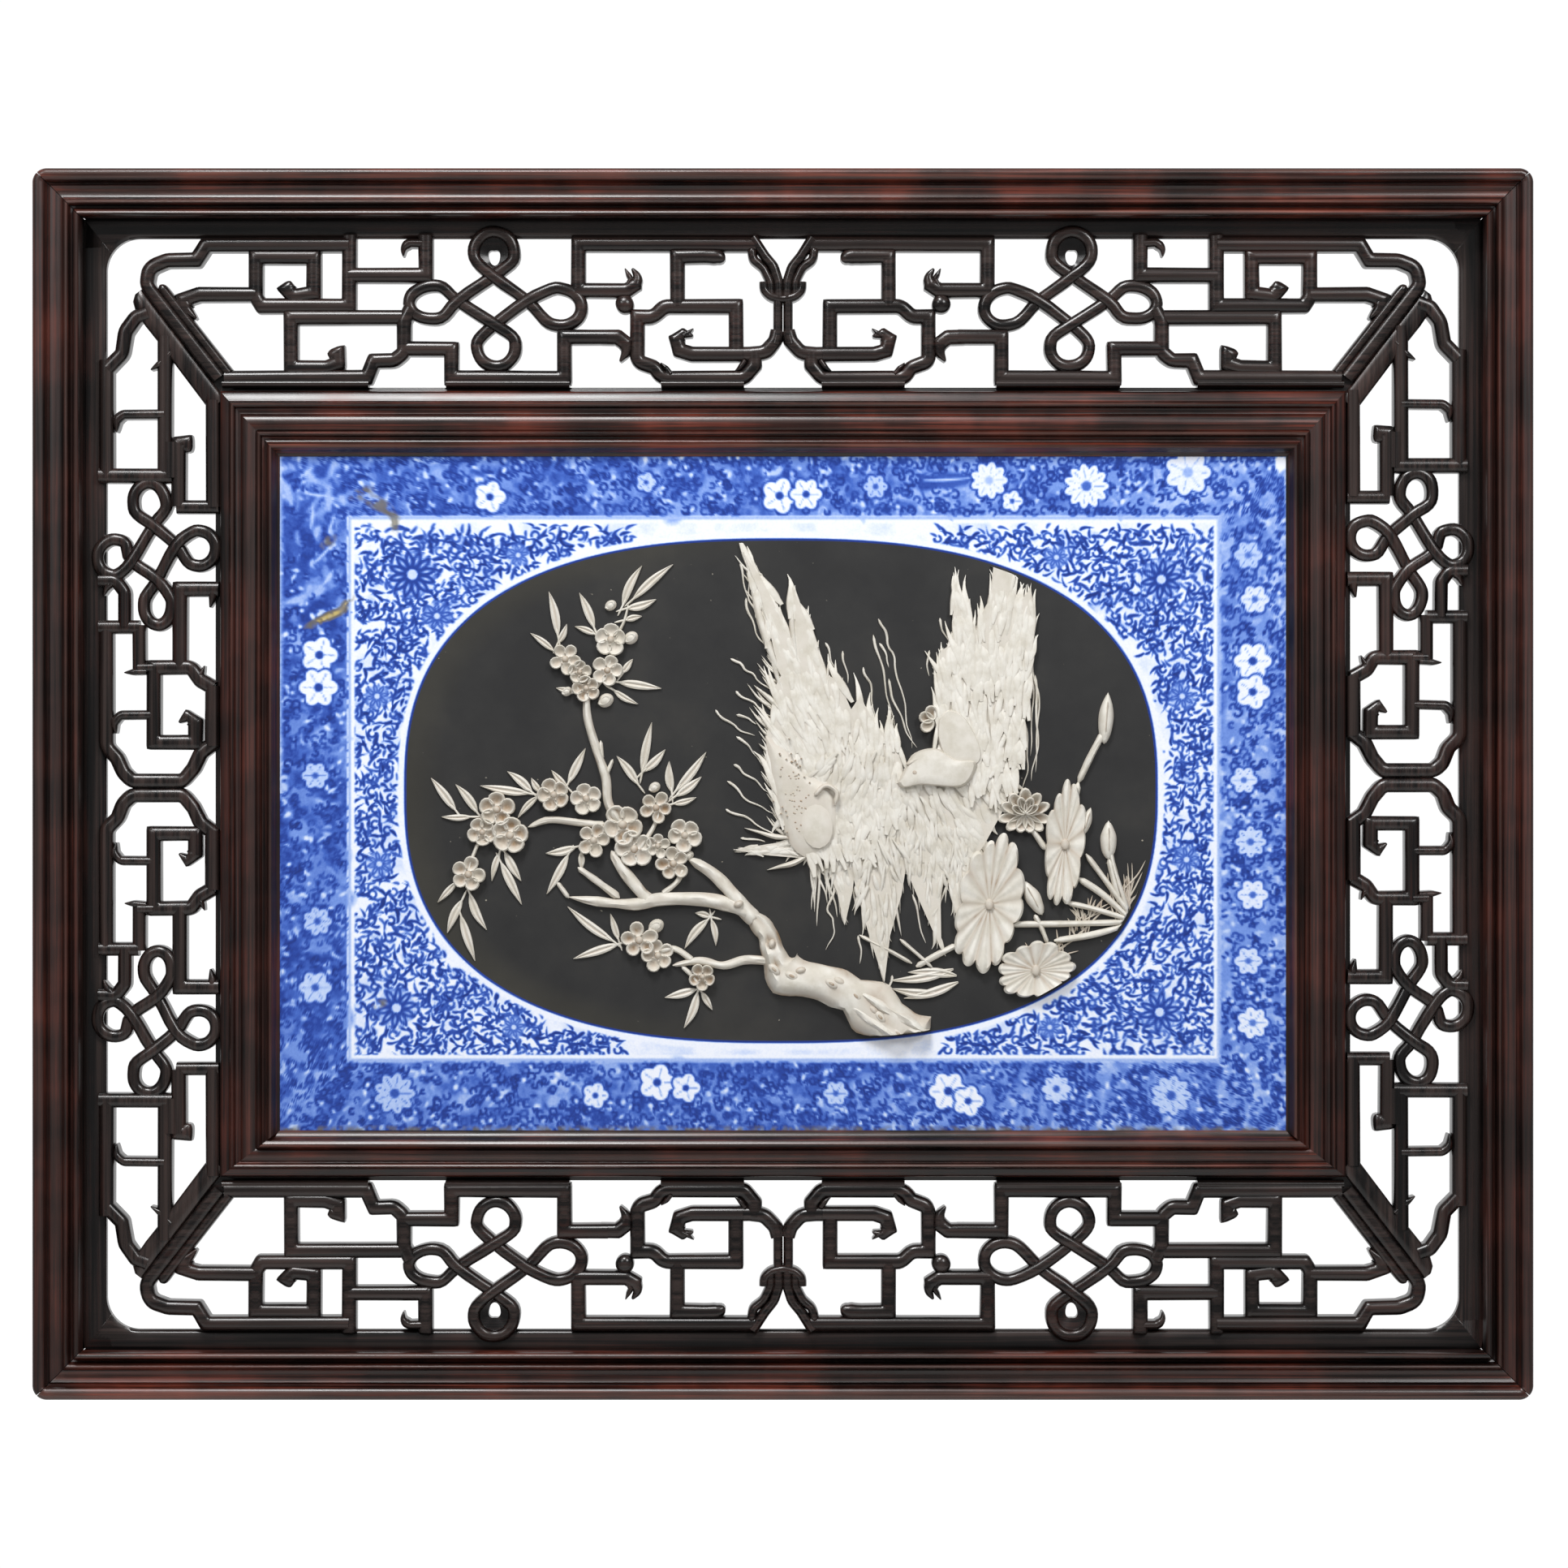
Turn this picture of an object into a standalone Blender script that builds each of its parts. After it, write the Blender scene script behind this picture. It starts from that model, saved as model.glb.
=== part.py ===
"""A porcelain wall plaque with raised prunus, bird and lotus, held in a carved openwork hardwood frame.

The frame hangs flat on a wall: +X runs along it, +Z up it, and its back is the plane Y = 0, so
everything shown stands in front of that plane, at negative Y. The origin is the middle of the back
of the top outer rail, where a picture hook would take the weight.
"""
import math

import bmesh
import bpy
from mathutils import Vector
from mathutils.geometry import delaunay_2d_cdt

MM = 0.001

# Driving dimensions
FRAME_WIDTH = 0.680
FRAME_HEIGHT = 0.558
FIT_GAP = 0.0003

OUTER_RAIL_WIDTH = 0.022
OUTER_RAIL_DEPTH = 0.026
OUTER_CORNER_RADIUS = 0.0065
CORNER_STEPS = 2
PANEL_GROOVE = 0.003

INNER_FRAME_WIDTH = 0.512
INNER_FRAME_HEIGHT = 0.357
INNER_RAIL_DEPTH = 0.022
INNER_RAIL_SIDE = 0.028
INNER_RAIL_TOP = 0.030
INNER_RAIL_BOTTOM = 0.0215
INNER_RAIL_BACK = 0.002
REBATE_LAP = 0.004
LIP_THICKNESS = 0.0045

PANEL_BACK = 0.005
PANEL_THICKNESS = 0.010
LEDGE_WIDTH = 0.011
LEDGE_CORNER_RADIUS = 0.015
LEDGE_CORNER_STEPS = 4
TOP_DIAGONAL = 0.0105
SIDE_DIAGONAL = 0.009
CUSP_SHARE = 0.56
CUSP_SLANT = 0.8
RIGHT_PATTERN_LIFT = 0.0028
LEFT_PATTERN_LIFT = -0.0018
KNOT_STEPS = 5
KNOT_SWEEP = 240.0
THINNEST_SHAPE = 0.00005
MERGE_MM = 0.001
FLAT_BEND = 1.0

PLAQUE_THICKNESS = 0.008
BOARD_THICKNESS = 0.006
RELIEF_ROOT = 0.0008
LEAF_ROOT = 0.0003

# Sizes that follow from them
HALF_WIDTH = FRAME_WIDTH / 2
HALF_HEIGHT = FRAME_HEIGHT / 2
CENTRE_Z = OUTER_RAIL_WIDTH / 2 - HALF_HEIGHT
SIGHT_X = HALF_WIDTH - OUTER_RAIL_WIDTH
SIGHT_Z = HALF_HEIGHT - OUTER_RAIL_WIDTH
INNER_X = INNER_FRAME_WIDTH / 2
INNER_Z = INNER_FRAME_HEIGHT / 2
WINDOW_X = INNER_X - INNER_RAIL_SIDE
WINDOW_TOP = INNER_Z - INNER_RAIL_TOP
WINDOW_BOTTOM = INNER_RAIL_BOTTOM - INNER_Z
PANEL_FRONT = PANEL_BACK + PANEL_THICKNESS
INNER_RAIL_FRONT = INNER_RAIL_BACK + INNER_RAIL_DEPTH
PLAQUE_FACE = INNER_RAIL_FRONT - LIP_THICKNESS - FIT_GAP
PLAQUE_BACK = PLAQUE_FACE - PLAQUE_THICKNESS
BOARD_FRONT = PLAQUE_BACK - FIT_GAP

# The drawing that the carver worked from, in millimetres at the drawn size. A long panel is drawn
# from its middle outwards and up from the inner rail, a side panel from the inner rail outwards and
# up from its middle. Both are stretched to the panel that they are carved in.
DRAWN_LONG_HALF = 318.0
DRAWN_LONG_INNER_HALF = 256.0
DRAWN_LONG_DEPTH = 78.5
DRAWN_SIDE_DEPTH = 62.0
DRAWN_SIDE_HALF = 257.0
DRAWN_SIDE_INNER_HALF = 178.5
DRAWN_LEDGE = 11.0
STROKE = 6.4
FINE_STROKE = 6.0
KNOT_STRAND = 5.2
SOLE = 4.4
RIBBON_KNOT = ((0, 44.5), 10.5, 7.6)

LONG_STROKES = [
    ("ribbon end", STROKE, [(3, 50), (6, 56), (12.5, 68)]),
    ("half stem", 4.3, [(2.15, 42), (2.15, 21)]),
    ("tongue", FINE_STROKE, [(1.5, 23), (6, 17.5), (12.5, 15.8), (40, 15.8), (46, 19), (47.2, 23.5),
                             (43.5, 26.5)]),
    ("key foot", STROKE, [(12.5, 15.5), (13, 9), (17.5, 4.6), (54.5, 4.6), (57.5, 9.5), (65.7, 12),
                          (65.7, 32.5), (58, 32.5), (53, 37.2), (21.2, 37.2), (21.2, 15.8)]),
    ("key post", STROKE, [(47.7, 37.2), (47.7, 59.8), (27.2, 59.8), (25, 56.5)]),
    ("upper hook", STROKE, [(12, 64.8), (92.4, 64.8), (92.4, 44), (68, 44), (65.8, 48.5), (68.5, 52.5)]),
    ("knob", 8.0, [(67.5, 36), (74, 39)]),
    ("stepped foot", STROKE, [(72, 12.5), (70.5, 18.5), (73, 23.3), (98.6, 23.3), (98.6, 4.6),
                              (149.6, 4.6), (149.6, 17.9), (171, 17.9)]),
    ("hanging key", STROKE, [(161.3, 69), (161.3, 51.3), (196, 51.3)]),
    ("hanging leaf", 5, [(161.3, 64.5), (170, 63)]),
    ("low step", STROKE, [(169.5, 36), (171, 30), (171, 15), (174.5, 12), (184.8, 12), (186.5, 4.6),
                          (252, 4.6)]),
    ("low key", STROKE, [(171, 32.2), (222, 32.2), (222, 9.5), (202, 9.5), (198.8, 12.5), (199.5, 16.5)]),
    ("square spiral", STROKE, [(195.8, 69), (195.8, 37.4), (235.5, 37.4), (238, 41.5), (238, 59.5),
                               (211.8, 59.5), (211.8, 42), (220.5, 42), (222, 47.5)]),
    ("shoulder", STROKE, [(195.8, 64.8), (262, 64.8), (266, 56.7), (280, 56.3), (285.5, 53), (288, 48),
                          (286.5, 42.5), (248, 2.5)]),
    ("key sole", SOLE, [(16.5, 2), (55, 2)]),
    ("stepped sole", SOLE, [(95.4, 2), (152.8, 2)]),
    ("low sole", SOLE, [(185, 2), (253, 2)]),
    ("shoulder tongue", FINE_STROKE, [(238, 42.5), (266, 42.5), (270, 38), (267, 31)]),
]
SIDE_STROKES = [
    ("cusp", STROKE, [(35, 215), (39.5, 210), (43, 203), (43.5, 195.5), (48.2, 189)]),
    ("outer edge", STROKE, [(49, 192), (49, 141)]),
    ("long post", FINE_STROKE, [(23.3, 200), (23.3, 139.5)]),
    ("leaf", 4, [(22.5, 194), (29, 189.5)]),
    ("upper bar", FINE_STROKE, [(23.3, 168.8), (46, 168.8), (48, 163)]),
    ("middle bar", STROKE, [(20, 141), (53, 141)]),
    ("short post", STROKE, [(12.2, 152), (12.8, 155.3), (17, 155.3), (17, 127)]),
    ("post web", FINE_STROKE, [(20, 156), (20, 141)]),
    ("lower bar", FINE_STROKE, [(18, 126.8), (-1, 126.8)]),
    ("inner edge", STROKE, [(1.5, 185), (1.5, 126.8)]),
    ("under hook", 6.2, [(1.5, 83), (1.5, 90), (16.5, 90), (16.5, 54.5)]),
    ("arch", 5.6, [(41.2, 72.7), (41.2, 90), (44, 94.5), (52, 94.5)]),
    ("arch foot", FINE_STROKE, [(34.4, 72.7), (53, 72.7)]),
    ("inner post", FINE_STROKE, [(34.4, 72.7), (34.4, 53.5), (40, 52.5)]),
    ("spiral", STROKE, [(2, 44.5), (7, 48.8), (11, 54.5), (28.3, 54.5), (28.3, 20.5), (10, 20.5),
                        (10, 29), (12.5, 32.5), (16, 31.5)]),
    ("bridge", 5.5, [(28.3, 54.5), (34.4, 54.5)]),
    ("inner edge below", STROKE, [(1.8, 45), (1.8, 19)]),
    ("low bar", FINE_STROKE, [(28.3, 33), (44.5, 33), (46.5, 26)]),
    ("waist", STROKE, [(49.8, 73), (49.8, 18.5), (44.8, 14), (42.5, 7.5), (39, 3.1), (14.5, 3.1),
                       (10.5, 8.5), (7, 15.5), (1, 20.5)]),
]
# A knot's four crossings, right, bottom, left and top, each with its loop's centre and half sizes.
LONG_KNOT = [
    ((146.8, 39.7), (158.5, 39.0), (9.6, 6.6)),
    ((130.3, 29.0), (129.4, 18.6), (7.8, 7.6)),
    ((115.6, 39.7), (100.8, 36.9), (8.5, 6.4)),
    ((131.0, 50.8), (130.4, 61.8), (8.2, 8.4)),
]
SIDE_KNOT = [
    ((38.3, 102.3), (46.4, 104.2), (5.6, 6.6)),
    ((26.7, 94.2), (26.5, 82.0), (5.9, 8.0)),
    ((18.2, 109.7), (8.0, 108.2), (6.6, 6.6)),
    ((28.7, 118.6), (30.2, 129.0), (6.0, 7.6)),
]

# Profiles of the mouldings: share of the rail's width from its outer edge, and height above its back
# as a share of its depth.
OUTER_PROFILE = [
    (0.00, 0.00), (0.00, 0.72), (0.05, 0.84), (0.15, 0.90), (0.26, 0.84), (0.31, 0.74), (0.35, 0.76),
    (0.63, 0.74), (0.67, 0.88), (0.74, 0.88), (0.77, 0.76), (0.83, 0.76), (0.86, 0.96), (0.91, 1.00),
    (0.96, 0.97), (1.00, 0.90),
]
INNER_PROFILE = [
    (0.00, 0.00), (0.00, 0.62), (0.17, 0.72), (0.20, 0.92), (0.27, 0.92), (0.30, 0.80), (0.38, 0.78),
    (0.42, 0.90), (0.52, 0.94), (0.62, 0.90), (0.66, 0.96), (0.71, 0.94), (0.74, 0.80), (0.82, 0.80),
    (0.86, 1.00), (0.95, 1.00), (1.00, 0.92),
]

# The relief, in millimetres from the middle of the plaque's window, as paths with a width at each
# point. It keeps its proportions when the plaque's size changes.
DRAWN_WINDOW_HALF = 228.0
SHOULDERED_DOME = 9.0
PETALS = 5
FLOWER_HEIGHT = 4.6
LEAF_WIDTH = 5.0
LEAF_HEIGHT = 2.2
FEATHER_HEIGHT = 4.5
LOTUS_STEM_WIDTH = 3.6
LOTUS_STEM_HEIGHT = 2.6
LEAF_BELLY = 0.45
LIMB_SECTION = ((-1.0, None), (-0.85, 0.6), (0.0, 1.0), (0.85, 0.6), (1.0, None))
LIMB_LEAST_RISE = 0.45
DOME_SHOULDER = ((0.92, 0.55), (0.55, 1.0))
SMALL_DOME_TOP = ((0.7, 1.0),)
PLATE_BEVEL = 1.2
PLATE_SHOULDER = 0.7
SHARPEST_TIP = 0.5
BRANCHES = [
    ("trunk", [(55.9, -112, 21), (31.3, -91.5, 17), (1, -81, 15), (-6.5, -64, 12), (-17, -52.5, 10)], 6.5),
    ("thick branch", [(-17, -52.5, 9), (-38, -48, 8), (-55.5, -48, 7.5), (-67.5, -50.5, 6.5),
                      (-97, -48, 4)], 5.5),
    ("upper branch", [(-17, -52, 6), (-25, -39, 5), (-35, -34, 4.5), (-44, -29, 3.5)], 4.0),
    ("up branch", [(-64, -46, 5), (-75.5, -31.5, 4), (-77, -24.5, 3)], 4.0),
    ("lower twig", [(-6, -76, 6), (-27, -78, 4.5), (-40, -76, 4), (-52, -78, 3)], 3.6),
    ("stem", [(-89, 46, 4), (-88.5, 34, 4), (-83, 17, 4), (-79, 3, 5), (-73, -16, 4)], 4.0),
    ("left branch", [(-80, -18, 4), (-106, -15.5, 3.5), (-116, -19, 2.5)], 3.2),
]
FLOWERS = [
    (-98.6, 57.5, 7), (-78, 66.5, 7), (-79.5, 52.5, 6.6), (-89, 44.3, 6), (-129.5, -10.5, 7.7),
    (-123.6, -22.3, 8), (-136, -21, 6.3), (-103.8, -4, 7), (-89, -6, 7), (-72.5, -17.6, 8.8),
    (-85.7, -24.6, 7.4), (-67.3, -28.6, 8), (-57.4, -10, 7), (-44.5, -22.4, 7.4), (-49.7, -35, 7.4),
    (-142.4, -40, 7.7), (-65, -69.5, 8.1), (-56.7, -76.5, 7), (-36.4, -86, 6), (-56.7, -27.2, 5.5),
]
LEAVES = [
    (-98, 62, -110, 82), (-115, 69, -130, 84), (-88, 68, -95, 86), (-71, 77, -62, 96),
    (-66, 78, -48, 96), (-70, 64, -55, 67), (-72, 40, -56, 34), (-95, 41, -104, 43),
    (-148, -12, -160, 4), (-140, -14, -152, -6), (-115, -5, -137, 0), (-115, -4, -124, 7),
    (-111, -3, -99, 10), (-64, -1, -62, 20), (-62, 4, -53, 14), (-52, -5, -35, 12), (-48, -8, -34, 1),
    (-95, -55, -109, -58), (-92, -58, -107, -76), (-145, -45, -154, -56), (-131, -55, -150, -66),
    (-138, -49, -150, -61), (-78, -94, -99, -80), (-76, -94, -96, -102), (-34, -84, -41, -82),
    (-34, -86, -45, -98), (-40, -116, -55, -120), (-38, -117, -46, -133),
]
BIRD_PLATES = [
    ("left wing", 5.5, [(-18, 109.5), (-11, 90), (-5, 78.5), (-1, 53.5), (-12.5, 49), (-3, 38),
                        (-9, 28), (-5, 9.5), (0, -15.5), (12.5, -27.5), (35, -24), (54, -3.5), (54, 17),
                        (48.5, 35), (45, 26), (34.5, 46), (30, 39), (25, 53.5), (19, 55.5), (13.5, 72),
                        (3.5, 96), (7, 72)]),
    ("right wing", 6.5, [(78, 95), (85.5, 83), (87.5, 74), (90.5, 82), (94, 88.5), (95.5, 102.5),
                         (104, 102.5), (106, 85), (112, 93.5), (114, 79.5), (112.5, 61), (110, 39),
                         (107, 16.5), (104.5, 4), (86, 5.5), (82.5, 15), (71.5, 18.5), (69.5, 46),
                         (71.5, 64.5), (78, 66.5)]),
    ("body", 7.0, [(0.5, -15), (12.5, -28), (31, -31), (49, -28.5), (67.5, -31), (84, -32), (91, -23.5),
                   (99, -9), (105, 5.5), (86, 16.5), (54, 4.5), (31, 16.5), (8, 12)]),
    ("head", 8.2, [(51.5, 4.5), (55, 11), (58, 17), (64, 20), (71, 20), (79, 15), (87.5, 15.5),
                   (87, 8.5), (81.5, 2.5), (71, 4), (62, 5), (54, 3)]),
]
BIRD_DOMES = [
    ("thigh", 19, -14, 14, 16, 8.2),
    ("crest", 65.5, 34, 6, 8, 6.5),
]
BIRD_FEATHERS = [
    (38, -20, 46.5, -82.5, 15), (55, -24, 65, -68, 8), (65, -24, 71.5, -68, 8), (74, -25, 79, -57, 12),
    (27, -26, 29, -58, 9), (14, -23, -20.5, -25.5, 8), (14, -27, -6.5, -34, 7),
]
LOTUS_PADS = [
    ("right pad", 128, -26, 9.5, 29, 5.0),
    ("left pad", 94, -53, 15, 31, 5.5),
    ("low pad", 114, -84, 18, 12.5, 5.0),
    ("bloom", 109, -10, 12, 11, 7.0),
    ("open bud", 146.5, 30.5, 4.5, 11, 4.5),
    ("low bud", 147.6, -24.6, 4.5, 8.5, 4.5),
    ("tight bud", 113.5, -53.5, 4.5, 7, 4.5),
    ("left leaf", 63, -88, 15, 4.2, 4.0),
    ("foot leaf", 66, -95, 14, 3.8, 4.0),
]
LOTUS_STEMS = [
    ((157, -57), (134, -42)),
    ((157, -58), (101, -62)),
    ((157, -60), (123, -70)),
    ((145.5, 24), (134, 2)),
    ((147.6, -32), (153, -52)),
    ((157, -56), (160, -40)),
]


def clear_scene():
    """Removes whatever objects the opened file holds."""
    for old in list(bpy.data.objects):
        bpy.data.objects.remove(old, do_unlink=True)


def make_material(name, colour, roughness, coat=0.0):
    """A Principled material with a plain colour, as the photograph shows it."""
    material = bpy.data.materials.new(name)
    material.use_nodes = True
    shader = material.node_tree.nodes["Principled BSDF"]
    shader.inputs["Base Color"].default_value = (*colour, 1.0)
    shader.inputs["Roughness"].default_value = roughness
    shader.inputs["Metallic"].default_value = 0.0
    shader.inputs["Coat Weight"].default_value = coat
    return material


def make_object(name, form, material, hidden=False):
    """Puts a bmesh in the scene as a named object, with its faces turned outwards."""
    bmesh.ops.recalc_face_normals(form, faces=form.faces)
    if form.calc_volume(signed=True) < 0:
        bmesh.ops.reverse_faces(form, faces=form.faces)
    mesh = bpy.data.meshes.new(name)
    form.to_mesh(mesh)
    form.free()
    mesh.materials.append(material)
    thing = bpy.data.objects.new(name, mesh)
    bpy.context.scene.collection.objects.link(thing)
    if hidden:
        thing.hide_render = True
        thing.display_type = "WIRE"
    return thing


def on_wall(x, z, out):
    """A point of the frame: x and z from the frame's middle, out from the wall."""
    return Vector((x, -out, CENTRE_Z + z))


def skin(form, rings):
    """Joins rings of equal length into a tube and closes both ends."""
    rows = [[form.verts.new(point) for point in ring] for ring in rings]
    count = len(rows[0])
    for here, there in zip(rows, rows[1:]):
        for i in range(count):
            form.faces.new((here[i], here[(i + 1) % count], there[(i + 1) % count], there[i]))
    form.faces.new(rows[0])
    form.faces.new(reversed(rows[-1]))


def outer_rail_profile():
    """The outer moulding, with the groove that takes the fret panels' edges."""
    groove_low = (PANEL_BACK - FIT_GAP) / OUTER_RAIL_DEPTH
    groove_high = (PANEL_FRONT + FIT_GAP) / OUTER_RAIL_DEPTH
    groove_floor = 1 - PANEL_GROOVE / OUTER_RAIL_WIDTH
    groove = [(1.0, groove_high), (groove_floor, groove_high), (groove_floor, groove_low), (1.0, groove_low)]
    return OUTER_PROFILE + groove + [(1.0, 0.0)]


def inner_rail_profile(width):
    """The inner moulding, with the rebate behind its lip that holds the plaque."""
    shoulder = (PLAQUE_FACE + FIT_GAP - INNER_RAIL_BACK) / INNER_RAIL_DEPTH
    rebate = 1 - REBATE_LAP / width
    return INNER_PROFILE + [(1.0, shoulder), (rebate, shoulder), (rebate, 0.0)]


def turned(side, along, across):
    """Turns a rail's own directions, along it and outwards across it, to its side of the frame."""
    return {"top": (along, across), "bottom": (-along, -across),
            "right": (across, -along), "left": (-across, along)}[side]


def outer_rail(side, material):
    """One mitred rail: every line of its profile runs straight, then round the frame's soft corner
    to the mitre, where a line within the corner's radius keeps its arc and a deeper one its corner."""
    long_side = side in ("top", "bottom")
    half_run = HALF_WIDTH if long_side else HALF_HEIGHT
    half_reach = HALF_HEIGHT if long_side else HALF_WIDTH
    mitre_gap = FIT_GAP / math.sqrt(2)
    radius = OUTER_CORNER_RADIUS
    rings = []
    stations = [(-1, step) for step in range(CORNER_STEPS + 1)]
    stations += [(1, step) for step in range(CORNER_STEPS, -1, -1)]
    for sign, step in stations:
        angle = math.radians(45 + 45 * step / CORNER_STEPS)
        ring = []
        for share, height in outer_rail_profile():
            inset = share * OUTER_RAIL_WIDTH
            spare = radius - inset
            if spare > 0:
                along, across = spare * math.cos(angle), spare * math.sin(angle)
            else:
                along, across = spare - radius * (1 - 1 / math.tan(angle)), spare
            along = half_run - radius + along - mitre_gap * (step == 0)
            across = half_reach - radius + across
            x, z = turned(side, sign * along, across)
            ring.append(on_wall(x, z, height * OUTER_RAIL_DEPTH))
        rings.append(ring)
    form = bmesh.new()
    skin(form, rings)
    return make_object("outer_rail_" + side, form, material)


def inner_rail(side, material):
    """One mitred inner rail between the inner frame's outline and the window's corners."""
    window = {(1, 1): (WINDOW_X, WINDOW_TOP), (-1, 1): (-WINDOW_X, WINDOW_TOP),
              (1, -1): (WINDOW_X, WINDOW_BOTTOM), (-1, -1): (-WINDOW_X, WINDOW_BOTTOM)}
    width = {"top": INNER_RAIL_TOP, "bottom": INNER_RAIL_BOTTOM}.get(side, INNER_RAIL_SIDE)
    ends = {"top": ((-1, 1), (1, 1)), "bottom": ((-1, -1), (1, -1)),
            "right": ((1, -1), (1, 1)), "left": ((-1, -1), (-1, 1))}[side]
    long_side = side in ("top", "bottom")
    rings = []
    for corner, pull in zip(ends, (1, -1)):
        ring = []
        for share, height in inner_rail_profile(width):
            x = corner[0] * INNER_X + share * (window[corner][0] - corner[0] * INNER_X)
            z = corner[1] * INNER_Z + share * (window[corner][1] - corner[1] * INNER_Z)
            if long_side:
                x += pull * FIT_GAP
            else:
                z += pull * FIT_GAP
            ring.append(on_wall(x, z, INNER_RAIL_BACK + height * INNER_RAIL_DEPTH))
        rings.append(ring)
    form = bmesh.new()
    skin(form, rings)
    return make_object("inner_rail_" + side, form, material)


def bars(path, width):
    """Straight bars along a path, each run on far enough to fill its corners."""
    points = [Vector(point) for point in path]
    runs = [(b - a).normalized() for a, b in zip(points, points[1:])]
    half = width / 2
    bends = [min(a.angle(b), math.radians(90)) for a, b in zip(runs, runs[1:])]
    turns = [0.0] + [half * math.tan(bend / 2) for bend in bends] + [0.0]
    shapes = []
    for i, run in enumerate(runs):
        side = Vector((-run.y, run.x)) * half
        start = points[i] - run * turns[i]
        end = points[i + 1] + run * turns[i + 1]
        shapes.append([start + side, start - side, end - side, end + side])
    return shapes


def knot_path(lobes):
    """The closed cord of a four-looped knot: from each crossing it swells round a loop and back."""
    corners = []
    for i, (crossing, loop, half) in enumerate(lobes):
        crossing = Vector(crossing)
        loop = Vector(loop)
        axis = (loop - crossing).normalized()
        away = Vector((axis.y, -axis.x))
        reach = abs(axis.x) * half[0] + abs(axis.y) * half[1]
        spread = abs(axis.y) * half[0] + abs(axis.x) * half[1]
        corners.append(crossing)
        for step in range(KNOT_STEPS):
            angle = math.radians(KNOT_SWEEP * (step / (KNOT_STEPS - 1) - 0.5))
            corners.append(loop + axis * (reach * math.cos(angle)) - away * (spread * math.sin(angle)))
        corners.append(crossing)
    return corners


def knot_bars(lobes, width):
    """The knot's cord as short bars, closed on itself from one crossing to the next."""
    path = knot_path(lobes)
    return bars(path + [path[0]], width)


def disc(centre, half_x, half_z, sides=10):
    """A many-sided disc."""
    steps = [2 * math.pi * i / sides for i in range(sides)]
    return [Vector((centre[0] + half_x * math.cos(a), centre[1] + half_z * math.sin(a))) for a in steps]


def clip(shape, inside):
    """Cuts a convex shape to a convex outline, both run anticlockwise."""
    for a, b in zip(inside, inside[1:] + inside[:1]):
        edge = b - a
        kept = []
        for p, q in zip(shape, shape[1:] + shape[:1]):
            p_side = edge.cross(p - a)
            q_side = edge.cross(q - a)
            if p_side >= 0:
                kept.append(p)
            if (p_side > 0) != (q_side > 0) and p_side != q_side:
                kept.append(p.lerp(q, p_side / (p_side - q_side)))
        shape = kept
        if len(shape) < 3:
            return []
    return shape


def shape_area(shape):
    """Area enclosed by a flat outline, positive when it runs anticlockwise."""
    return sum(p.cross(q) for p, q in zip(shape, shape[1:] + shape[:1])) / 2


def anticlockwise(shape):
    """The same outline, run anticlockwise."""
    return shape if shape_area(shape) > 0 else list(reversed(shape))


def ledge_shapes(sector):
    """The plain border that the fret is carved out of, with its opening's rounded corners."""
    edge_x = SIGHT_X - LEDGE_WIDTH
    edge_z = SIGHT_Z - LEDGE_WIDTH
    shapes = []
    for sign in (-1, 1):
        for low, high in ((Vector((-SIGHT_X, edge_z)), Vector((SIGHT_X, SIGHT_Z))),
                          (Vector((edge_x, -SIGHT_Z)), Vector((SIGHT_X, SIGHT_Z)))):
            box = [low, Vector((high.x, low.y)), high, Vector((low.x, high.y))]
            shapes.append([point * sign for point in box])
    radius = LEDGE_CORNER_RADIUS
    for sx in (-1, 1):
        for sz in (-1, 1):
            corner = Vector((sx * edge_x, sz * edge_z))
            arc = []
            for i in range(LEDGE_CORNER_STEPS + 1):
                angle = math.pi / 2 * i / LEDGE_CORNER_STEPS
                pull = Vector((sx * (math.cos(angle) - 1), sz * (math.sin(angle) - 1)))
                arc.append(corner + pull * radius)
            shapes += [[corner, a, b] for a, b in zip(arc, arc[1:])]
    return [clip(anticlockwise(shape), sector) for shape in shapes]


def panel_sector(side):
    """The four-sided outline that a panel may fill, between the rails and the two corner seams."""
    seam = Vector((SIGHT_X - INNER_X, SIGHT_Z - INNER_Z)).normalized()
    ease = FIT_GAP / 2
    if side in ("top", "bottom"):
        low, high = INNER_Z + FIT_GAP, SIGHT_Z - FIT_GAP
        slope = seam.x / seam.y
        pull = ease / seam.y
        ends = [INNER_X + (level - INNER_Z) * slope - pull for level in (low, high)]
        flip = 1 if side == "top" else -1
        outline = [Vector((run, flip * level))
                   for run, level in ((-ends[0], low), (ends[0], low), (ends[1], high), (-ends[1], high))]
    else:
        low, high = INNER_X + FIT_GAP, SIGHT_X - FIT_GAP
        slope = seam.y / seam.x
        pull = ease / seam.x
        ends = [INNER_Z + (level - INNER_X) * slope - pull for level in (low, high)]
        flip = 1 if side == "right" else -1
        outline = [Vector((flip * level, run))
                   for level, run in ((low, -ends[0]), (high, -ends[1]), (high, ends[1]), (low, ends[0]))]
    return anticlockwise(outline)


def panel_point(depth, drawn_depth, inner_half, outer_half, drawn_inner_half, drawn_half):
    """Maps a drawing to a panel: its border's edge stays on the ledge and its ends stay on the seams.

    It returns a point's run along the panel and its height above the inner rail."""
    scale = (depth - LEDGE_WIDTH) / (drawn_depth - DRAWN_LEDGE)

    def place(run, height):
        level = height * scale
        seam = inner_half + level / depth * (outer_half - inner_half)
        drawn_seam = drawn_inner_half + height / drawn_depth * (drawn_half - drawn_inner_half)
        return run * seam / drawn_seam, level

    return place


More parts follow.
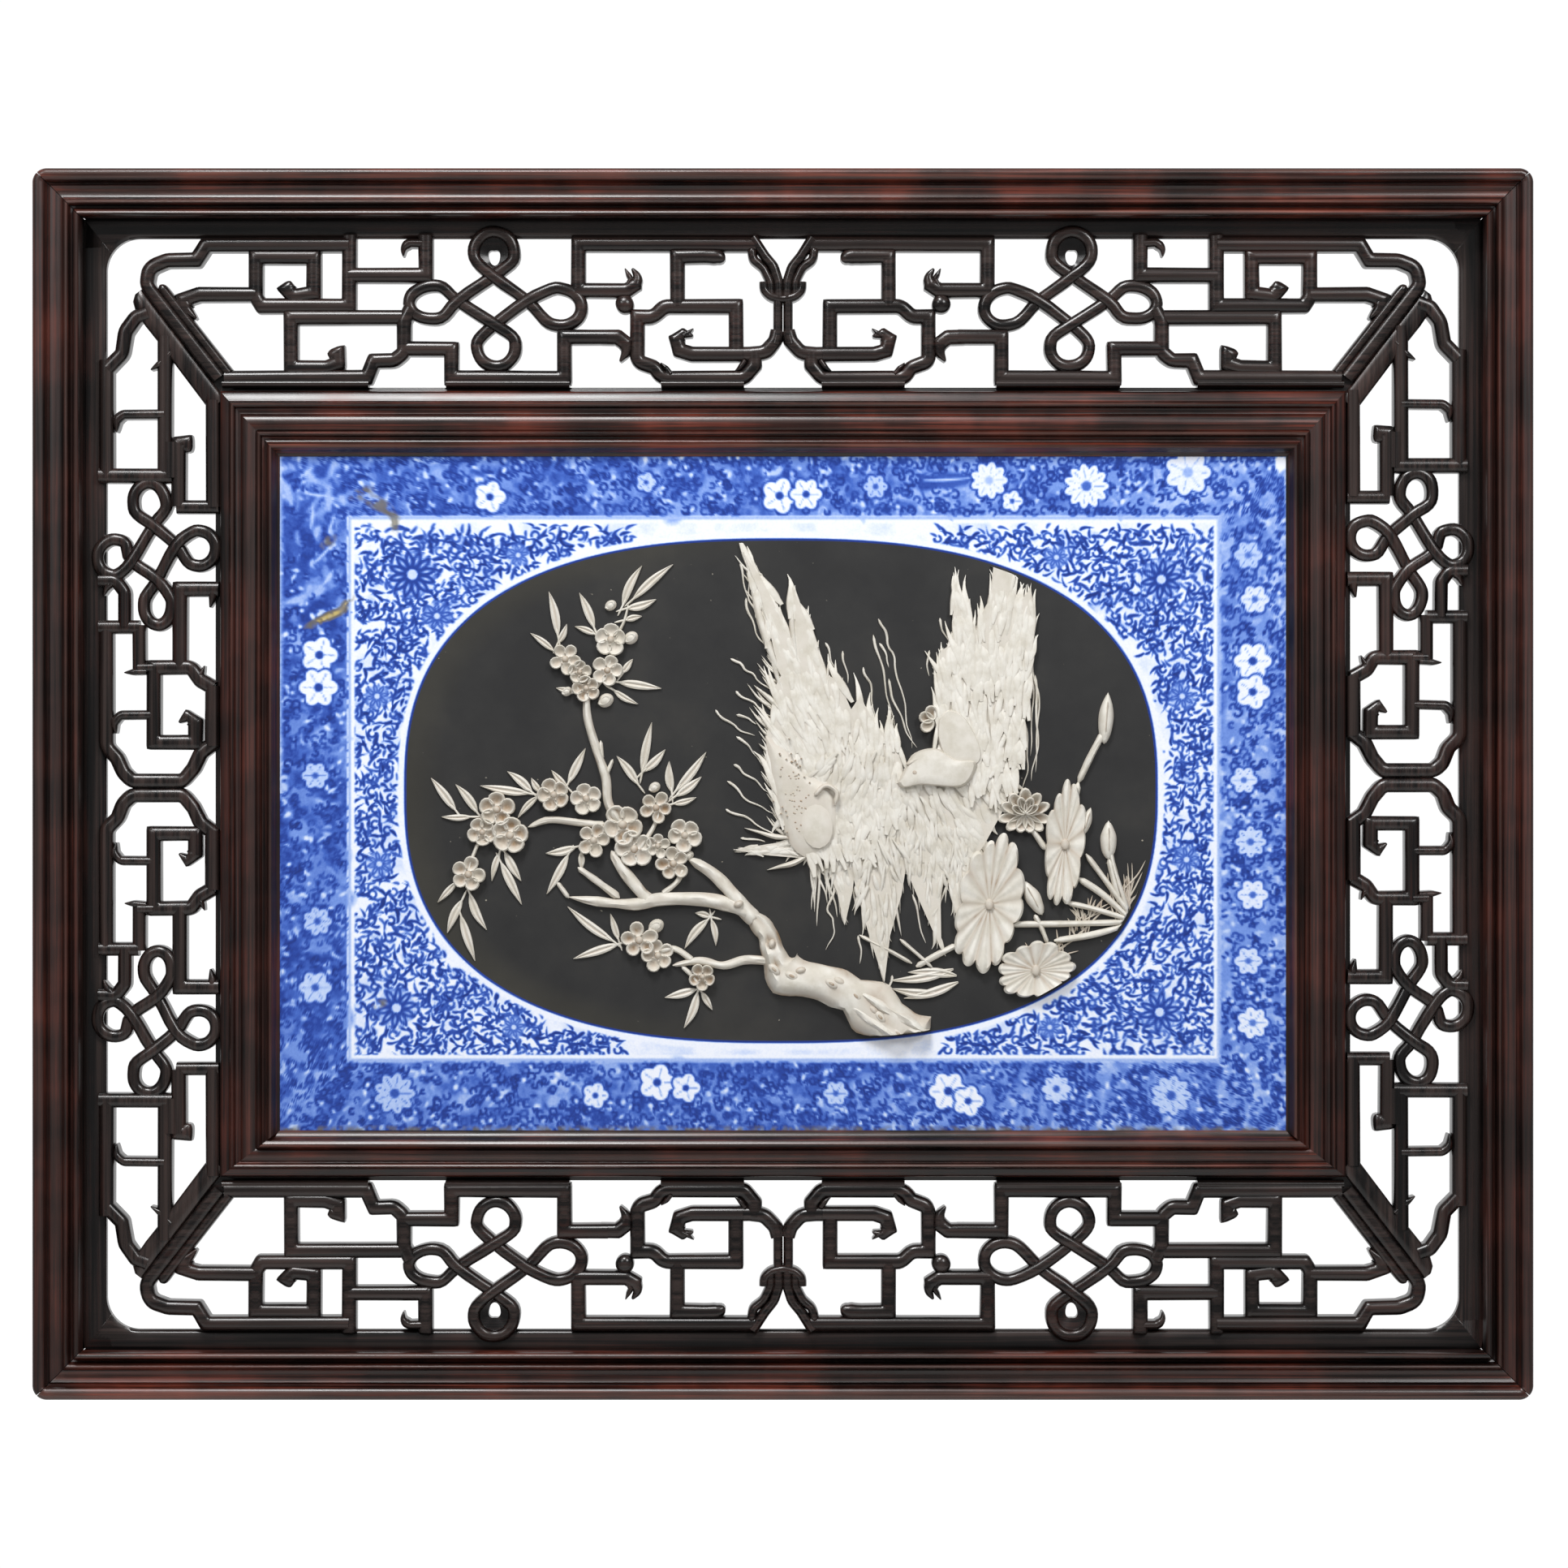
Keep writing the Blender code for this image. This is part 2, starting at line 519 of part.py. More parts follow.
def long_panel_point(side):
    """Maps the long drawing to the top or bottom panel."""
    place = panel_point(SIGHT_Z - INNER_Z, DRAWN_LONG_DEPTH, INNER_X, SIGHT_X,
                        DRAWN_LONG_INNER_HALF, DRAWN_LONG_HALF)
    flip = 1 if side == "top" else -1

    def on_panel(p):
        run, level = place(p[0], p[1])
        return Vector((run, flip * (INNER_Z + level)))

    return on_panel


def side_panel_point(side):
    """Maps the side drawing to the right or left panel, each carved a little off its middle."""
    place = panel_point(SIGHT_X - INNER_X, DRAWN_SIDE_DEPTH, INNER_Z, SIGHT_Z,
                        DRAWN_SIDE_INNER_HALF, DRAWN_SIDE_HALF)
    flip = 1 if side == "right" else -1
    lift = RIGHT_PATTERN_LIFT if side == "right" else LEFT_PATTERN_LIFT

    def on_panel(p):
        run, level = place(p[1], p[0])
        return Vector((flip * (INNER_X + level), run + lift))

    return on_panel


def diagonal_shapes(side):
    """The strips along the two corner seams, from the inner rail's corner out to the cusp."""
    width = TOP_DIAGONAL if side in ("top", "bottom") else SIDE_DIAGONAL
    shapes = []
    for sx in (-1, 1):
        for sz in (-1, 1):
            inner = Vector((sx * INNER_X, sz * INNER_Z))
            outer = Vector((sx * SIGHT_X, sz * SIGHT_Z))
            cusp = inner.lerp(outer, CUSP_SHARE)
            run = (outer - inner).normalized()
            across = Vector((-run.y, run.x)) * width
            start = inner - run * width
            back = cusp - run * (width * CUSP_SLANT)
            shapes += [[start - across, back - across, cusp, back + across, start + across]]
    return shapes


def carved_shapes(side):
    """All the convex shapes whose union is one fret panel, seen from the front."""
    long_side = side in ("top", "bottom")
    place = long_panel_point(side) if long_side else side_panel_point(side)
    strokes = LONG_STROKES if long_side else SIDE_STROKES
    knot = LONG_KNOT if long_side else SIDE_KNOT
    mirror = (lambda p: (-p[0], p[1])) if long_side else (lambda p: (p[0], -p[1]))
    drawn = []
    for name, width, path in strokes:
        drawn += bars(path, width)
    drawn += knot_bars(knot, KNOT_STRAND)
    if long_side:
        drawn.append(disc(*RIBBON_KNOT))
    shapes = [[place(p) for p in shape] for shape in drawn]
    shapes += [[place(mirror(p)) for p in shape] for shape in drawn]
    return shapes + diagonal_shapes(side)


def tongue_shape(side):
    """The panel's long edge, run on into the groove of the outer rail and stopped short of its ends."""
    stop = 4 * PANEL_GROOVE
    depth = PANEL_GROOVE - FIT_GAP
    if side in ("top", "bottom"):
        flip = 1 if side == "top" else -1
        run = SIGHT_X - stop
        return [Vector((x, flip * z)) for x, z in ((-run, SIGHT_Z - stop / 4), (run, SIGHT_Z - stop / 4),
                                                   (run, SIGHT_Z + depth), (-run, SIGHT_Z + depth))]
    flip = 1 if side == "right" else -1
    run = SIGHT_Z - stop
    return [Vector((flip * x, z)) for x, z in ((SIGHT_X - stop / 4, -run), (SIGHT_X + depth, -run),
                                               (SIGHT_X + depth, run), (SIGHT_X - stop / 4, run))]


def is_sliver(shape):
    """Whether an outline is too thin to carve."""
    if len(shape) < 3:
        return True
    longest = max((q - p).length for p, q in zip(shape, shape[1:] + shape[:1]))
    return abs(shape_area(shape)) < longest * THINNEST_SHAPE


def covers(shape, point):
    """Whether a convex outline, run anticlockwise, holds a point."""
    return all((q - p).cross(point - p) >= 0 for p, q in zip(shape, shape[1:] + shape[:1]))


def flat_union(shapes):
    """One flat mesh of the area that the shapes cover together, with its needless points dissolved.

    Every outline becomes lines of one triangulation, in millimetres, and the triangles that lie in
    any of the shapes are kept."""
    shapes = [anticlockwise([point / MM for point in shape]) for shape in shapes if not is_sliver(shape)]
    points = [point for shape in shapes for point in shape]
    lines, start = [], 0
    for shape in shapes:
        count = len(shape)
        lines += [(start + i, start + (i + 1) % count) for i in range(count)]
        start += count
    corners, _, triangles = delaunay_2d_cdt(points, lines, [], 0, MERGE_MM)[:3]
    form = bmesh.new()
    verts = [form.verts.new((point.x * MM, 0.0, point.y * MM)) for point in corners]
    for triangle in triangles:
        middle = sum((corners[i] for i in triangle), Vector((0, 0))) / 3
        if any(covers(shape, middle) for shape in shapes):
            form.faces.new([verts[i] for i in triangle])
    bmesh.ops.delete(form, geom=[vert for vert in form.verts if not vert.link_faces], context="VERTS")
    bmesh.ops.dissolve_limit(form, angle_limit=math.radians(FLAT_BEND), verts=form.verts, edges=form.edges)
    return form


def fret_panel(side, material):
    """One panel: the flat union of its strokes, border and corner strips, given its thickness."""
    sector = panel_sector(side)
    shapes = [clip(anticlockwise(shape), sector) for shape in carved_shapes(side)]
    shapes += ledge_shapes(sector)
    shapes.append(tongue_shape(side))
    form = flat_union(shapes)
    for vert in form.verts:
        vert.co = on_wall(vert.co.x, vert.co.z, PANEL_BACK)
    grown = bmesh.ops.extrude_face_region(form, geom=form.faces[:])
    lifted = [item for item in grown["geom"] if isinstance(item, bmesh.types.BMVert)]
    bmesh.ops.translate(form, verts=lifted, vec=(0.0, -PANEL_THICKNESS, 0.0))
    return make_object("fret_panel_" + side, form, material)


def slab(form, low_x, high_x, low_z, high_z, back, front):
    """A plain board between two corners."""
    rings = []
    for out in (back, front):
        rings.append([on_wall(x, z, out) for x, z in ((low_x, low_z), (high_x, low_z), (high_x, high_z),
                                                     (low_x, high_z))])
    skin(form, rings)


def rebate_slab(form, back, front):
    """A board that fills the rebate behind the lip, less the fit gap all round."""
    ease = REBATE_LAP - FIT_GAP
    slab(form, -WINDOW_X - ease, WINDOW_X + ease, WINDOW_BOTTOM - ease, WINDOW_TOP + ease, back, front)


def relief_scale():
    """How much larger the relief is than drawn."""
    return WINDOW_X / (DRAWN_WINDOW_HALF * MM)


def on_plaque(x, z, height):
    """A point of the relief: millimetres from the window's middle, height above the plaque's face."""
    scale = relief_scale() * MM
    middle = (WINDOW_TOP + WINDOW_BOTTOM) / 2
    return on_wall(x * scale, middle + z * scale, PLAQUE_FACE + height)


def relief_limb(form, path, height):
    """A branch or stem: a ridge of five corners, sunk at its foot, that follows a path and its widths."""
    points = [Vector(point[:2]) for point in path]
    top = max(point[2] for point in path)
    rings = []
    for i, point in enumerate(points):
        ahead = points[min(i + 1, len(points) - 1)] - points[max(i - 1, 0)]
        side = Vector((-ahead.y, ahead.x)).normalized()
        half = path[i][2] / 2
        rise = height * MM * (LIMB_LEAST_RISE + (1 - LIMB_LEAST_RISE) * path[i][2] / top)
        ring = []
        for share, level in LIMB_SECTION:
            spot = point + side * (half * share)
            ring.append(on_plaque(spot.x, spot.y, -RELIEF_ROOT if level is None else rise * level))
        rings.append(ring)
    skin(form, rings)


def relief_dome(form, x, z, half_x, half_z, height, sides=8):
    """A low dome: a foot ring in the face, a shoulder ring and a flat top; a small one has no shoulder."""
    upper = DOME_SHOULDER if max(half_x, half_z) >= SHOULDERED_DOME else SMALL_DOME_TOP
    levels = [(1.0, -RELIEF_ROOT)] + [(share, height * MM * level) for share, level in upper]
    rings = []
    for share, level in levels:
        rings.append([on_plaque(x + share * half_x * math.cos(a), z + share * half_z * math.sin(a), level)
                      for a in (2 * math.pi * i / sides for i in range(sides))])
    skin(form, rings)


def relief_leaf(form, x0, z0, x1, z1, width, height):
    """A slim leaf that rises from its outline, just under the face, to one point near its middle."""
    foot = Vector((x0, z0))
    tip = Vector((x1, z1))
    side = Vector((z0 - z1, x1 - x0)).normalized() * (width / 2)
    belly = foot.lerp(tip, LEAF_BELLY)
    corners = (foot, belly - side, tip, belly + side)
    outline = [form.verts.new(on_plaque(p.x, p.y, -LEAF_ROOT)) for p in corners]
    crest = form.verts.new(on_plaque(belly.x, belly.y, height * MM))
    form.faces.new(outline)
    for i, corner in enumerate(outline):
        form.faces.new((corner, outline[(i + 1) % len(outline)], crest))


def relief_plate(form, outline, height):
    """A wing or a body: its outline raised off the face, with its top edge bevelled."""
    points = [Vector(p) for p in outline]
    points = anticlockwise(points)
    inner = []
    for before, here, after in zip(points[-1:] + points[:-1], points, points[1:] + points[:1]):
        first = (here - before).normalized()
        second = (after - here).normalized()
        inwards = Vector((-first.y - second.y, first.x + second.x)).normalized()
        slope = max(abs(inwards.dot(Vector((-first.y, first.x)))), SHARPEST_TIP)
        inner.append(here + inwards * (PLATE_BEVEL / slope))
    levels = ((points, -RELIEF_ROOT), (points, height * MM * PLATE_SHOULDER), (inner, height * MM))
    skin(form, [[on_plaque(p.x, p.y, level) for p in ring] for ring, level in levels])


def relief_parts():
    """Every raised form of the plaque, each as its own closed mesh."""
    forms = []

    def add(maker, *values, **named):
        form = bmesh.new()
        maker(form, *values, **named)
        bmesh.ops.recalc_face_normals(form, faces=form.faces)
        forms.append(form)

    for name, path, height in BRANCHES:
        add(relief_limb, path, height)
    for x, z, radius in FLOWERS:
        add(relief_dome, x, z, radius, radius, FLOWER_HEIGHT, sides=PETALS)
    for x0, z0, x1, z1 in LEAVES:
        add(relief_leaf, x0, z0, x1, z1, LEAF_WIDTH, LEAF_HEIGHT)
    for name, height, outline in BIRD_PLATES:
        add(relief_plate, outline, height)
    for name, x, z, half_x, half_z, height in BIRD_DOMES:
        add(relief_dome, x, z, half_x, half_z, height)
    for x0, z0, x1, z1, width in BIRD_FEATHERS:
        add(relief_leaf, x0, z0, x1, z1, width, FEATHER_HEIGHT)
    for name, x, z, half_x, half_z, height in LOTUS_PADS:
        add(relief_dome, x, z, half_x, half_z, height)
    for start, end in LOTUS_STEMS:
        path = [(*start, LOTUS_STEM_WIDTH), (*end, LOTUS_STEM_WIDTH)]
        add(relief_limb, path, LOTUS_STEM_HEIGHT)
    return forms


def porcelain_plaque(material):
    """The fired plaque: its slab and its relief joined into one solid."""
    form = bmesh.new()
    rebate_slab(form, PLAQUE_BACK, PLAQUE_FACE)
    plaque = make_object("porcelain_plaque", form, material)
    relief = bpy.data.collections.new("relief")
    for number, part in enumerate(relief_parts()):
        piece = make_object("relief_{:03d}".format(number), part, material, hidden=True)
        bpy.context.scene.collection.objects.unlink(piece)
        relief.objects.link(piece)
    bpy.context.scene.collection.children.link(relief)
    join = plaque.modifiers.new("relief", "BOOLEAN")
    join.operation = "UNION"
    join.solver = "EXACT"
    join.operand_type = "COLLECTION"
    join.collection = relief
    return plaque


def back_board(material):
    """The plain board that closes the rebate behind the plaque."""
    form = bmesh.new()
    rebate_slab(form, BOARD_FRONT - BOARD_THICKNESS, BOARD_FRONT)
    return make_object("back_board", form, material)


def build():
    """Makes the fourteen pieces."""
    clear_scene()
    hardwood = (0.020, 0.012, 0.010)
    rail_wood = make_material("rail hardwood", hardwood, 0.42)
    fret_wood = make_material("carved hardwood", (0.012, 0.009, 0.008), 0.38)
    board_wood = make_material("board softwood", (0.16, 0.10, 0.06), 0.7)
    porcelain = make_material("glazed porcelain", (0.62, 0.64, 0.68), 0.18, coat=0.3)
    for side in ("top", "bottom", "left", "right"):
        outer_rail(side, rail_wood)
        fret_panel(side, fret_wood)
        inner_rail(side, rail_wood)
    porcelain_plaque(porcelain)
    back_board(board_wood)


build()
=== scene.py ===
# %% [markdown]
# A porcelain wall plaque in a carved hardwood frame.
# The real thing is a fired slab painted in cobalt blue, with a black oval that carries white raised
# figures, held by two moulded wooden frames with openwork panels between them.
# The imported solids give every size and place. This lesson dresses them: each step makes one kind of
# surface as arrays of points, then gives it a finish.

import functools
from math import atan2, cos, dist, hypot, pi, radians, sin, sqrt, tan

import bpy
import numpy as np
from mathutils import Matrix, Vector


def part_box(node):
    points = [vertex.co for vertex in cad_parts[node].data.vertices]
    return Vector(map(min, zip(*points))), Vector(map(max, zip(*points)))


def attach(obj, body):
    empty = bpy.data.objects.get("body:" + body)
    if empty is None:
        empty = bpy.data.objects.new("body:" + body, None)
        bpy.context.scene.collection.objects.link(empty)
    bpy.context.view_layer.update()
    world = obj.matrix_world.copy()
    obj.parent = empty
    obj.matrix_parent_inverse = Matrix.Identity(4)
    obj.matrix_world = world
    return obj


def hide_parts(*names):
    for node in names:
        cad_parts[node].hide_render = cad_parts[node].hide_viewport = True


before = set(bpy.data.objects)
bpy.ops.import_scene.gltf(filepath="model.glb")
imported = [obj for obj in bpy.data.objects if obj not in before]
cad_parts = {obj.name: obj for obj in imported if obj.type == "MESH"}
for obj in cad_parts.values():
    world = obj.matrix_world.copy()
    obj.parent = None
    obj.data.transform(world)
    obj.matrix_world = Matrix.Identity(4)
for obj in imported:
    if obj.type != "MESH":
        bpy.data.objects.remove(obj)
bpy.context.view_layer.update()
print("packed nodes:", len(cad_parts))

# %% [markdown]
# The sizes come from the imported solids, so that each surface sits where its solid is.
# Across the wall is x, up is z, and "out" is how far a point stands off the wall, which is minus y.

# %% Measure the frame
MM = 0.001
WALL_BODY = "root"
LIP = 4.8 * MM


def span(node):
    """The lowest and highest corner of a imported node, as two arrays of x, y and z in metres."""
    return [np.array(corner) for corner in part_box(node)]


def clamp(values):
    """Values kept between 0 and 1."""
    return np.clip(values, 0, 1)


def column(*values):
    """One value for each row of a grid."""
    return np.array(values)[:, None]


def around_ring(count):
    """Evenly spaced angles once round: 2 pi k / count."""
    return np.linspace(0, 2 * pi, count, endpoint=False)



outer_low, outer_high = span("outer_rail_top")
foot = span("outer_rail_bottom")[0][2]
CENTRE_Z, HALF_HEIGHT = (outer_high[2] + foot) / 2, (outer_high[2] - foot) / 2
HALF_WIDTH = span("outer_rail_right")[1][0]
OUTER_RAIL = outer_high[2] - outer_low[2]
SIGHT_X, SIGHT_Z = HALF_WIDTH - OUTER_RAIL, HALF_HEIGHT - OUTER_RAIL
inner_low, inner_high = span("inner_rail_top")
INNER_X, INNER_Z = (inner_high[0] - inner_low[0]) / 2, inner_high[2] - CENTRE_Z
WINDOW_X, WINDOW_TOP = span("inner_rail_right")[0][0], inner_low[2] - CENTRE_Z
WINDOW_BOTTOM = span("inner_rail_bottom")[1][2] - CENTRE_Z
WINDOW_MIDDLE = (WINDOW_TOP + WINDOW_BOTTOM) / 2
GLAZE_FACE = -inner_low[1] - LIP
fret_low, fret_high = span("fret_panel_top")
PANEL_BACK, CROWN_TOP = -fret_high[1], -fret_low[1]
plaque_low, plaque_high = span("porcelain_plaque")
RELIEF_TOP, PLAQUE_BACK = -plaque_low[1], -plaque_high[1]
PLAQUE_X, PLAQUE_TOP, PLAQUE_BOTTOM = plaque_high[0], plaque_high[2] - CENTRE_Z, plaque_low[2] - CENTRE_Z
print("sight", round(SIGHT_X, 4), round(SIGHT_Z, 4), "window", round(WINDOW_X, 4), round(GLAZE_FACE, 4))

# %% [markdown]
# Every surface here is a grid: rows of points joined to their neighbours by four-sided faces.
# A row that closes on itself makes a tube, and a face over each open end makes the tube a solid.
# Meshes are filled from whole arrays, which is far quicker than adding points one by one.

# %% Grids of points and their faces


def place(x, z, out):
    """Points of the frame: x and z measured from its middle, out from the wall: (x, -out, middle + z)."""
    x, z, out = np.broadcast_arrays(x, z, out)
    return np.stack([x, -out, CENTRE_Z + z], axis=-1)


def grid_faces(rows, columns, close_rows, close_columns):
    """Quads of a grid of points numbered row by row: (r, c), (r, c+1), (r+1, c+1), (r+1, c)."""
    r = np.arange(rows if close_rows else rows - 1)
    c = np.arange(columns if close_columns else columns - 1)
    r, c = np.meshgrid(r, c, indexing="ij")
    r_next, c_next = (r + 1) % rows, (c + 1) % columns
    quads = [r * columns + c, r * columns + c_next, r_next * columns + c_next, r_next * columns + c]
    return np.stack(quads, axis=-1).reshape(-1, 4)


def holds_negative(points, faces):
    """Whether closed faces look inwards: the sum of a . (b x c) over their triangles is below zero."""
    points = points - points.mean(axis=0)
    total = 0.0
    for group in faces:
        for k in range(1, group.shape[1] - 1):
            a, b, c = points[group[:, 0]], points[group[:, k]], points[group[:, k + 1]]
            total += float(np.sum(a * np.cross(b, c)))
    return total < 0


class Shell:
    """Gathers grids of points into one mesh, with one number beside each point."""

    def __init__(self):
        self.points, self.faces, self.marks, self.count = [], [], [], 0

    def add(self, grid, mark=0.0, close_rows=False, caps=True):
        """Adds a grid (rows, columns, 3) whose columns close round; caps close its first and last row."""
        rows, columns = grid.shape[:2]
        points = grid.reshape(-1, 3)
        faces = [grid_faces(rows, columns, close_rows, True)]
        if caps and not close_rows:
            first = np.arange(columns)[None, :]
            faces += [first[:, ::-1], first + (rows - 1) * columns]
        if holds_negative(points, faces):
            faces = [group[:, ::-1] for group in faces]
        self.faces += [group + self.count for group in faces]
        self.points.append(points)
        self.marks.append(np.broadcast_to(mark, grid.shape[:2]).reshape(-1).astype(float))
        self.count += rows * columns


# %% Meshes from gathered grids
def make_piece(name, shell, material, node, crease=38.0, mark="wear_and_sheen"):
    """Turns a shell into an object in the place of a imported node, smooth but for its creases."""
    mesh = bpy.data.meshes.new(name)
    points = np.concatenate(shell.points)
    corners = np.concatenate([faces.ravel() for faces in shell.faces])
    sizes = np.concatenate([np.full(len(faces), faces.shape[1]) for faces in shell.faces])
    mesh.vertices.add(len(points))
    mesh.vertices.foreach_set("co", points.ravel())
    mesh.loops.add(len(corners))
    mesh.loops.foreach_set("vertex_index", corners.astype(np.int32))
    mesh.polygons.add(len(sizes))
    mesh.polygons.foreach_set("loop_start", np.concatenate([[0], np.cumsum(sizes)[:-1]]).astype(np.int32))
    mesh.update(calc_edges=True)
    mesh.validate()
    mesh.polygons.foreach_set("use_smooth", np.ones(len(mesh.polygons), bool))
    mesh.set_sharp_from_angle(angle=radians(crease))
    add_layer(mesh, mark, np.concatenate(shell.marks))
    mesh.materials.append(material)
    piece = bpy.data.objects.new(name, mesh)
    bpy.context.scene.collection.objects.link(piece)
    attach(piece, WALL_BODY)
    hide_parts(node)
    print(name, int((sizes - 2).sum()), "triangles")
    return mesh


def add_layer(mesh, name, values):
    """Stores one number per point of a mesh, for its finish to read."""
    mesh.attributes.new(name, "FLOAT", "POINT").data.foreach_set("value",
            np.ascontiguousarray(values, float))


# %% [markdown]
# A material is a small network of nodes. One helper adds a node, sets its options and values, and
# links its inputs, so that each finish below reads as a short list.
# Colours are written as the hex values a paint chart would give and turned to the linear values that
# the shader works in.

# %% Helpers for materials


def to_linear(code):
    """Turns "#rrggbb" to linear values: c / 12.92 when small, else ((c + 0.055) / 1.055) ^ 2.4."""
    parts = [int(code[i:i + 2], 16) / 255 for i in (1, 3, 5)]
    return tuple(c / 12.92 if c <= 0.04045 else ((c + 0.055) / 1.055) ** 2.4 for c in parts) + (1.0,)


def set_inputs(material, node, inputs):
    """Gives a node's inputs their values, or a link where the value is a (node, output) pair."""
    for key, value in inputs.items():
        if isinstance(value, tuple) and hasattr(value[0], "outputs"):
            material.node_tree.links.new(value[0].outputs[value[1]], node.inputs[key])
        else:
            node.inputs[key].default_value = value
    return node


def add_node(material, kind, inputs, **settings):
    """Adds a shader node with its own settings, such as its operation, and its inputs."""
    node = material.node_tree.nodes.new("ShaderNode" + kind)
    for key, value in settings.items():
        setattr(node, key, value)
    return set_inputs(material, node, inputs)


def set_ramp(node, stops):
    """Gives a Color Ramp its stops: (position, hex colour)."""
    ramp = node.color_ramp
    ramp.elements.remove(ramp.elements[0])
    ramp.elements[0].position, ramp.elements[0].color = stops[0][0], to_linear(stops[0][1])
    for position, colour in stops[1:]:
        ramp.elements.new(position).color = to_linear(colour)
    return node


def new_material(name):
    """A node material, its shader, the object's own coordinates, and a function that adds its nodes."""
    material = bpy.data.materials.new(name)
    material.use_nodes = True
    shader, add = material.node_tree.nodes["Principled BSDF"], functools.partial(add_node, material)
    return material, shader, (add("TexCoord", {}), "Object"), add


# %% [markdown]
# The frame is hongmu, a dense rosewood, planed, carved and rubbed with wax, and darkened by age.
# It is nearly black in the shade and red-brown where light gets in. A paler greyish colour is painted on the
# raised edges, the flats and the coves: partly wax worn off by hands and cloths, partly painted sheen where
# the lamps catch them. The grain runs along each stick, so there is one finish for the sticks that lie along
# x and one for those that stand up. The upright one is also painted darker and less pale, as painted shade,
# and the lying one gets painted light from above.

# %% Waxed rosewood
GRAIN_PITCH = 1.1 * MM
GRAIN_LENGTH = 80 * MM
PATCH_SIZE = 38 * MM


def waxed_rosewood(name, along, deep, body, warm, worn, wear_and_sheen_share, gloss):
    """Rosewood with grain along x or z: dark and warm streaks, and a pale colour where the mark is high, for
    worn edges plus painted sheen.
    """
    material, shader, spot, add = new_material(name)
    fine, long = 1 / GRAIN_PITCH, 1 / GRAIN_LENGTH
    scale = (long, fine, fine) if along == "x" else (fine, fine, long)
    lengthwise = add("Mapping", {"Vector": spot, "Scale": scale}), "Vector"
    grain = add("TexNoise", {"Vector": lengthwise, "Scale": 1.0, "Detail": 4.0, "Roughness": 0.6})
    age = add("TexNoise", {"Vector": spot, "Scale": 1 / PATCH_SIZE, "Detail": 3.0, "Roughness": 0.55})
    tone = add("Math", {0: (age, "Fac"), 1: 0.5}, operation="MULTIPLY")
    mixed = add("Math", {0: (grain, "Fac"), 1: 0.6, 2: (tone, "Value")}, operation="MULTIPLY_ADD")
    ramp = set_ramp(add("ValToRGB", {"Fac": (mixed, "Value")}), [(0.44, deep), (0.56, body), (0.72, warm)])
    edge = add("Attribute", {}, attribute_name="wear_and_sheen")
    rub = add("TexNoise", {"Vector": lengthwise, "Scale": 0.3, "Detail": 3.0, "Roughness": 0.7})
    rubbed = add("MapRange", {"Value": (rub, "Fac"), "From Min": 0.4, "From Max": 0.62,
                              "To Max": wear_and_sheen_share})
    amount = add("Math", {0: (edge, "Fac"), 1: (rubbed, "Result")}, operation="MULTIPLY")
    colour = add("Mix", {0: (amount, "Value"), 6: (ramp, "Color"), 7: to_linear(worn)}, data_type="RGBA")
    rough = add("MapRange", {"Value": (mixed, "Value"), "From Min": 0.35, "From Max": 0.8, "To Min": gloss,
                             "To Max": gloss + 0.16})
    bump = add("Bump", {"Height": (grain, "Fac"), "Strength": 0.15, "Distance": 0.15 * MM})
    set_inputs(material, shader, {"Base Color": (colour, 2), "Roughness": (rough, "Result"),
                                  "Normal": (bump, "Normal"), "IOR": 1.5})
    return material


# Lit and shaded copies of one rosewood: the lying sticks get a warmer red and more pale sheen as painted
# light from above; the upright sticks get a duller red and less sheen as painted shade.
rail_x_lit = waxed_rosewood("waxed_rosewood_along_x_lit", "x", "#0b0504", "#2b110b", "#682a1b", "#8f6a60", 0.3, 0.22)
rail_z_shaded = waxed_rosewood("waxed_rosewood_upright_shaded", "z", "#0b0504", "#27100b", "#4d2016", "#8f6a60", 0.12,
                        0.36)
carved_x, carved_z = (
    waxed_rosewood("carved_rosewood_" + name, along, "#050404", "#0c0808", "#2a120d", "#74605a", 0.2, 0.19)
    for name, along in (("along_x", "x"), ("upright", "z")))
print("rosewood: a streak every", GRAIN_PITCH / MM, "mm")

# %% [markdown]
# The outer frame is four moulded sticks, mitred at the corners and rounded off there.
# A moulding is one profile carried along the stick, so it is drawn once as a list of points: how far
# in from the stick's outer edge, and how far out from the wall, in millimetres.
# A bead catches the light as a bright line and the groove beside it stays dark, which is what the eye
# reads as a moulding.

# %% The outer sticks
CORNER_ROUND = 6.5 * MM
FIT_GAP = 0.3 * MM
CORNER_STEPS = 10
OUTER_PROFILE = np.array([
    (0, 0), (0, 20.4), (0.25, 21.6), (0.9, 22.7), (1.9, 23.3), (3.2, 23.2), (4.7, 22.7), (5.7, 21.6), (6.1,
    20.0), (6.7, 19.3), (7.4, 19.5), (7.9, 19.9), (9.2, 19.2), (10.9, 18.9), (12.5, 19.2), (13.7, 19.8),
    (14.1, 20.6), (14.3, 21.7), (14.8, 22.6), (15.4, 22.9), (16.0, 22.6), (16.5, 21.7), (16.7, 20.4), (17.1,
    19.3), (17.9, 18.9), (18.6, 19.4), (18.9, 20.6), (19.1, 23.6), (19.5, 25.1), (20.1, 25.8), (20.8, 26.0),
    (21.4, 25.6), (21.8, 24.8), (22.0, 23.6), (22.0, 15.3), (19.0, 15.3), (19.0, 4.7), (22.0, 4.7), (22.0, 0)
]) * MM
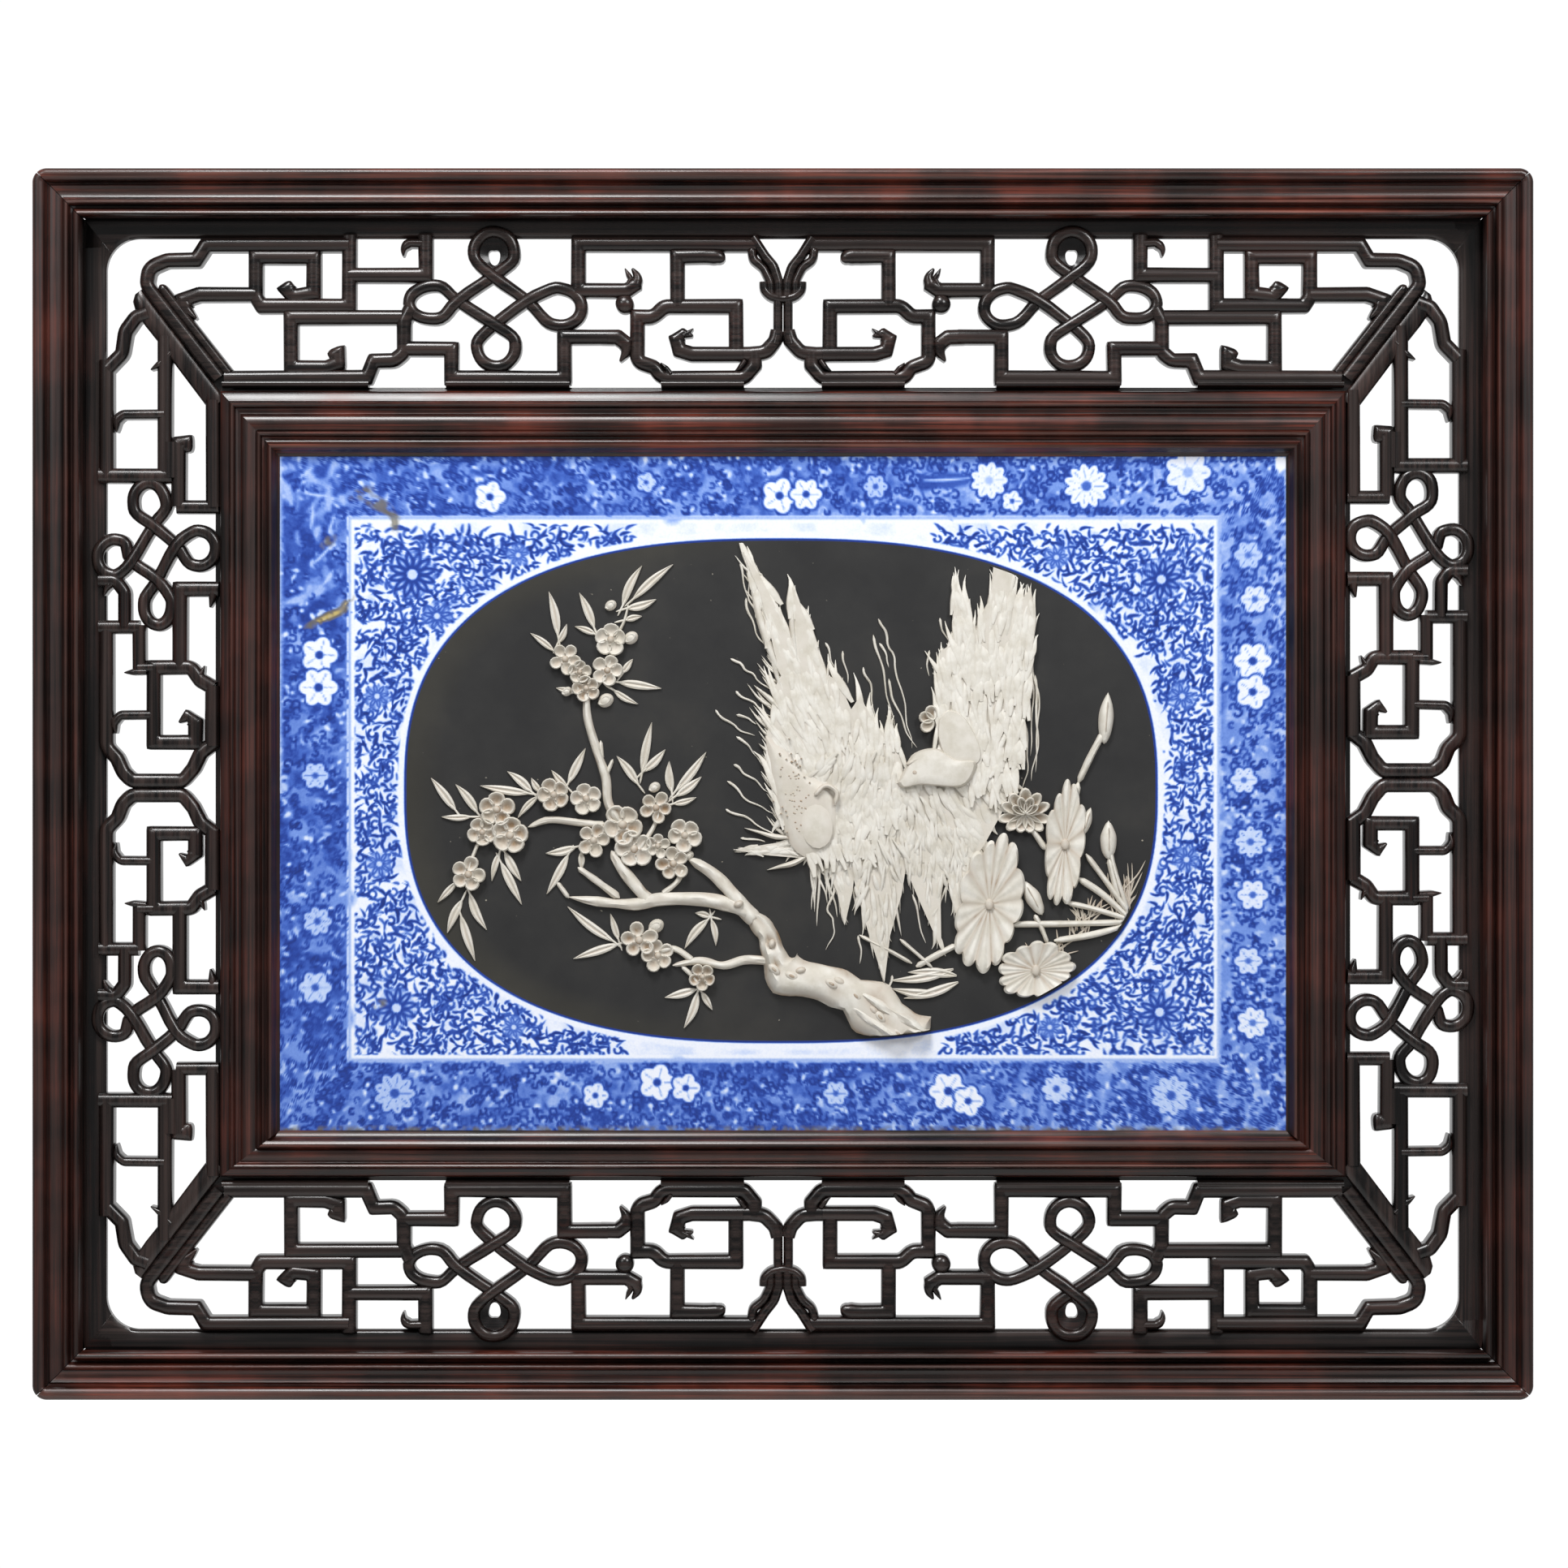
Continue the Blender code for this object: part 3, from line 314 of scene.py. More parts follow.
# Paler colour on the beads and the cove: partly wax worn off, partly painted sheen where the lamps catch
# them.
OUTER_WEAR_AND_SHEEN = np.zeros(len(OUTER_PROFILE))
OUTER_WEAR_AND_SHEEN[[3, 4, 5, 6]] = (0.5, 1.0, 0.9, 0.4)
OUTER_WEAR_AND_SHEEN[[12, 13, 14]] = 0.35
OUTER_WEAR_AND_SHEEN[[17, 18, 19, 20]] = (0.4, 0.9, 1.0, 0.6)
OUTER_WEAR_AND_SHEEN[[28, 29, 30, 31]] = (0.5, 0.9, 1.0, 0.8)


def to_side(side, along, across):
    """Turns a stick's own directions, along it and outwards across it, to its side of the frame."""
    return {"top": (along, across), "bottom": (-along, -across),
            "right": (across, -along), "left": (-across, along)}[side]


def outer_stick(side, material):
    """A profile carried along a stick, then round the soft corner to the mitre.

    Round the corner a line that is deeper in than the radius meets the mitre at its own sharp corner."""
    long_side = side in ("top", "bottom")
    half_run, half_reach = (HALF_WIDTH, HALF_HEIGHT) if long_side else (HALF_HEIGHT, HALF_WIDTH)
    inset, out = OUTER_PROFILE.T
    steps = np.arange(CORNER_STEPS + 1)
    angle = np.radians(45 + 45 * steps / CORNER_STEPS)[:, None]
    spare = CORNER_ROUND - inset[None, :]
    along = np.where(spare > 0, spare * np.cos(angle), spare - CORNER_ROUND * (1 - 1 / np.tan(angle)))
    across = np.where(spare > 0, spare * np.sin(angle), spare)
    along = half_run - CORNER_ROUND + along - FIT_GAP / sqrt(2) * (steps == 0)[:, None]
    across = half_reach - CORNER_ROUND + across
    along = np.concatenate([-along, along[::-1]])
    across = np.concatenate([across, across[::-1]])
    x, z = to_side(side, along, across)
    shell = Shell()
    shell.add(place(x, z, out[None, :]), OUTER_WEAR_AND_SHEEN[None, :])
    make_piece("outer_stick_" + side, shell, material, "outer_rail_" + side)


for side in ("top", "bottom", "left", "right"):
    outer_stick(side, rail_x_lit if side in ("top", "bottom") else rail_z_shaded)

# %% [markdown]
# The inner frame holds the plaque. Its sticks are of three widths, so the mitres don't run at 45
# degrees: each line of the profile is drawn from corner to corner as a share of the stick's width.
# The lip at its inner edge stands proud and slopes in to the glaze, and a rebate behind it takes the
# plaque and its back board.

# %% The inner sticks
WIDE_PROFILE = [(0, 2), (0, 14.6), (0.015, 15.7), (0.04, 16.3), (0.14, 16.7), (0.165, 17.4), (0.175, 19.3),
    (0.19, 20.5), (0.215, 21.1), (0.24, 20.7), (0.255, 19.7), (0.275, 18.6), (0.31, 18.2), (0.355, 18.6),
    (0.375, 19.6), (0.42, 20.4), (0.5, 20.7), (0.58, 20.4), (0.615, 19.7), (0.625, 20.7), (0.64, 21.5),
    (0.66, 21.9), (0.68, 21.5), (0.695, 20.6), (0.71, 19.6), (0.745, 19.2), (0.78, 19.7), (0.795, 21.4),
    (0.815, 23.2), (0.845, 24.0), (0.875, 23.9), (0.905, 22.8), (0.935, 21.2), (0.97, 20.1), (1.0, 19.7)]
# The pale marks of the inner sticks, on bead tops and flats: partly wear, partly painted sheen.
WIDE_WEAR_AND_SHEEN = {7: 0.5, 8: 1.0, 9: 0.5, 15: 0.3, 16: 0.45, 17: 0.3, 20: 0.6, 21: 1.0, 22: 0.6, 28: 0.5, 29: 1.0,
    30: 0.8}
NARROW_PROFILE = [(0, 2), (0, 14.6), (0.015, 15.7), (0.05, 16.4), (0.16, 17.0), (0.19, 17.8), (0.205, 19.8),
    (0.225, 21.0), (0.255, 21.5), (0.285, 21.1), (0.305, 20.0), (0.33, 19.6), (0.4, 20.4), (0.48, 20.8),
    (0.56, 20.5), (0.61, 19.7), (0.63, 20.6), (0.65, 22.6), (0.68, 23.8), (0.73, 24.0), (0.78, 23.4), (0.82,
    22.0), (0.87, 20.8), (0.93, 20.1), (1.0, 19.7)]
NARROW_WEAR_AND_SHEEN = {7: 0.5, 8: 1.0, 9: 0.6, 12: 0.3, 13: 0.5, 14: 0.3, 17: 0.5, 18: 0.9, 19: 1.0, 20: 0.7}
REBATE_LAP = 4.0 * MM
MITRE_GAP = 0.01 * MM


def inner_stick(side, profile, worn, material):
    """A profile drawn between two mitred corners: outer corner + share * (window corner - outer corner)."""
    window = {1: WINDOW_TOP, -1: WINDOW_BOTTOM}
    ends = {"top": ((-1, 1), (1, 1)), "bottom": ((-1, -1), (1, -1)), "right": ((1, -1), (1, 1)),
            "left": ((-1, -1), (-1, 1))}[side]
    width = {"top": INNER_Z - WINDOW_TOP, "bottom": INNER_Z + WINDOW_BOTTOM}.get(side, INNER_X - WINDOW_X)
    back = 1 - REBATE_LAP / width
    share, out = np.array(profile + [(1.0, 19.5), (back, 19.5), (back, 2.0)]).T
    wear_and_sheen = np.zeros(len(share))
    wear_and_sheen[list(worn)] = list(worn.values())
    rows = []
    for (sx, sz), pull in zip(ends, (MITRE_GAP, -MITRE_GAP)):
        x = sx * (INNER_X + share * (WINDOW_X - INNER_X))
        z = sz * INNER_Z + share * (window[sz] - sz * INNER_Z)
        lengthwise = side in ("top", "bottom")
        rows.append(place(x + pull * lengthwise, z + pull * (not lengthwise), out * MM))
    shell = Shell()
    shell.add(np.stack(rows), wear_and_sheen[None, :])
    make_piece("inner_stick_" + side, shell, material, "inner_rail_" + side)


inner_stick("top", WIDE_PROFILE, WIDE_WEAR_AND_SHEEN, rail_x_lit)
inner_stick("bottom", NARROW_PROFILE, NARROW_WEAR_AND_SHEEN, rail_x_lit)
inner_stick("left", WIDE_PROFILE, WIDE_WEAR_AND_SHEEN, rail_z_shaded)
inner_stick("right", WIDE_PROFILE, WIDE_WEAR_AND_SHEEN, rail_z_shaded)

# %% [markdown]
# The openwork is sawn out of thin boards and then carved, so each bar has straight sides from the
# sawing and a rounded face from the gouge. A bar is a cross-section carried along a path: where the
# path turns sharply the two runs meet in a mitre, and where it curls it goes round an arc.

# %% Bends of a carved bar
SMOOTH_BEND = radians(55)
ARC_STEP = radians(14)
BEND_RADIUS = 6.0


def unit(v):
    """The same direction at length one."""
    return v / np.linalg.norm(v)


def side_of(run):
    """The direction to the left of a run: (-z, x)."""
    return np.array([-run[1], run[0]])


def fillet(p, a, b, radius, turn):
    """Arc stations where runs a and b meet at p, tangent to both: centre p - a * t + left * radius."""
    sign = 1 if turn > 0 else -1
    start = p - a * radius * tan(abs(turn) / 2)
    centre = start + side_of(a) * sign * radius
    angles = np.linspace(0, turn, max(2, int(abs(turn) / ARC_STEP) + 1) + 1)
    cos, sin = np.cos(angles), np.sin(angles)

    def swung(v):
        return np.stack([v[0] * cos - v[1] * sin, v[0] * sin + v[1] * cos], 1)

    return centre + swung(start - centre), swung(side_of(a))


def bar_rails(path, half):
    """The left edge, the middle and the right edge of a bar along a path of (x, z) or (x, z, radius).

    A small bend, or one with a radius, becomes an arc. Any other bend becomes a mitre whose outer corner
    is eased: (left, middle, right) there are the two mitre points, with a station on either side."""
    points = np.array([p[:2] for p in path], float)
    radii = [p[2] if len(p) > 2 else 0.0 for p in path]
    runs = [unit(b - a) for a, b in zip(points, points[1:])]
    lengths = [np.linalg.norm(b - a) for a, b in zip(points, points[1:])]
    left, mid, right = [], [], []

    def put(m, l, r):
        left.append(l)
        mid.append(m)
        right.append(r)

    def put_square(m, direction):
        put(m, m + direction * half, m - direction * half)

    put_square(points[0], side_of(runs[0]))
    for i in range(1, len(points) - 1):
        a, b, p = runs[i - 1], runs[i], points[i]
        turn = atan2(a[0] * b[1] - a[1] * b[0], a @ b)
        if abs(turn) < 1e-3:
            continue
        room = 0.48 * min(lengths[i - 1], lengths[i]) / tan(abs(turn) / 2)
        soft = min(room, BEND_RADIUS) if abs(turn) < SMOOTH_BEND else 0.0
        radius = min(radii[i] if radii[i] else soft, room)
        if radius > half * 0.9:
            for m, n in zip(*fillet(p, a, b, radius, turn)):
                put_square(m, n)
            continue
        sign = 1 if turn > 0 else -1
        t = half * tan(abs(turn) / 2)
        slant = unit(side_of(a) + side_of(b)) * sign * half / cos(turn / 2)
        inner, outer = p + slant, p - slant * 0.93
        for m, i_point, o_point in ((p - a * 0.5 * half, inner - a * 0.25 * half,
                p - side_of(a) * sign * half + a * 0.45 * t), (p, inner, outer), (p + b * 0.5 * half,
                inner + b * 0.25 * half, p - side_of(b) * sign * half - b * 0.45 * t)):
            put(m, i_point if sign > 0 else o_point, o_point if sign > 0 else i_point)
    put_square(points[-1], side_of(runs[-1]))
    return np.array(left), np.array(mid), np.array(right)


# %% Free tips and the face of a carved bar
CROWN_RISE = 3.0 * MM
CROWN_SHARES = np.array([-1.0, -0.96, -0.84, -0.62, -0.32, 0.0, 0.32, 0.62, 0.84, 0.96, 1.0])


def refine(rails, step, reach):
    """Adds stations no more than a step apart within reach of the bar's last end."""
    mid = rails[1]
    at = np.concatenate([[0], np.cumsum(np.linalg.norm(np.diff(mid, axis=0), axis=1))])
    extra = at[-1] - np.arange(step, min(reach, at[-1] * 0.9), step)
    fine_end = at[-1] - step * np.array([0.04, 0.15, 0.35, 0.6])
    wanted = np.unique(np.concatenate([at, extra, fine_end[fine_end > at[-2] + 0.02]]))
    wanted = wanted[np.concatenate([[True], np.diff(wanted) > 0.015])]
    blend = [np.stack([np.interp(wanted, at, edge[:, k]) for k in (0, 1)], 1) for edge in rails]
    return blend, at[-1] - wanted


def tip_widths(kind, from_end, half):
    """How a bar narrows towards its free end, and how its face drops there, as shares."""
    if kind == "round":
        share = clamp(from_end / half)
        width = np.sqrt(np.clip(1 - (1 - share) ** 2, 0.02, 1))
        return width, 0.35 + 0.65 * width
    if kind == "point":
        share = clamp(from_end / (half * 2.6))
        return 0.16 + 0.84 * share ** 0.8, 0.5 + 0.5 * share ** 0.5
    if kind == "bulb":
        share = clamp(from_end / (half * 2.2))
        width = np.where(share < 1, np.sqrt(np.clip(1 - (1 - share) ** 2, 0.03, 1)) * (1.3 - 0.3 * share), 1)
        return width, 0.4 + 0.6 * clamp(width)
    return np.ones_like(from_end), np.ones_like(from_end)


def boarded(flat, out, crown):
    """Closes a carved face down to the back of its board; the pale mark, wear and painted sheen, grows with
    the crown.
    """
    flat = np.concatenate([flat, flat[:, -1:], flat[:, :1]], axis=1)
    out = np.concatenate([out, np.full((len(out), 2), PANEL_BACK)], axis=1)
    wear_and_sheen = np.concatenate([clamp(1.15 * crown - 0.25), [0, 0]])
    return flat, out, np.broadcast_to(wear_and_sheen, out.shape)


def bar_grid(path, width, tip="butt", lift=0.0, rise=CROWN_RISE):
    """A bar in drawing millimetres: its face stands lift - rise * (1 - sqrt(1 - |s| ^ 2.3)) off the crown."""
    half = width / 2
    rails = bar_rails(path, half)
    if tip == "butt":
        left, mid, right = rails
        from_end = np.full(len(mid), 99.0)
    else:
        (left, mid, right), from_end = refine(rails, half * 0.35, half * 3.2)
    narrow, drop = tip_widths(tip, from_end, half)
    s = CROWN_SHARES[None, :, None]
    aside = np.where(s < 0, (right - mid)[:, None] * -s, (left - mid)[:, None] * s)
    crown = np.sqrt(clamp(1 - np.abs(CROWN_SHARES) ** 2.3))
    out = CROWN_TOP + lift - rise * (1 - crown[None, :] * drop[:, None])
    return boarded(mid[:, None] + aside * narrow[:, None, None], out, crown)


print("a bar has", len(CROWN_SHARES) + 2, "points round it")
# %% [markdown]
# The carver's drawing covers half of a long panel, from its middle outwards, and half of a side panel,
# from its middle upwards; the other halves are mirrored. Numbers are millimetres: across from the
# middle and up from the inner frame for the long one, out from the inner frame and up from the middle
# for the side one. A third number rounds that corner. Bars end butted into a neighbour, or free in a
# rounded tip, a bulb or a thorn.

# %% The drawing of the long panels
BAR = 6.8
LIGHT_BAR = 6.1
CORD = 5.7
LONG_BARS = [
    ("ribbon end", 4.6, "butt", [(1.9, 40.5), (1.9, 48), (4.2, 55), (8.0, 59.6, 5), (13.5, 68)]),
    ("ribbon fold", 4.2, "round", [(5.6, 42), (5.6, 48), (8.8, 54.6), (13.4, 58.2, 4), (14.4, 64)]),
    ("half stem", 4.4, "butt", [(2.3, 43), (2.3, 24), (3.4, 20.0)]),
    ("tongue root", BAR, "butt", [(2.2, 26), (3.4, 21.5), (8.2, 16.2), (15, 15.6), (24, 15.6)]),
    ("tongue", BAR, "point", [(18, 15.4), (41, 15.6), (46.6, 17.2, 3), (48.0, 22.6, 3), (44.4, 25.0, 3),
        (40.6, 23.6)]),
    ("tongue thorn", 2.4, "point", [(45.2, 23.8), (42.4, 25.2), (40.2, 27.0)]),
    ("key foot", BAR, "butt", [(13.0, 16.5), (12.8, 10.5, 3), (17.6, 4.8, 4), (54.5, 4.8), (58.0, 9.6, 4),
        (65.7, 12.2, 4), (65.7, 32.5, 2.6), (58.2, 32.5), (53.4, 37.2), (21.2, 37.2), (21.2, 15.8)]),
    ("foot thorn", 2.8, "point", [(17.0, 12.6), (19.2, 9.4), (22.0, 7.6)]),
    ("step thorn", 2.4, "point", [(50.5, 6.6), (52.4, 9.0), (55.0, 11.6)]),
    ("key post", BAR, "bulb", [(47.7, 37.2), (47.7, 59.8), (29.5, 59.8), (26.4, 57.6)]),
    ("upper hook", BAR, "point", [(12, 65.2), (92.4, 65.2), (92.4, 44.4), (70.5, 44.4, 3), (66.2, 47.2, 3),
        (65.6, 50.6), (68.0, 54.0)]),
    ("hook prong", 2.6, "point", [(70.5, 45.6), (68.6, 49.4), (71.2, 54.2)]),
    ("stepped foot", BAR, "butt", [(79, 23.3), (98.6, 23.3), (98.6, 4.8), (149.6, 4.8), (149.6, 17.9), (171,
        17.9)]),
    ("stepped hook", BAR, "point", [(82, 23.3), (74.6, 23.2, 3), (70.8, 20.2, 2.6), (70.6, 16.2), (73.4,
        12.2)]),
    ("hanging key", BAR, "butt", [(161.3, 69), (161.3, 51.3, 2.7), (196, 51.3)]),
    ("hanging leaf", 4.2, "point", [(160.5, 65.5), (168.6, 65.8, 3), (171.6, 63.4), (171.4, 59.6)]),
    ("low step", BAR, "butt", [(168.0, 36), (171.0, 30.5, 5), (171.0, 16.4, 4), (175.6, 12.6, 4), (184.6,
        12.6), (187.8, 5.0, 3), (252, 4.8)]),
    ("low step thorn", 2.4, "point", [(184.2, 13.4), (186.6, 12.0), (188.6, 8.4)]),
    ("low key", BAR, "bulb", [(171, 32.2), (222, 32.2), (222, 9.4), (206.2, 9.6, 3), (200.9, 11.4, 3),
        (201.0, 16.0, 2.4), (205.4, 15.4)]),
    ("square spiral", BAR, "bulb", [(195.8, 69), (195.8, 37.4, 2.7), (235.5, 37.4), (238, 41.5, 3), (238,
        59.5), (211.8, 59.5), (211.8, 43.0, 2.7), (221.0, 41.8, 3), (224.4, 45.4, 2.4), (221.8, 48.2)]),
    ("shoulder", BAR, "butt", [(195.8, 65.0, 2.7), (260.4, 65.0, 3), (264.6, 58.0, 3), (278.0, 57.8, 6),
        (286.0, 54.6, 6), (287.2, 46.6, 6), (254.4, 4.6)]),
    ("upper strand", 4.6, "round", [(250.0, 7.0), (281.0, 46.6)]),
    ("shoulder tongue", BAR, "point", [(238, 42.5), (263.6, 42.5, 3), (270.6, 40.2, 3), (269.4, 36.0),
        (264.6, 31.6)]),
    ("key sole", 3.6, "butt", [(17.5, 2), (55, 2)]),
    ("stepped sole", 3.6, "butt", [(96.2, 2), (152.0, 2)]),
    ("low sole", 3.6, "butt", [(187, 2), (253, 2)]),
]
LONG_BULBS = [(71.4, 38.1, 4.3)]
LONG_KNOT = [
    ((146.8, 39.7), (158.5, 39.0), (9.9, 6.9)),
    ((130.3, 29.0), (129.4, 18.6), (8.1, 7.9)),
    ((115.6, 39.7), (100.8, 36.9), (8.9, 6.8)),
    ((131.0, 50.8), (130.4, 61.8), (8.6, 8.6)),
]
LOOP_DISC = ((130.4, 61.0), 7.6, 7.6, (130.3, 60.4), 2.7, 3.4)
COLLAR = [(-8.6, 48.0), (-8.6, 44.5), (-5.6, 41.4), (0, 40.2), (5.6, 41.4), (8.6, 44.5), (8.6, 48.0)]

# %% The drawing of the side panels
SIDE_BARS = [
    ("cusp", BAR, "butt", [(31, 214.5), (36.2, 212.6, 4), (41.0, 206, 6), (42.6, 196.0, 4), (49.0, 189.4)]),
    ("outer edge", BAR, "butt", [(49.6, 193), (49.6, 140)]),
    ("long post", BAR, "butt", [(23.3, 204), (23.3, 139.5)]),
    ("leaf", 3.4, "point", [(20.5, 196.5), (25.5, 191.5), (29.6, 188.8)]),
    ("upper bar", 4.4, "point", [(23.3, 168.8), (41.8, 168.6, 2.6), (44.8, 166.4), (45.0, 160.6)]),
    ("middle bar", BAR, "butt", [(20, 141), (53, 141)]),
    ("short post", BAR, "bulb", [(17, 127), (17, 155.4), (13.4, 155.8, 2.4), (12.0, 151.6)]),
    ("lower bar", LIGHT_BAR, "butt", [(18, 126.8), (-1, 126.8)]),
    ("post web", BAR, "butt", [(20.6, 156), (20.6, 140)]),
    ("inner edge", BAR, "butt", [(1.5, 175), (1.5, 126.8)]),
    ("under hook", BAR, "butt", [(-1, 89.8), (16.5, 89.8, 2.6), (16.5, 54.5)]),
    ("under thorn", 4.6, "point", [(1.8, 90), (1.8, 86.4), (2.8, 81.6)]),
    ("arch", LIGHT_BAR, "butt", [(41.4, 72.7), (41.4, 88.4, 3), (45.2, 93.6, 4), (53, 93.6)]),
    ("arch thorn", 3.8, "point", [(47.2, 92.6), (49.4, 90.4), (50.6, 86.6)]),
    ("arch foot", LIGHT_BAR, "butt", [(34.9, 72.7, 2.4), (53, 72.7)]),
    ("inner post", LIGHT_BAR, "butt", [(34.9, 73.5), (34.9, 53.0)]),
    ("post foot", 3.0, "point", [(31.5, 52.6), (36.0, 52.4), (41.4, 52.0)]),
    ("post heel", 3.0, "point", [(37.0, 52.6), (33.5, 52.4), (30.6, 52.8)]),
    ("spiral", BAR, "point", [(1.5, 45.2), (7.6, 48.8, 4), (11.4, 54.4, 4), (28.3, 54.4), (28.3, 20.6), (9.6,
        20.6), (9.6, 29.6, 3), (13.6, 32.8, 3), (16.8, 29.6)]),
    ("spiral thorn", 3.0, "point", [(8.0, 50.2), (6.4, 52.2), (5.2, 55.2)]),
    ("bridge", 4.6, "butt", [(28.3, 54.4), (35.4, 54.4)]),
    ("inner edge below", BAR, "butt", [(1.8, 46), (1.8, 19)]),
    ("low bar", 4.4, "point", [(28.3, 33), (43.2, 32.8, 2.6), (46.0, 29.8), (45.2, 24.6)]),
    ("waist", BAR, "butt", [(49.8, 73), (49.8, 18.5), (44.8, 13.6, 5), (42.2, 7.0, 5), (38.2, 3.2, 5), (15.2,
        3.2, 5), (10.4, 9.0, 5), (7.0, 16.0, 5), (0.6, 20.8)]),
]
SIDE_KNOT = [
    ((38.3, 102.3), (46.4, 104.2), (5.9, 6.9)),
    ((26.7, 94.2), (26.5, 82.0), (6.2, 8.3)),
    ((18.2, 109.7), (8.0, 108.2), (6.9, 6.9)),
    ((28.7, 118.6), (30.2, 129.0), (6.3, 7.9)),
]

# %% [markdown]
# The knot is one endless cord with four loops. A smooth curve through its crossings and round its
# loops gives the path, and each loop's two ends cross with one over the other, all the way round.

# %% The endless knot
KNOT_SWEEP = radians(244)
LOOP_STEPS = 9
KNOT_RISE = 1.5 * MM


def smooth_path(points, steps, closed=False):
    """A curve through points: cubic spans whose ends slope along the neighbours' chord. An open path's ends
    are carried on by one more step."""
    p = np.array(points, float)
    p = np.concatenate([p[-1:], p, p[:2]] if closed else [2 * p[:1] - p[1:2], p, 2 * p[-1:] - p[-2:-1]])
    t = (np.arange(steps) / steps)[None, :, None]
    p0, p1, p2, p3 = (p[k:len(p) - 3 + k, None] for k in range(4))
    curve = 0.5 * (2 * p1 + (p2 - p0) * t + (2 * p0 - 5 * p1 + 4 * p2 - p3) * t ** 2
                   + (3 * p1 - p0 - 3 * p2 + p3) * t ** 3).reshape(-1, p.shape[1])
    return curve if closed else np.concatenate([curve, p[-2:-1]])


def knot_grid(lobes, width):
    """The cord of a knot: rows along it (x, z, out), over at the start of a loop and under at its end."""
    corners = []
    for crossing, loop, half in lobes:
        crossing, loop = np.array(crossing, float), np.array(loop, float)
        axis = unit(loop - crossing)
        away = np.array([axis[1], -axis[0]])
        reach = abs(axis[0]) * half[0] + abs(axis[1]) * half[1]
        spread = abs(axis[1]) * half[0] + abs(axis[0]) * half[1]
        angle = KNOT_SWEEP * (np.arange(LOOP_STEPS) / (LOOP_STEPS - 1) - 0.5)
        ring = loop + np.outer(np.cos(angle), axis) * reach - np.outer(np.sin(angle), away) * spread
        level = np.linspace(0.7, -0.7, LOOP_STEPS)
        corners.append(np.concatenate([[[*crossing, 1.0]], np.column_stack([ring, level]),
                                       [[*crossing, -1.0]]]))
    path = smooth_path(np.concatenate(corners), 3, closed=True)
    run = np.roll(path[:, :2], -1, axis=0) - np.roll(path[:, :2], 1, axis=0)
    run /= np.linalg.norm(run, axis=1, keepdims=True)
    left = np.stack([-run[:, 1], run[:, 0]], 1) * width / 2
    flat = path[:, None, :2] + left[:, None] * CROWN_SHARES[None, :, None]
    crown = np.sqrt(clamp(1 - np.abs(CROWN_SHARES) ** 2.2))
    out = CROWN_TOP - 0.2 * MM + (path[:, 2:3] - 1) * KNOT_RISE * 0.5 - 2.6 * MM * (1 - crown[None, :])
    return boarded(flat, out, crown)


def dome_grid(centre, radius):
    """A round boss: rings from its back edge up a straight side and over a low dome, each (x, z, out)."""
    around = around_ring(24)
    lean = np.radians([0, 0, 18, 36, 54, 72, 86])
    ring = radius * np.cos(lean)
    out = CROWN_TOP + 0.4 * MM - 3.2 * MM * (1 - np.sin(lean))
    out[0] = PANEL_BACK
    flat = np.stack([centre[0] + np.outer(ring, np.cos(around)), centre[1] + np.outer(ring, np.sin(around))],
                    -1)
    out = np.broadcast_to(out[:, None], flat.shape[:2])
    return flat, out, np.sin(lean)[:, None]


def disc_grid(outer, rx, rz, hole, hx, hz):
    """A sunk plate inside a loop with a drop-shaped hole, as a closed ring of four lines."""
    around = around_ring(40)
    drop = 1 + 0.35 * np.cos(around + pi / 2) ** 3
    lines = [(hole, hx * drop, hz * drop, PANEL_BACK), (hole, hx * drop, hz * drop, PANEL_BACK + 5 * MM),
             (outer, rx, rz, PANEL_BACK + 6.5 * MM), (outer, rx, rz, PANEL_BACK)]
    flat = np.stack([np.stack([c[0] + a * np.cos(around), c[1] + b * np.sin(around)], -1) for c, a, b,
                     _ in lines])
    out = np.stack([np.full(40, level) for *_, level in lines])
    return flat, out, 0.0


# %% [markdown]
# The drawing is laid on each panel. The boards stand a little behind the rails, so what the drawing
# measured on the front is spread slightly from the middle, to land where the eye sees it.
# A plain border, sunk below the carving, frames each opening and slides into the outer stick's groove.
# Along the corner seams runs a flat strip on the side panel, beside the two round strands of the long.

# %% Lay the drawing on a panel
SPREAD = 1.008
BORDER, SIDE_BORDER = 10.6, 12.6
SEAM = -0.45 * MM
BORDER_GAP = 0.03 * MM
BORDER_ROUND = 15.0
SEAM_X = SIGHT_X - 2.1 * MM
BED_GAP, BED_WIDTH = 0.4, 6.5
RIGHT_LIFT, LEFT_LIFT = 2.8, -1.8
WAVER = 0.1
NEAR_SEAM = ("shoulder", "upper strand", "low sole", "low step", "cusp", "inner edge")
wobble = np.random.default_rng(7)


def on_panel(side, flat):
    """Lays drawing points on a panel, (across, up) or (out, up), spread from the frame's middle."""
    a, b = flat[..., 0] * MM, flat[..., 1] * MM
    if side in ("top", "bottom"):
        x, z = a, (INNER_Z + b) * (1 if side == "top" else -1)
    else:
        x = (INNER_X + a) * (1 if side == "right" else -1)
        z = b + (RIGHT_LIFT if side == "right" else LEFT_LIFT) * MM
    return x * SPREAD, z * SPREAD


def hand(flat, amount):
    """Shifts a bar's points by a slow wave of the given height, as a hand-guided saw and gouge leave it."""
    phase = wobble.uniform(0, 6.28, 4)
    x, z = flat[..., 0], flat[..., 1]
    shift_x = np.sin(x * 0.21 + z * 0.33 + phase[0]) + 0.6 * np.sin(z * 0.71 + phase[1])
    shift_z = np.sin(z * 0.19 + x * 0.36 + phase[2]) + 0.6 * np.sin(x * 0.67 + phase[3])
    return flat + amount * np.stack([shift_x, shift_z], -1)


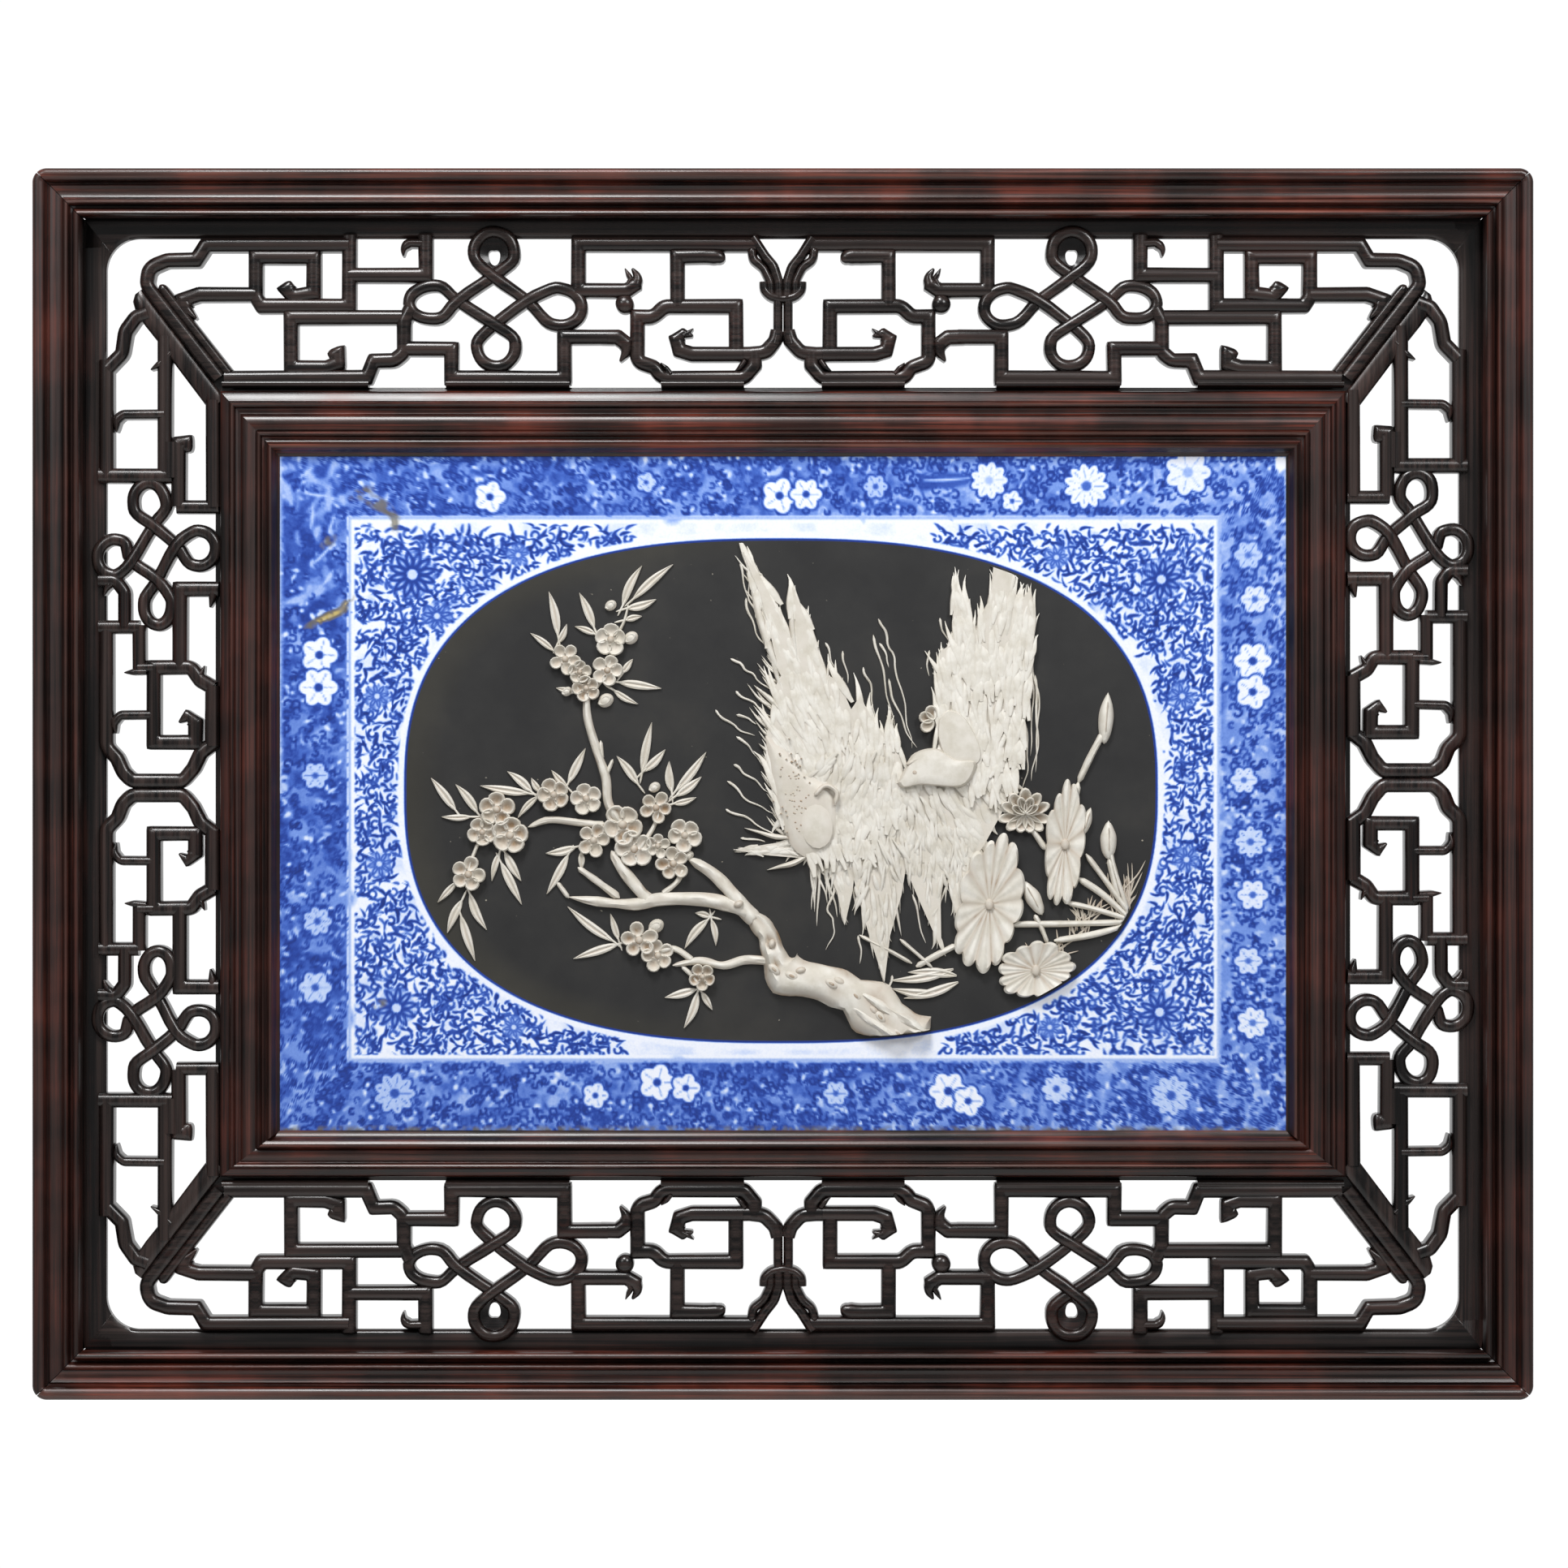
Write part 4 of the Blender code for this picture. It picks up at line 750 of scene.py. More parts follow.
# %% The borders and the corner seams
def border_grid(side):
    """The border: lines from the groove's floor to the opening's rounded edge, between the two seams.

    Near a corner the opening's edge follows an arc of the border's radius up to the seam."""
    long_side = side in ("top", "bottom")
    run_half, reach = (SIGHT_X, SIGHT_Z) if long_side else (SIGHT_Z, SIGHT_X)
    run_inner, reach_inner = (INNER_X, INNER_Z) if long_side else (INNER_Z, INNER_X)
    border_run, border_reach = (SIDE_BORDER, BORDER) if long_side else (BORDER, SIDE_BORDER)
    radius = BORDER_ROUND * MM
    turn_run = (run_half - border_run * MM) * SPREAD + 0.2 * MM - radius
    turn_reach = (reach - border_reach * MM) * SPREAD + 0.2 * MM - radius
    slope = (run_half - run_inner) / (reach - reach_inner)
    fine = np.linspace(0, pi / 2, 2001)
    seam_run = run_inner + (turn_reach + radius * np.cos(fine) - reach_inner) * slope - BORDER_GAP
    angle = np.linspace(0, fine[np.argmax(turn_run + radius * np.sin(fine) > seam_run)], 13)
    arc_run, arc_reach = turn_run + radius * np.sin(angle), turn_reach + radius * np.cos(angle)
    inner_run = np.concatenate([-arc_run[::-1], arc_run])
    inner_reach = np.concatenate([arc_reach[::-1], arc_reach])
    spread = np.linspace(arc_run[0], run_half, len(arc_run))
    far_run = np.concatenate([np.linspace(-run_half, -arc_run[0], len(arc_run)), spread])
    far_run = np.clip(far_run, -run_half + BORDER_GAP, run_half - BORDER_GAP)
    groove_run = np.clip(far_run, -run_half + 13 * MM, run_half - 13 * MM)
    mid_run, mid_reach = inner_run * 0.82 + far_run * 0.18, inner_reach * 0.82 + reach * 0.18
    lines = [(groove_run, reach + 2.6 * MM, 5.4), (groove_run, reach + 2.6 * MM, 10.2),
             (far_run, reach - 0.1 * MM, 10.2), (mid_run, mid_reach, 10.8), (inner_run, inner_reach, 9.4),
             (inner_run, inner_reach, 5.4)]
    rows = [place(*to_side(side, run, np.broadcast_to(across, run.shape)), level * MM)
            for run, across, level in lines]
    # The second array paints the border paler along its middle and its opening edge: painted highlight, with
    # some wear.
    return np.stack(rows, axis=1), np.array([0, 0, 0.3, 1.0, 0.5, 0])


def beside_seam(sx, sz, at, offset, level):
    """Points beside a corner's seam, in rows: inner corner + (outer - inner) * at + across * offset."""
    inner = np.array([sx * INNER_X, sz * INNER_Z]) * SPREAD
    outer = np.array([sx * SEAM_X, sz * SIGHT_Z]) * SPREAD
    across = side_of(unit(outer - inner)) * (1 if sx * sz > 0 else -1)
    flat = inner + (outer - inner) * np.array(at)[:, None, None] + across * offset[..., None]
    return place(flat[..., 0], flat[..., 1], np.broadcast_to(level, flat.shape[:2]) * MM)


def seam_strip(sx, sz):
    """The flat strip along a side panel's seam: rows along it, columns across it, closed round."""
    width = column(9.0, 8.8, 8.6, 8.8, 8.4, 6.6, 4.0) * MM
    share = np.array([0.0, 0.0, 0.12, 0.5, 0.88, 1.0, 1.0])
    level = np.tile([5.0, 12.6, 13.6, 13.9, 13.4, 12.2, 5.0], (7, 1))
    level[-1] = np.minimum(level[-1], 12.8)
    at = [-0.06, 0.15, 0.3, 0.42, 0.5, 0.545, 0.565]
    return beside_seam(sx, sz, at, -SEAM - share * width, level)


def seam_bed(sx, sz):
    """A lower strip on the long panel's side of a seam, which closes the mitre behind its strands."""
    offset = np.array([0.0, 0.0, BED_WIDTH, BED_WIDTH]) - BED_GAP
    return beside_seam(sx, sz, [-0.06, 0.3, 0.52], offset * MM, [5.0, 11.5, 11.0, 5.0])


def tongue(side):
    """The strip of a panel that sits against the inner rail: a plain bar from corner to corner."""
    long_side = side in ("top", "bottom")
    run, near = (INNER_X, INNER_Z) if long_side else (INNER_Z, INNER_X)
    along = column(-run, run) * SPREAD
    away = np.array([near - 0.4 * MM, near - 0.4 * MM, near * SPREAD + 0.5 * MM, near * SPREAD + 0.5 * MM])
    away = away[None, :] * (1 if side in ("top", "right") else -1)
    level = np.array([5.0, 11.5, 10.8, 5.0]) * MM
    return place(along, away, level) if long_side else place(away, along, level)


def trim_to_seam(side, points):
    """Pulls points that stray over a corner seam back to it: x there is inner x + (z - inner z) * slope."""
    x, z = np.abs(points[..., 0]), points[..., 2] - CENTRE_Z
    slope = (SEAM_X - INNER_X) / (SIGHT_Z - INNER_Z)
    seam_x = INNER_X * SPREAD + (np.abs(z) - INNER_Z * SPREAD) * slope
    fixed = np.minimum(x, seam_x - SEAM) if side in ("top", "bottom") else np.maximum(x, seam_x + SEAM)
    points = points.copy()
    points[..., 0] = fixed * np.sign(points[..., 0])
    return points


# %% Carve the four panels
def fret(side, material):
    """One panel: its bars, knots, bosses and border, each a closed solid, in one piece."""
    long_side = side in ("top", "bottom")
    shell = Shell()
    flip = np.array([-1.0, 1.0] if long_side else [1.0, -1.0])

    def lay(flat, out, wear_and_sheen, trim=False, close_rows=False):
        for mirror in (1.0, flip):
            points = place(*on_panel(side, hand(flat * mirror, WAVER)), out)
            shell.add(trim_to_seam(side, points) if trim else points, wear_and_sheen, close_rows)

    for number, (name, width, tip, path) in enumerate(LONG_BARS if long_side else SIDE_BARS):
        lay(*bar_grid(path, width, tip, -0.25 * MM * (number % 4)), trim=name in NEAR_SEAM)
    lay(*knot_grid(LONG_KNOT if long_side else SIDE_KNOT, CORD), close_rows=True)
    if long_side:
        for x, z, radius in LONG_BULBS:
            lay(*dome_grid((x, z), radius))
        lay(*disc_grid(*LOOP_DISC), close_rows=True)
        flat, out, wear_and_sheen = bar_grid(COLLAR, 4.2)
        shell.add(place(*on_panel(side, flat), out), wear_and_sheen)
    shell.add(tongue(side))
    sign = 1 if side in ("top", "right") else -1
    for end in (-1, 1):
        if long_side:
            shell.add(seam_bed(end, sign), 0.15)
    shell.add(*border_grid(side))
    for end in (-1, 1):
        if not long_side:
            # The seam strip is painted paler along its top: painted sheen, with some wear.
            shell.add(seam_strip(sign, end), np.array([0, 0.4, 1.0, 1.0, 0.9, 0.4, 0]))
    make_piece("fret_" + side, shell, material, "fret_panel_" + side, crease=50.0)


for side in ("top", "bottom", "left", "right"):
    fret(side, carved_x if side in ("top", "bottom") else carved_z)
# %% [markdown]
# The plaque was painted with cobalt under the glaze, so the blue is never a flat colour: it pools dark
# where the brush rested and thins to a pale wash. Here one number per point says how much cobalt lies
# there, and the finish turns that number to a blue.
# The painting is made like the real one, from brush marks: each mark is a small formula that darkens
# or lightens a fine canvas, and the surface then reads the canvas at its own points.

# %% The canvas and its brush marks
CELL = 0.4
CANVAS_X, CANVAS_Z = 233.0, 158.0
across = np.arange(-CANVAS_X, CANVAS_X, CELL)
upward = np.arange(-CANVAS_Z, CANVAS_Z, CELL)
canvas_z, canvas_x = np.meshgrid(upward, across, indexing="ij")
cobalt = np.zeros(canvas_x.shape)
stain = np.zeros(canvas_x.shape)
brush = np.random.default_rng(21)


def patch(x, z, reach):
    """The part of the canvas within reach of a point, with coordinates measured from that point."""
    low_x, low_z = int((x - reach + CANVAS_X) / CELL), int((z - reach + CANVAS_Z) / CELL)
    count = int(2 * reach / CELL) + 2
    box = (slice(max(low_z, 0), max(low_z + count, 0)), slice(max(low_x, 0), max(low_x + count, 0)))
    return box, canvas_x[box] - x, canvas_z[box] - z


def soften(distance, soft):
    """1 inside a mark, 0 outside, with an edge of the given softness: clamp(0.5 - distance / soft)."""
    return clamp(0.5 - distance / soft)


def lay_ink(box, mask, value, layer=None):
    """Paints a value over the canvas where the mask is 1: old * (1 - mask) + value * mask."""
    layer = cobalt if layer is None else layer
    layer[box] = layer[box] * (1 - mask) + value * mask


def dab(x, z, rx, rz, turn, value, soft=0.8, layer=None):
    """An oval touch of the brush."""
    box, u, v = patch(x, z, max(rx, rz) + 2)
    c, s = cos(turn), sin(turn)
    r = np.hypot((u * c + v * s) / rx, (v * c - u * s) / rz)
    lay_ink(box, soften((r - 1) * min(rx, rz), soft), value, layer)


def comma(x, z, length, width, turn, bend, value, soft=0.7, layer=None):
    """A curved stroke from a point: thick just after its start, tapering to its end."""
    box, u, v = patch(x, z, length + 2)
    c, s = cos(turn), sin(turn)
    along, aside = u * c + v * s, v * c - u * s
    t = clamp(along / length)
    half = width * 0.5 * (np.sin(pi * clamp(t * 0.86 + 0.14)) ** 0.7)
    off = np.abs(aside - bend * along * np.abs(along) / length)
    past = np.maximum(np.maximum(-along, along - length), 0)
    lay_ink(box, soften(np.hypot(off, past * 1.5) - half, soft), value, layer)


def curl(x, z, radius, thick, turn, value):
    """An open ring like the letter c, its gap towards the turn."""
    box, u, v = patch(x, z, radius + thick + 1)
    gap = np.abs(np.angle(np.exp(1j * (np.arctan2(v, u) - turn)))) < 0.7
    mask = soften(np.abs(np.hypot(u, v) - radius) - thick / 2, 0.6) * ~gap
    lay_ink(box, mask, value)


def blossom(x, z, radius, petals, light, heart, outline=None):
    """A flower seen from above: radius * (0.8 + 0.2 |cos|) round its petals, with a dark heart."""
    box, u, v = patch(x, z, radius * 1.3 + 2)
    r, angle = np.hypot(u, v), np.arctan2(v, u)
    edge = radius * (0.74 + 0.26 * np.abs(np.cos(petals * angle / 2)))
    if outline is not None:
        lay_ink(box, soften(r - edge - 0.9, 0.8), outline)
    lay_ink(box, soften(r - edge, 0.8), light)
    vein = np.abs(np.sin(petals * angle / 2)) < 0.16
    lay_ink(box, soften(r - edge * 0.8, 0.8) * vein * (r > radius * 0.2), min(heart, light + 0.35))
    lay_ink(box, soften(r - radius * 0.22, 0.8), heart)


def rosette(x, z, radius, petals, dark, light):
    """A flower of separate pointed petals round a pale centre."""
    for k in range(petals):
        turn = 2 * pi * k / petals + 0.2
        start = radius * 0.28
        comma(x + start * cos(turn), z + start * sin(turn), radius * 0.74, radius * 0.36, turn, 0.0, dark)
        dab(x + radius * 0.6 * cos(turn), z + radius * 0.6 * sin(turn), radius * 0.16, radius * 0.05,
            turn, light)
    dab(x, z, radius * 0.2, radius * 0.2, 0, light)


def blended(grid, fx, fz, ease=False):
    """A grid's values between its points: a (1 - t) + b t both ways, t eased to t^2 (3 - 2 t) if asked."""
    ix, iz = fx.astype(int), fz.astype(int)
    tx, tz = fx - ix, fz - iz
    if ease:
        tx, tz = tx * tx * (3 - 2 * tx), tz * tz * (3 - 2 * tz)
    low = grid[iz, ix] * (1 - tx) + grid[iz, ix + 1] * tx
    high = grid[iz + 1, ix] * (1 - tx) + grid[iz + 1, ix + 1] * tx
    return low * (1 - tz) + high * tz


def smooth_noise(size, seed):
    """Soft random clouds of the given size in millimetres, between 0 and 1: random dots, blurred by waves."""
    rng = np.random.default_rng(seed)
    total = np.zeros(canvas_x.shape)
    for share, scale in ((1.0, size), (0.5, size / 2), (0.25, size / 4)):
        coarse = rng.random((int(2 * CANVAS_Z / scale) + 3, int(2 * CANVAS_X / scale) + 3))
        total += share * blended(coarse, (canvas_x + CANVAS_X) / scale, (canvas_z + CANVAS_Z) / scale,
                                 ease=True)
    return total / 1.75


print("canvas", canvas_x.shape, "cells of", CELL, "mm")

# %% [markdown]
# The picture is laid out in three fields: a broad outer band with a blue ground, a thin double line,
# and a white field filled with scrolling leaves, which leaves a clean margin round the black oval.
# The oval isn't an ellipse. It is fuller at its shoulders, which an exponent of 2.58 gives.

# %% The fields of the painting
OVAL_X, OVAL_Z = -0.9, 1.2
OVAL_A, OVAL_B, OVAL_POWER = 169.8, 113.4, 2.58
LINE_LEFT, LINE_RIGHT, LINE_LOW, LINE_HIGH = -196.5, 197.6, -120.9, 124.9
def oval_radius(x, z):
    """How far out a point lies, 1 on the oval: (|u| ^ n + |v| ^ n) ^ (1 / n), u and v its shares."""
    u, v = (x - OVAL_X) / OVAL_A, (z - OVAL_Z) / OVAL_B
    return (np.abs(u) ** OVAL_POWER + np.abs(v) ** OVAL_POWER) ** (1 / OVAL_POWER)


oval_share = oval_radius(canvas_x, canvas_z)
oval_away = (oval_share - 1) * np.hypot(canvas_x, canvas_z) / np.maximum(oval_share, 0.2)
line_away = np.maximum(np.maximum(LINE_LEFT - canvas_x, canvas_x - LINE_RIGHT),
                       np.maximum(LINE_LOW - canvas_z, canvas_z - LINE_HIGH))


def in_field(x, z, low, high):
    """Whether a point of the canvas has its distance from the line frame between two values."""
    away = line_away[int((z + CANVAS_Z) / CELL), int((x + CANVAS_X) / CELL)]
    return low < away < high


def clear_of_oval(x, z):
    """How far a point of the canvas lies outside the oval, in millimetres."""
    return oval_away[int((z + CANVAS_Z) / CELL), int((x + CANVAS_X) / CELL)]


# %% [markdown]
# White field: leaf sprays. Each spray has a bent stem, leaves that branch off to both sides and a
# curl at its end. Sprays are spread on a loose grid, turned along a slow swirl so that they seem to
# grow out of one another, and mirrored from left to right as the painter's pounced pattern was.

# %% Leaf scrolls of the white field
SCROLL_STEP = 7.3
cobalt[:] = 0.03 + 0.14 * clamp(smooth_noise(9.0, 3) - 0.42) * 2.2


def scroll(x, z, turn, size, hand):
    """A small spiral of short hooked leaves round a curl: leaf k stands at turn + 0.8 k, ever further out."""
    if brush.random() < 0.3:
        dab(x + brush.uniform(-2, 2), z + brush.uniform(-2, 2), 2.4, 1.4, turn, 0.24, 1.4)
    for k in range(7):
        angle = turn + hand * 0.92 * k
        reach = size * (0.28 + 0.12 * k)
        px, pz = x + reach * cos(angle), z + reach * sin(angle)
        lean = angle + hand * (0.5 + 1.1 * (k % 2)) + brush.uniform(-0.4, 0.4)
        comma(px, pz, brush.uniform(2.6, 5.2), brush.uniform(1.15, 1.8), lean,
              hand * brush.uniform(0.3, 1.1),
              brush.uniform(0.7, 1.02))
    curl(x, z, size * 0.32, 1.0, turn, brush.uniform(0.72, 0.95))


field_state = brush.bit_generator.state
for mirror in (1, -1):
    brush.bit_generator.state = field_state
    for gx in np.arange(3.0, 197.0, SCROLL_STEP):
        for gz in np.arange(LINE_LOW + 3.4, LINE_HIGH - 2, SCROLL_STEP):
            x = gx + brush.uniform(-1.7, 1.7)
            z = gz + brush.uniform(-1.7, 1.7)
            swirl = 1.9 * sin(x * 0.047) + 1.7 * cos(z * 0.061) + brush.uniform(-1.2, 1.2)
            size = brush.uniform(3.8, 5.4)
            hand = 1 if brush.random() < 0.5 else -1
            bare_middle = x < (64 if z > 0 else 72)
            if bare_middle or not in_field(mirror * x, z, -200, -2.0) or clear_of_oval(mirror * x, z) < 3.6:
                continue
            scroll(mirror * x, z, swirl if mirror > 0 else pi - swirl, size, hand * mirror)
FLOWERS = [(-168.0, 99.2, 11.0, 12, 0.86), (-156.8, 80.4, 6.5, 9, 0.82), (171.5, 97.0, 9.5, 10, 0.88),
    (-175.2, -97.3, 9.5, 10, 0.84), (170.8, -99.2, 9.5, 10, 0.84), (181, 44, 5.8, 8, 0.8), (-183, -32, 5.8,
    8, 0.8), (183, -30, 5.8, 8, 0.8), (-184, 44, 5.6, 8, 0.8), (-120, 108, 5.0, 8, 0.8), (124, 107, 5.0, 8,
    0.82), (-122, -106, 5.0, 8, 0.8), (121, -106, 5.0, 8, 0.8)]
for x, z, radius, petals, dark in FLOWERS:
    dab(x, z, radius * 0.9, radius * 0.9, 0, 0.2, 3.0)
    rosette(x, z, radius, petals, dark, 0.16)
margin = clamp((oval_away - 3.4) / 1.2)
cobalt[:] = cobalt * margin + 0.035 * (1 - margin)
line_inside = clamp((-line_away - 2.0) / 0.9)
cobalt[:] = np.where(line_away < 0, cobalt * line_inside + 0.035 * (1 - line_inside), cobalt)
print("white field painted")

# %% [markdown]
# Blue band: a wash of uneven blue, crowded with small curls along both edges, pale leaves and open
# blossoms. The left end was overpainted at some time: the blue there is deeper and blurred, with
# pale dry strokes through it. The right half is paler.

# %% The blue band
band = line_away > 0.9
clouds, grain_noise = smooth_noise(17.0, 5), smooth_noise(3.2, 8)
deep_left = clamp((-198 - canvas_x) / 6) * np.clip((canvas_z + 150) / 60, 0.35, 1)
pale_right = clamp((canvas_x - 20) / 120)
ground = 0.56 + 0.32 * (clouds - 0.5) + 0.46 * (grain_noise - 0.5) + 0.12 * deep_left - 0.14 * pale_right
cobalt[:] = np.where(band, ground, cobalt)


def band_points(count, seed):
    """Random points in the blue band: (x, z) pairs in millimetres, kept where the band is."""
    rng = np.random.default_rng(seed)
    x = rng.uniform(-229, 229, count * 4)
    z = rng.uniform(-153.5, 153.5, count * 4)
    out = np.maximum(np.maximum(LINE_LEFT - x, x - LINE_RIGHT), np.maximum(LINE_LOW - z, z - LINE_HIGH))
    good = out > 2.2
    return list(zip(x[good][:count], z[good][:count]))


for x, z, rx, rz, value in ((75, 141.9, 13, 6.2, 0.1), (186, 136.5, 13, 6, 0.16), (-81, 138, 9, 5.5, 0.3),
        (123, 133.8, 9, 4.2, 0.52), (140, 142, 8, 4.5, 0.34), (212, 78, 8, 12, 0.36), (213, 20, 7, 14, 0.34),
        (211, -60, 8, 15, 0.36), (90, -138, 15, 6, 0.34), (-30, -138, 12, 6, 0.4), (-130, -137, 14, 6, 0.42),
        (-212, -40, 8, 14, 0.44)):
    dab(x, z, rx, rz, 0.15, value + 0.08, 5.0)
def scatter(count, seed, touch, *values):
    """Lays one kind of touch at random points of the band, each value drawn from its (low, high) or given."""
    for x, z in band_points(count, seed):
        touch(x, z, *(brush.uniform(*value) if isinstance(value, tuple) else value for value in values))


scatter(900, 31, comma, (2.5, 5.5), (1.2, 2.6), (0, 6.28), (-0.6, 0.6), (0.2, 0.44), 1.2)
scatter(1100, 32, comma, (1.8, 4.2), (0.9, 1.8), (0, 6.28), (-0.8, 0.8), (0.74, 0.95), 0.8)
scatter(90, 33, dab, (3.5, 7), (2.5, 4.5), (0, 3.1), (0.3, 0.52), 2.5)
scatter(2600, 34, curl, (0.9, 1.8), 0.95, (0, 6.28), (0.76, 0.98))
scatter(520, 35, dab, (0.8, 1.7), (0.6, 1.1), (0, 3.1), (0.05, 0.28), 0.9)
for t in np.arange(-226, 227, 4.3):
    for z in (LINE_HIGH + 3.2, LINE_HIGH + 26.0, LINE_LOW - 3.2, LINE_LOW - 27.0):
        if brush.random() < 0.65:
            curl(t + brush.uniform(-1.5, 1.5), z + brush.uniform(-1.2, 1.2), brush.uniform(1.1, 1.7), 0.9,
                 brush.uniform(0, 6.28), brush.uniform(0.78, 0.96))

# %% Blossoms, the lotus and the overpainted end
dab(75, 141.9, 10.5, 3.8, 0.05, 0.72, 2.2)
dab(66, 140.5, 5, 3, 0.3, 0.78, 2.0)
comma(64, 141.9, 22, 1.2, 0.0, 0.05, 0.16)
BLOSSOMS = [(-132.8, 134.4, 6.6, 5, 0.04, 0.86), (93.5, 141.9, 7.6, 9, 0.06, 0.3), (137.6, 139.3, 9.2, 11,
    0.05, 0.62), (183.6, 145.5, 9.5, 7, 0.07, 0.34), (-1.5, 134.9, 7.4, 5, 0.03, 0.84), (10.5, 135.6, 6.6, 6,
    0.04, 0.82), (-210.1, 62.7, 7.6, 5, 0.03, 0.84), (-210.5, 48.0, 8.0, 6, 0.03, 0.84), (213.0, 60.0, 7.8,
    6, 0.03, 0.82), (213.0, 46.0, 7.2, 5, 0.04, 0.82), (-57, -131.0, 7.6, 5, 0.03, 0.84), (-44, -133.5, 6.0,
    5, 0.05, 0.82), (75, -135.0, 8.0, 6, 0.03, 0.84), (84, -139.5, 6.4, 5, 0.04, 0.82), (-85, -137, 5.4, 5,
    0.08, 0.8), (124, -134, 6.2, 8, 0.18, 0.7), (212, -22, 6.5, 8, 0.18, 0.62), (-212, -88, 6.8, 6, 0.2,
    0.72), (-176, -136, 8.5, 9, 0.26, 0.74), (176, -137, 8.5, 9, 0.22, 0.7), (211, 108, 6, 6, 0.22, 0.6),
    (213, -46, 6.4, 6, 0.1, 0.62), (211, -76, 5.8, 6, 0.14, 0.6), (213, -104, 6.6, 7, 0.08, 0.56), (214, 88,
    6.0, 6, 0.1, 0.62), (209, 6, 5.6, 6, 0.14, 0.6), (-212, 8, 5.6, 6, 0.22, 0.7), (-211, -58, 6.0, 7, 0.24,
    0.72), (24, -136, 5.2, 6, 0.2, 0.7), (104, 132.5, 4.4, 5, 0.05, 0.75), (-62, 141, 4.2, 5, 0.2, 0.8), (42,
    139, 5, 6, 0.24, 0.7)]
for x, z, radius, petals, light, heart in BLOSSOMS:
    blossom(x, z, radius * 1.12, petals, light, heart, outline=0.86)
overpaint = np.random.default_rng(41)
for _ in range(46):
    x, z = overpaint.uniform(-227, -200), overpaint.uniform(84, 151)
    comma(x, z, overpaint.uniform(5, 13), overpaint.uniform(1.5, 4.5), overpaint.uniform(0, 6.28),
          overpaint.uniform(-0.5, 0.5), overpaint.choice([0.78, 0.7, 0.62, 0.4, 0.3]), 2.4)
for x, z, turn, length in ((-213.5, 103.5, 0.72, 16), (-216, 136, -0.2, 10), (-214, 120, 1.4, 12), (-206,
        118, 1.2, 9), (-219, 143, 0.6, 8), (-208, 95, 0.9, 8)):
    comma(x, z, length, 1.4, turn, 0.08, 0.2, 1.2)
line = soften(np.abs(line_away) - 0.75, 0.7)
cobalt[:] = cobalt * (1 - line) + 0.3 * line
rim = soften(np.abs(oval_away - 0.35) - 0.65, 0.6)
cobalt[:] = cobalt * (1 - rim) + 0.99 * rim
edge_fade = clamp((line_away - 29.5) / 2.0) * (canvas_z > 0)
cobalt[:] = cobalt * (1 - 0.75 * edge_fade) + 0.06 * edge_fade
print("blue band painted, mean cobalt", round(float(cobalt.mean()), 3))

# %% [markdown]
# Age shows in a few places: tan glue or rust that has run over the blue at the left, a brown chip, a
# grey-brown smear at the top, dirt along the bottom edge under the lip.

# %% Stains
STAINS = [(-184, 131.6, 7.0, 3.0, -0.5, 0.62), (-191, 136.0, 5.5, 2.6, 0.4, 0.58), (-178, 128, 5.0, 2.2,
    -0.6, 0.64), (-209.5, 78.5, 6.0, 1.6, 0.45, 1.0), (-203, 81.5, 4.5, 1.5, 0.35, 1.0), (-198, 86, 3.4, 1.3,
    0.8, 0.98), (-182.5, -95.5, 3.2, 1.6, 0.4, 0.62), (-206, 114, 4, 2.2, 0.7, 0.56), (-176, 122.5, 1.8, 4.2,
    0.1, 0.66)]
ragged = smooth_noise(2.6, 13)
for x, z, rx, rz, turn, value in STAINS:
    dab(x, z, rx, rz, turn, value, 2.6, stain)
stain[:] = stain * clamp((ragged - 0.26) * 3.4)
grime = clamp((-canvas_z - 149.6) / 2.5) * clamp((ragged - 0.3) * 3)
stain[:] = np.maximum(stain, 0.5 * grime)
chip = soften(np.hypot(canvas_x - 226, (canvas_z - 149) * 0.7) - 3.0 - 3 * (ragged - 0.5), 1.0)
cobalt[:] = cobalt * (1 - chip)


def read_canvas(layer, x, z):
    """The canvas value at points in millimetres, blended from the four nearest cells."""
    fx = np.clip((x + CANVAS_X) / CELL, 0, layer.shape[1] - 1.01)
    fz = np.clip((z + CANVAS_Z) / CELL, 0, layer.shape[0] - 1.01)
    return blended(layer, fx, fz)


# %% [markdown]
# The glaze over the painting is glass, so it is smooth and mirrors the lamps, with faint waves in it.
# Its blue goes from a cold white through thin washes to a deep violet blue where the cobalt is thick.

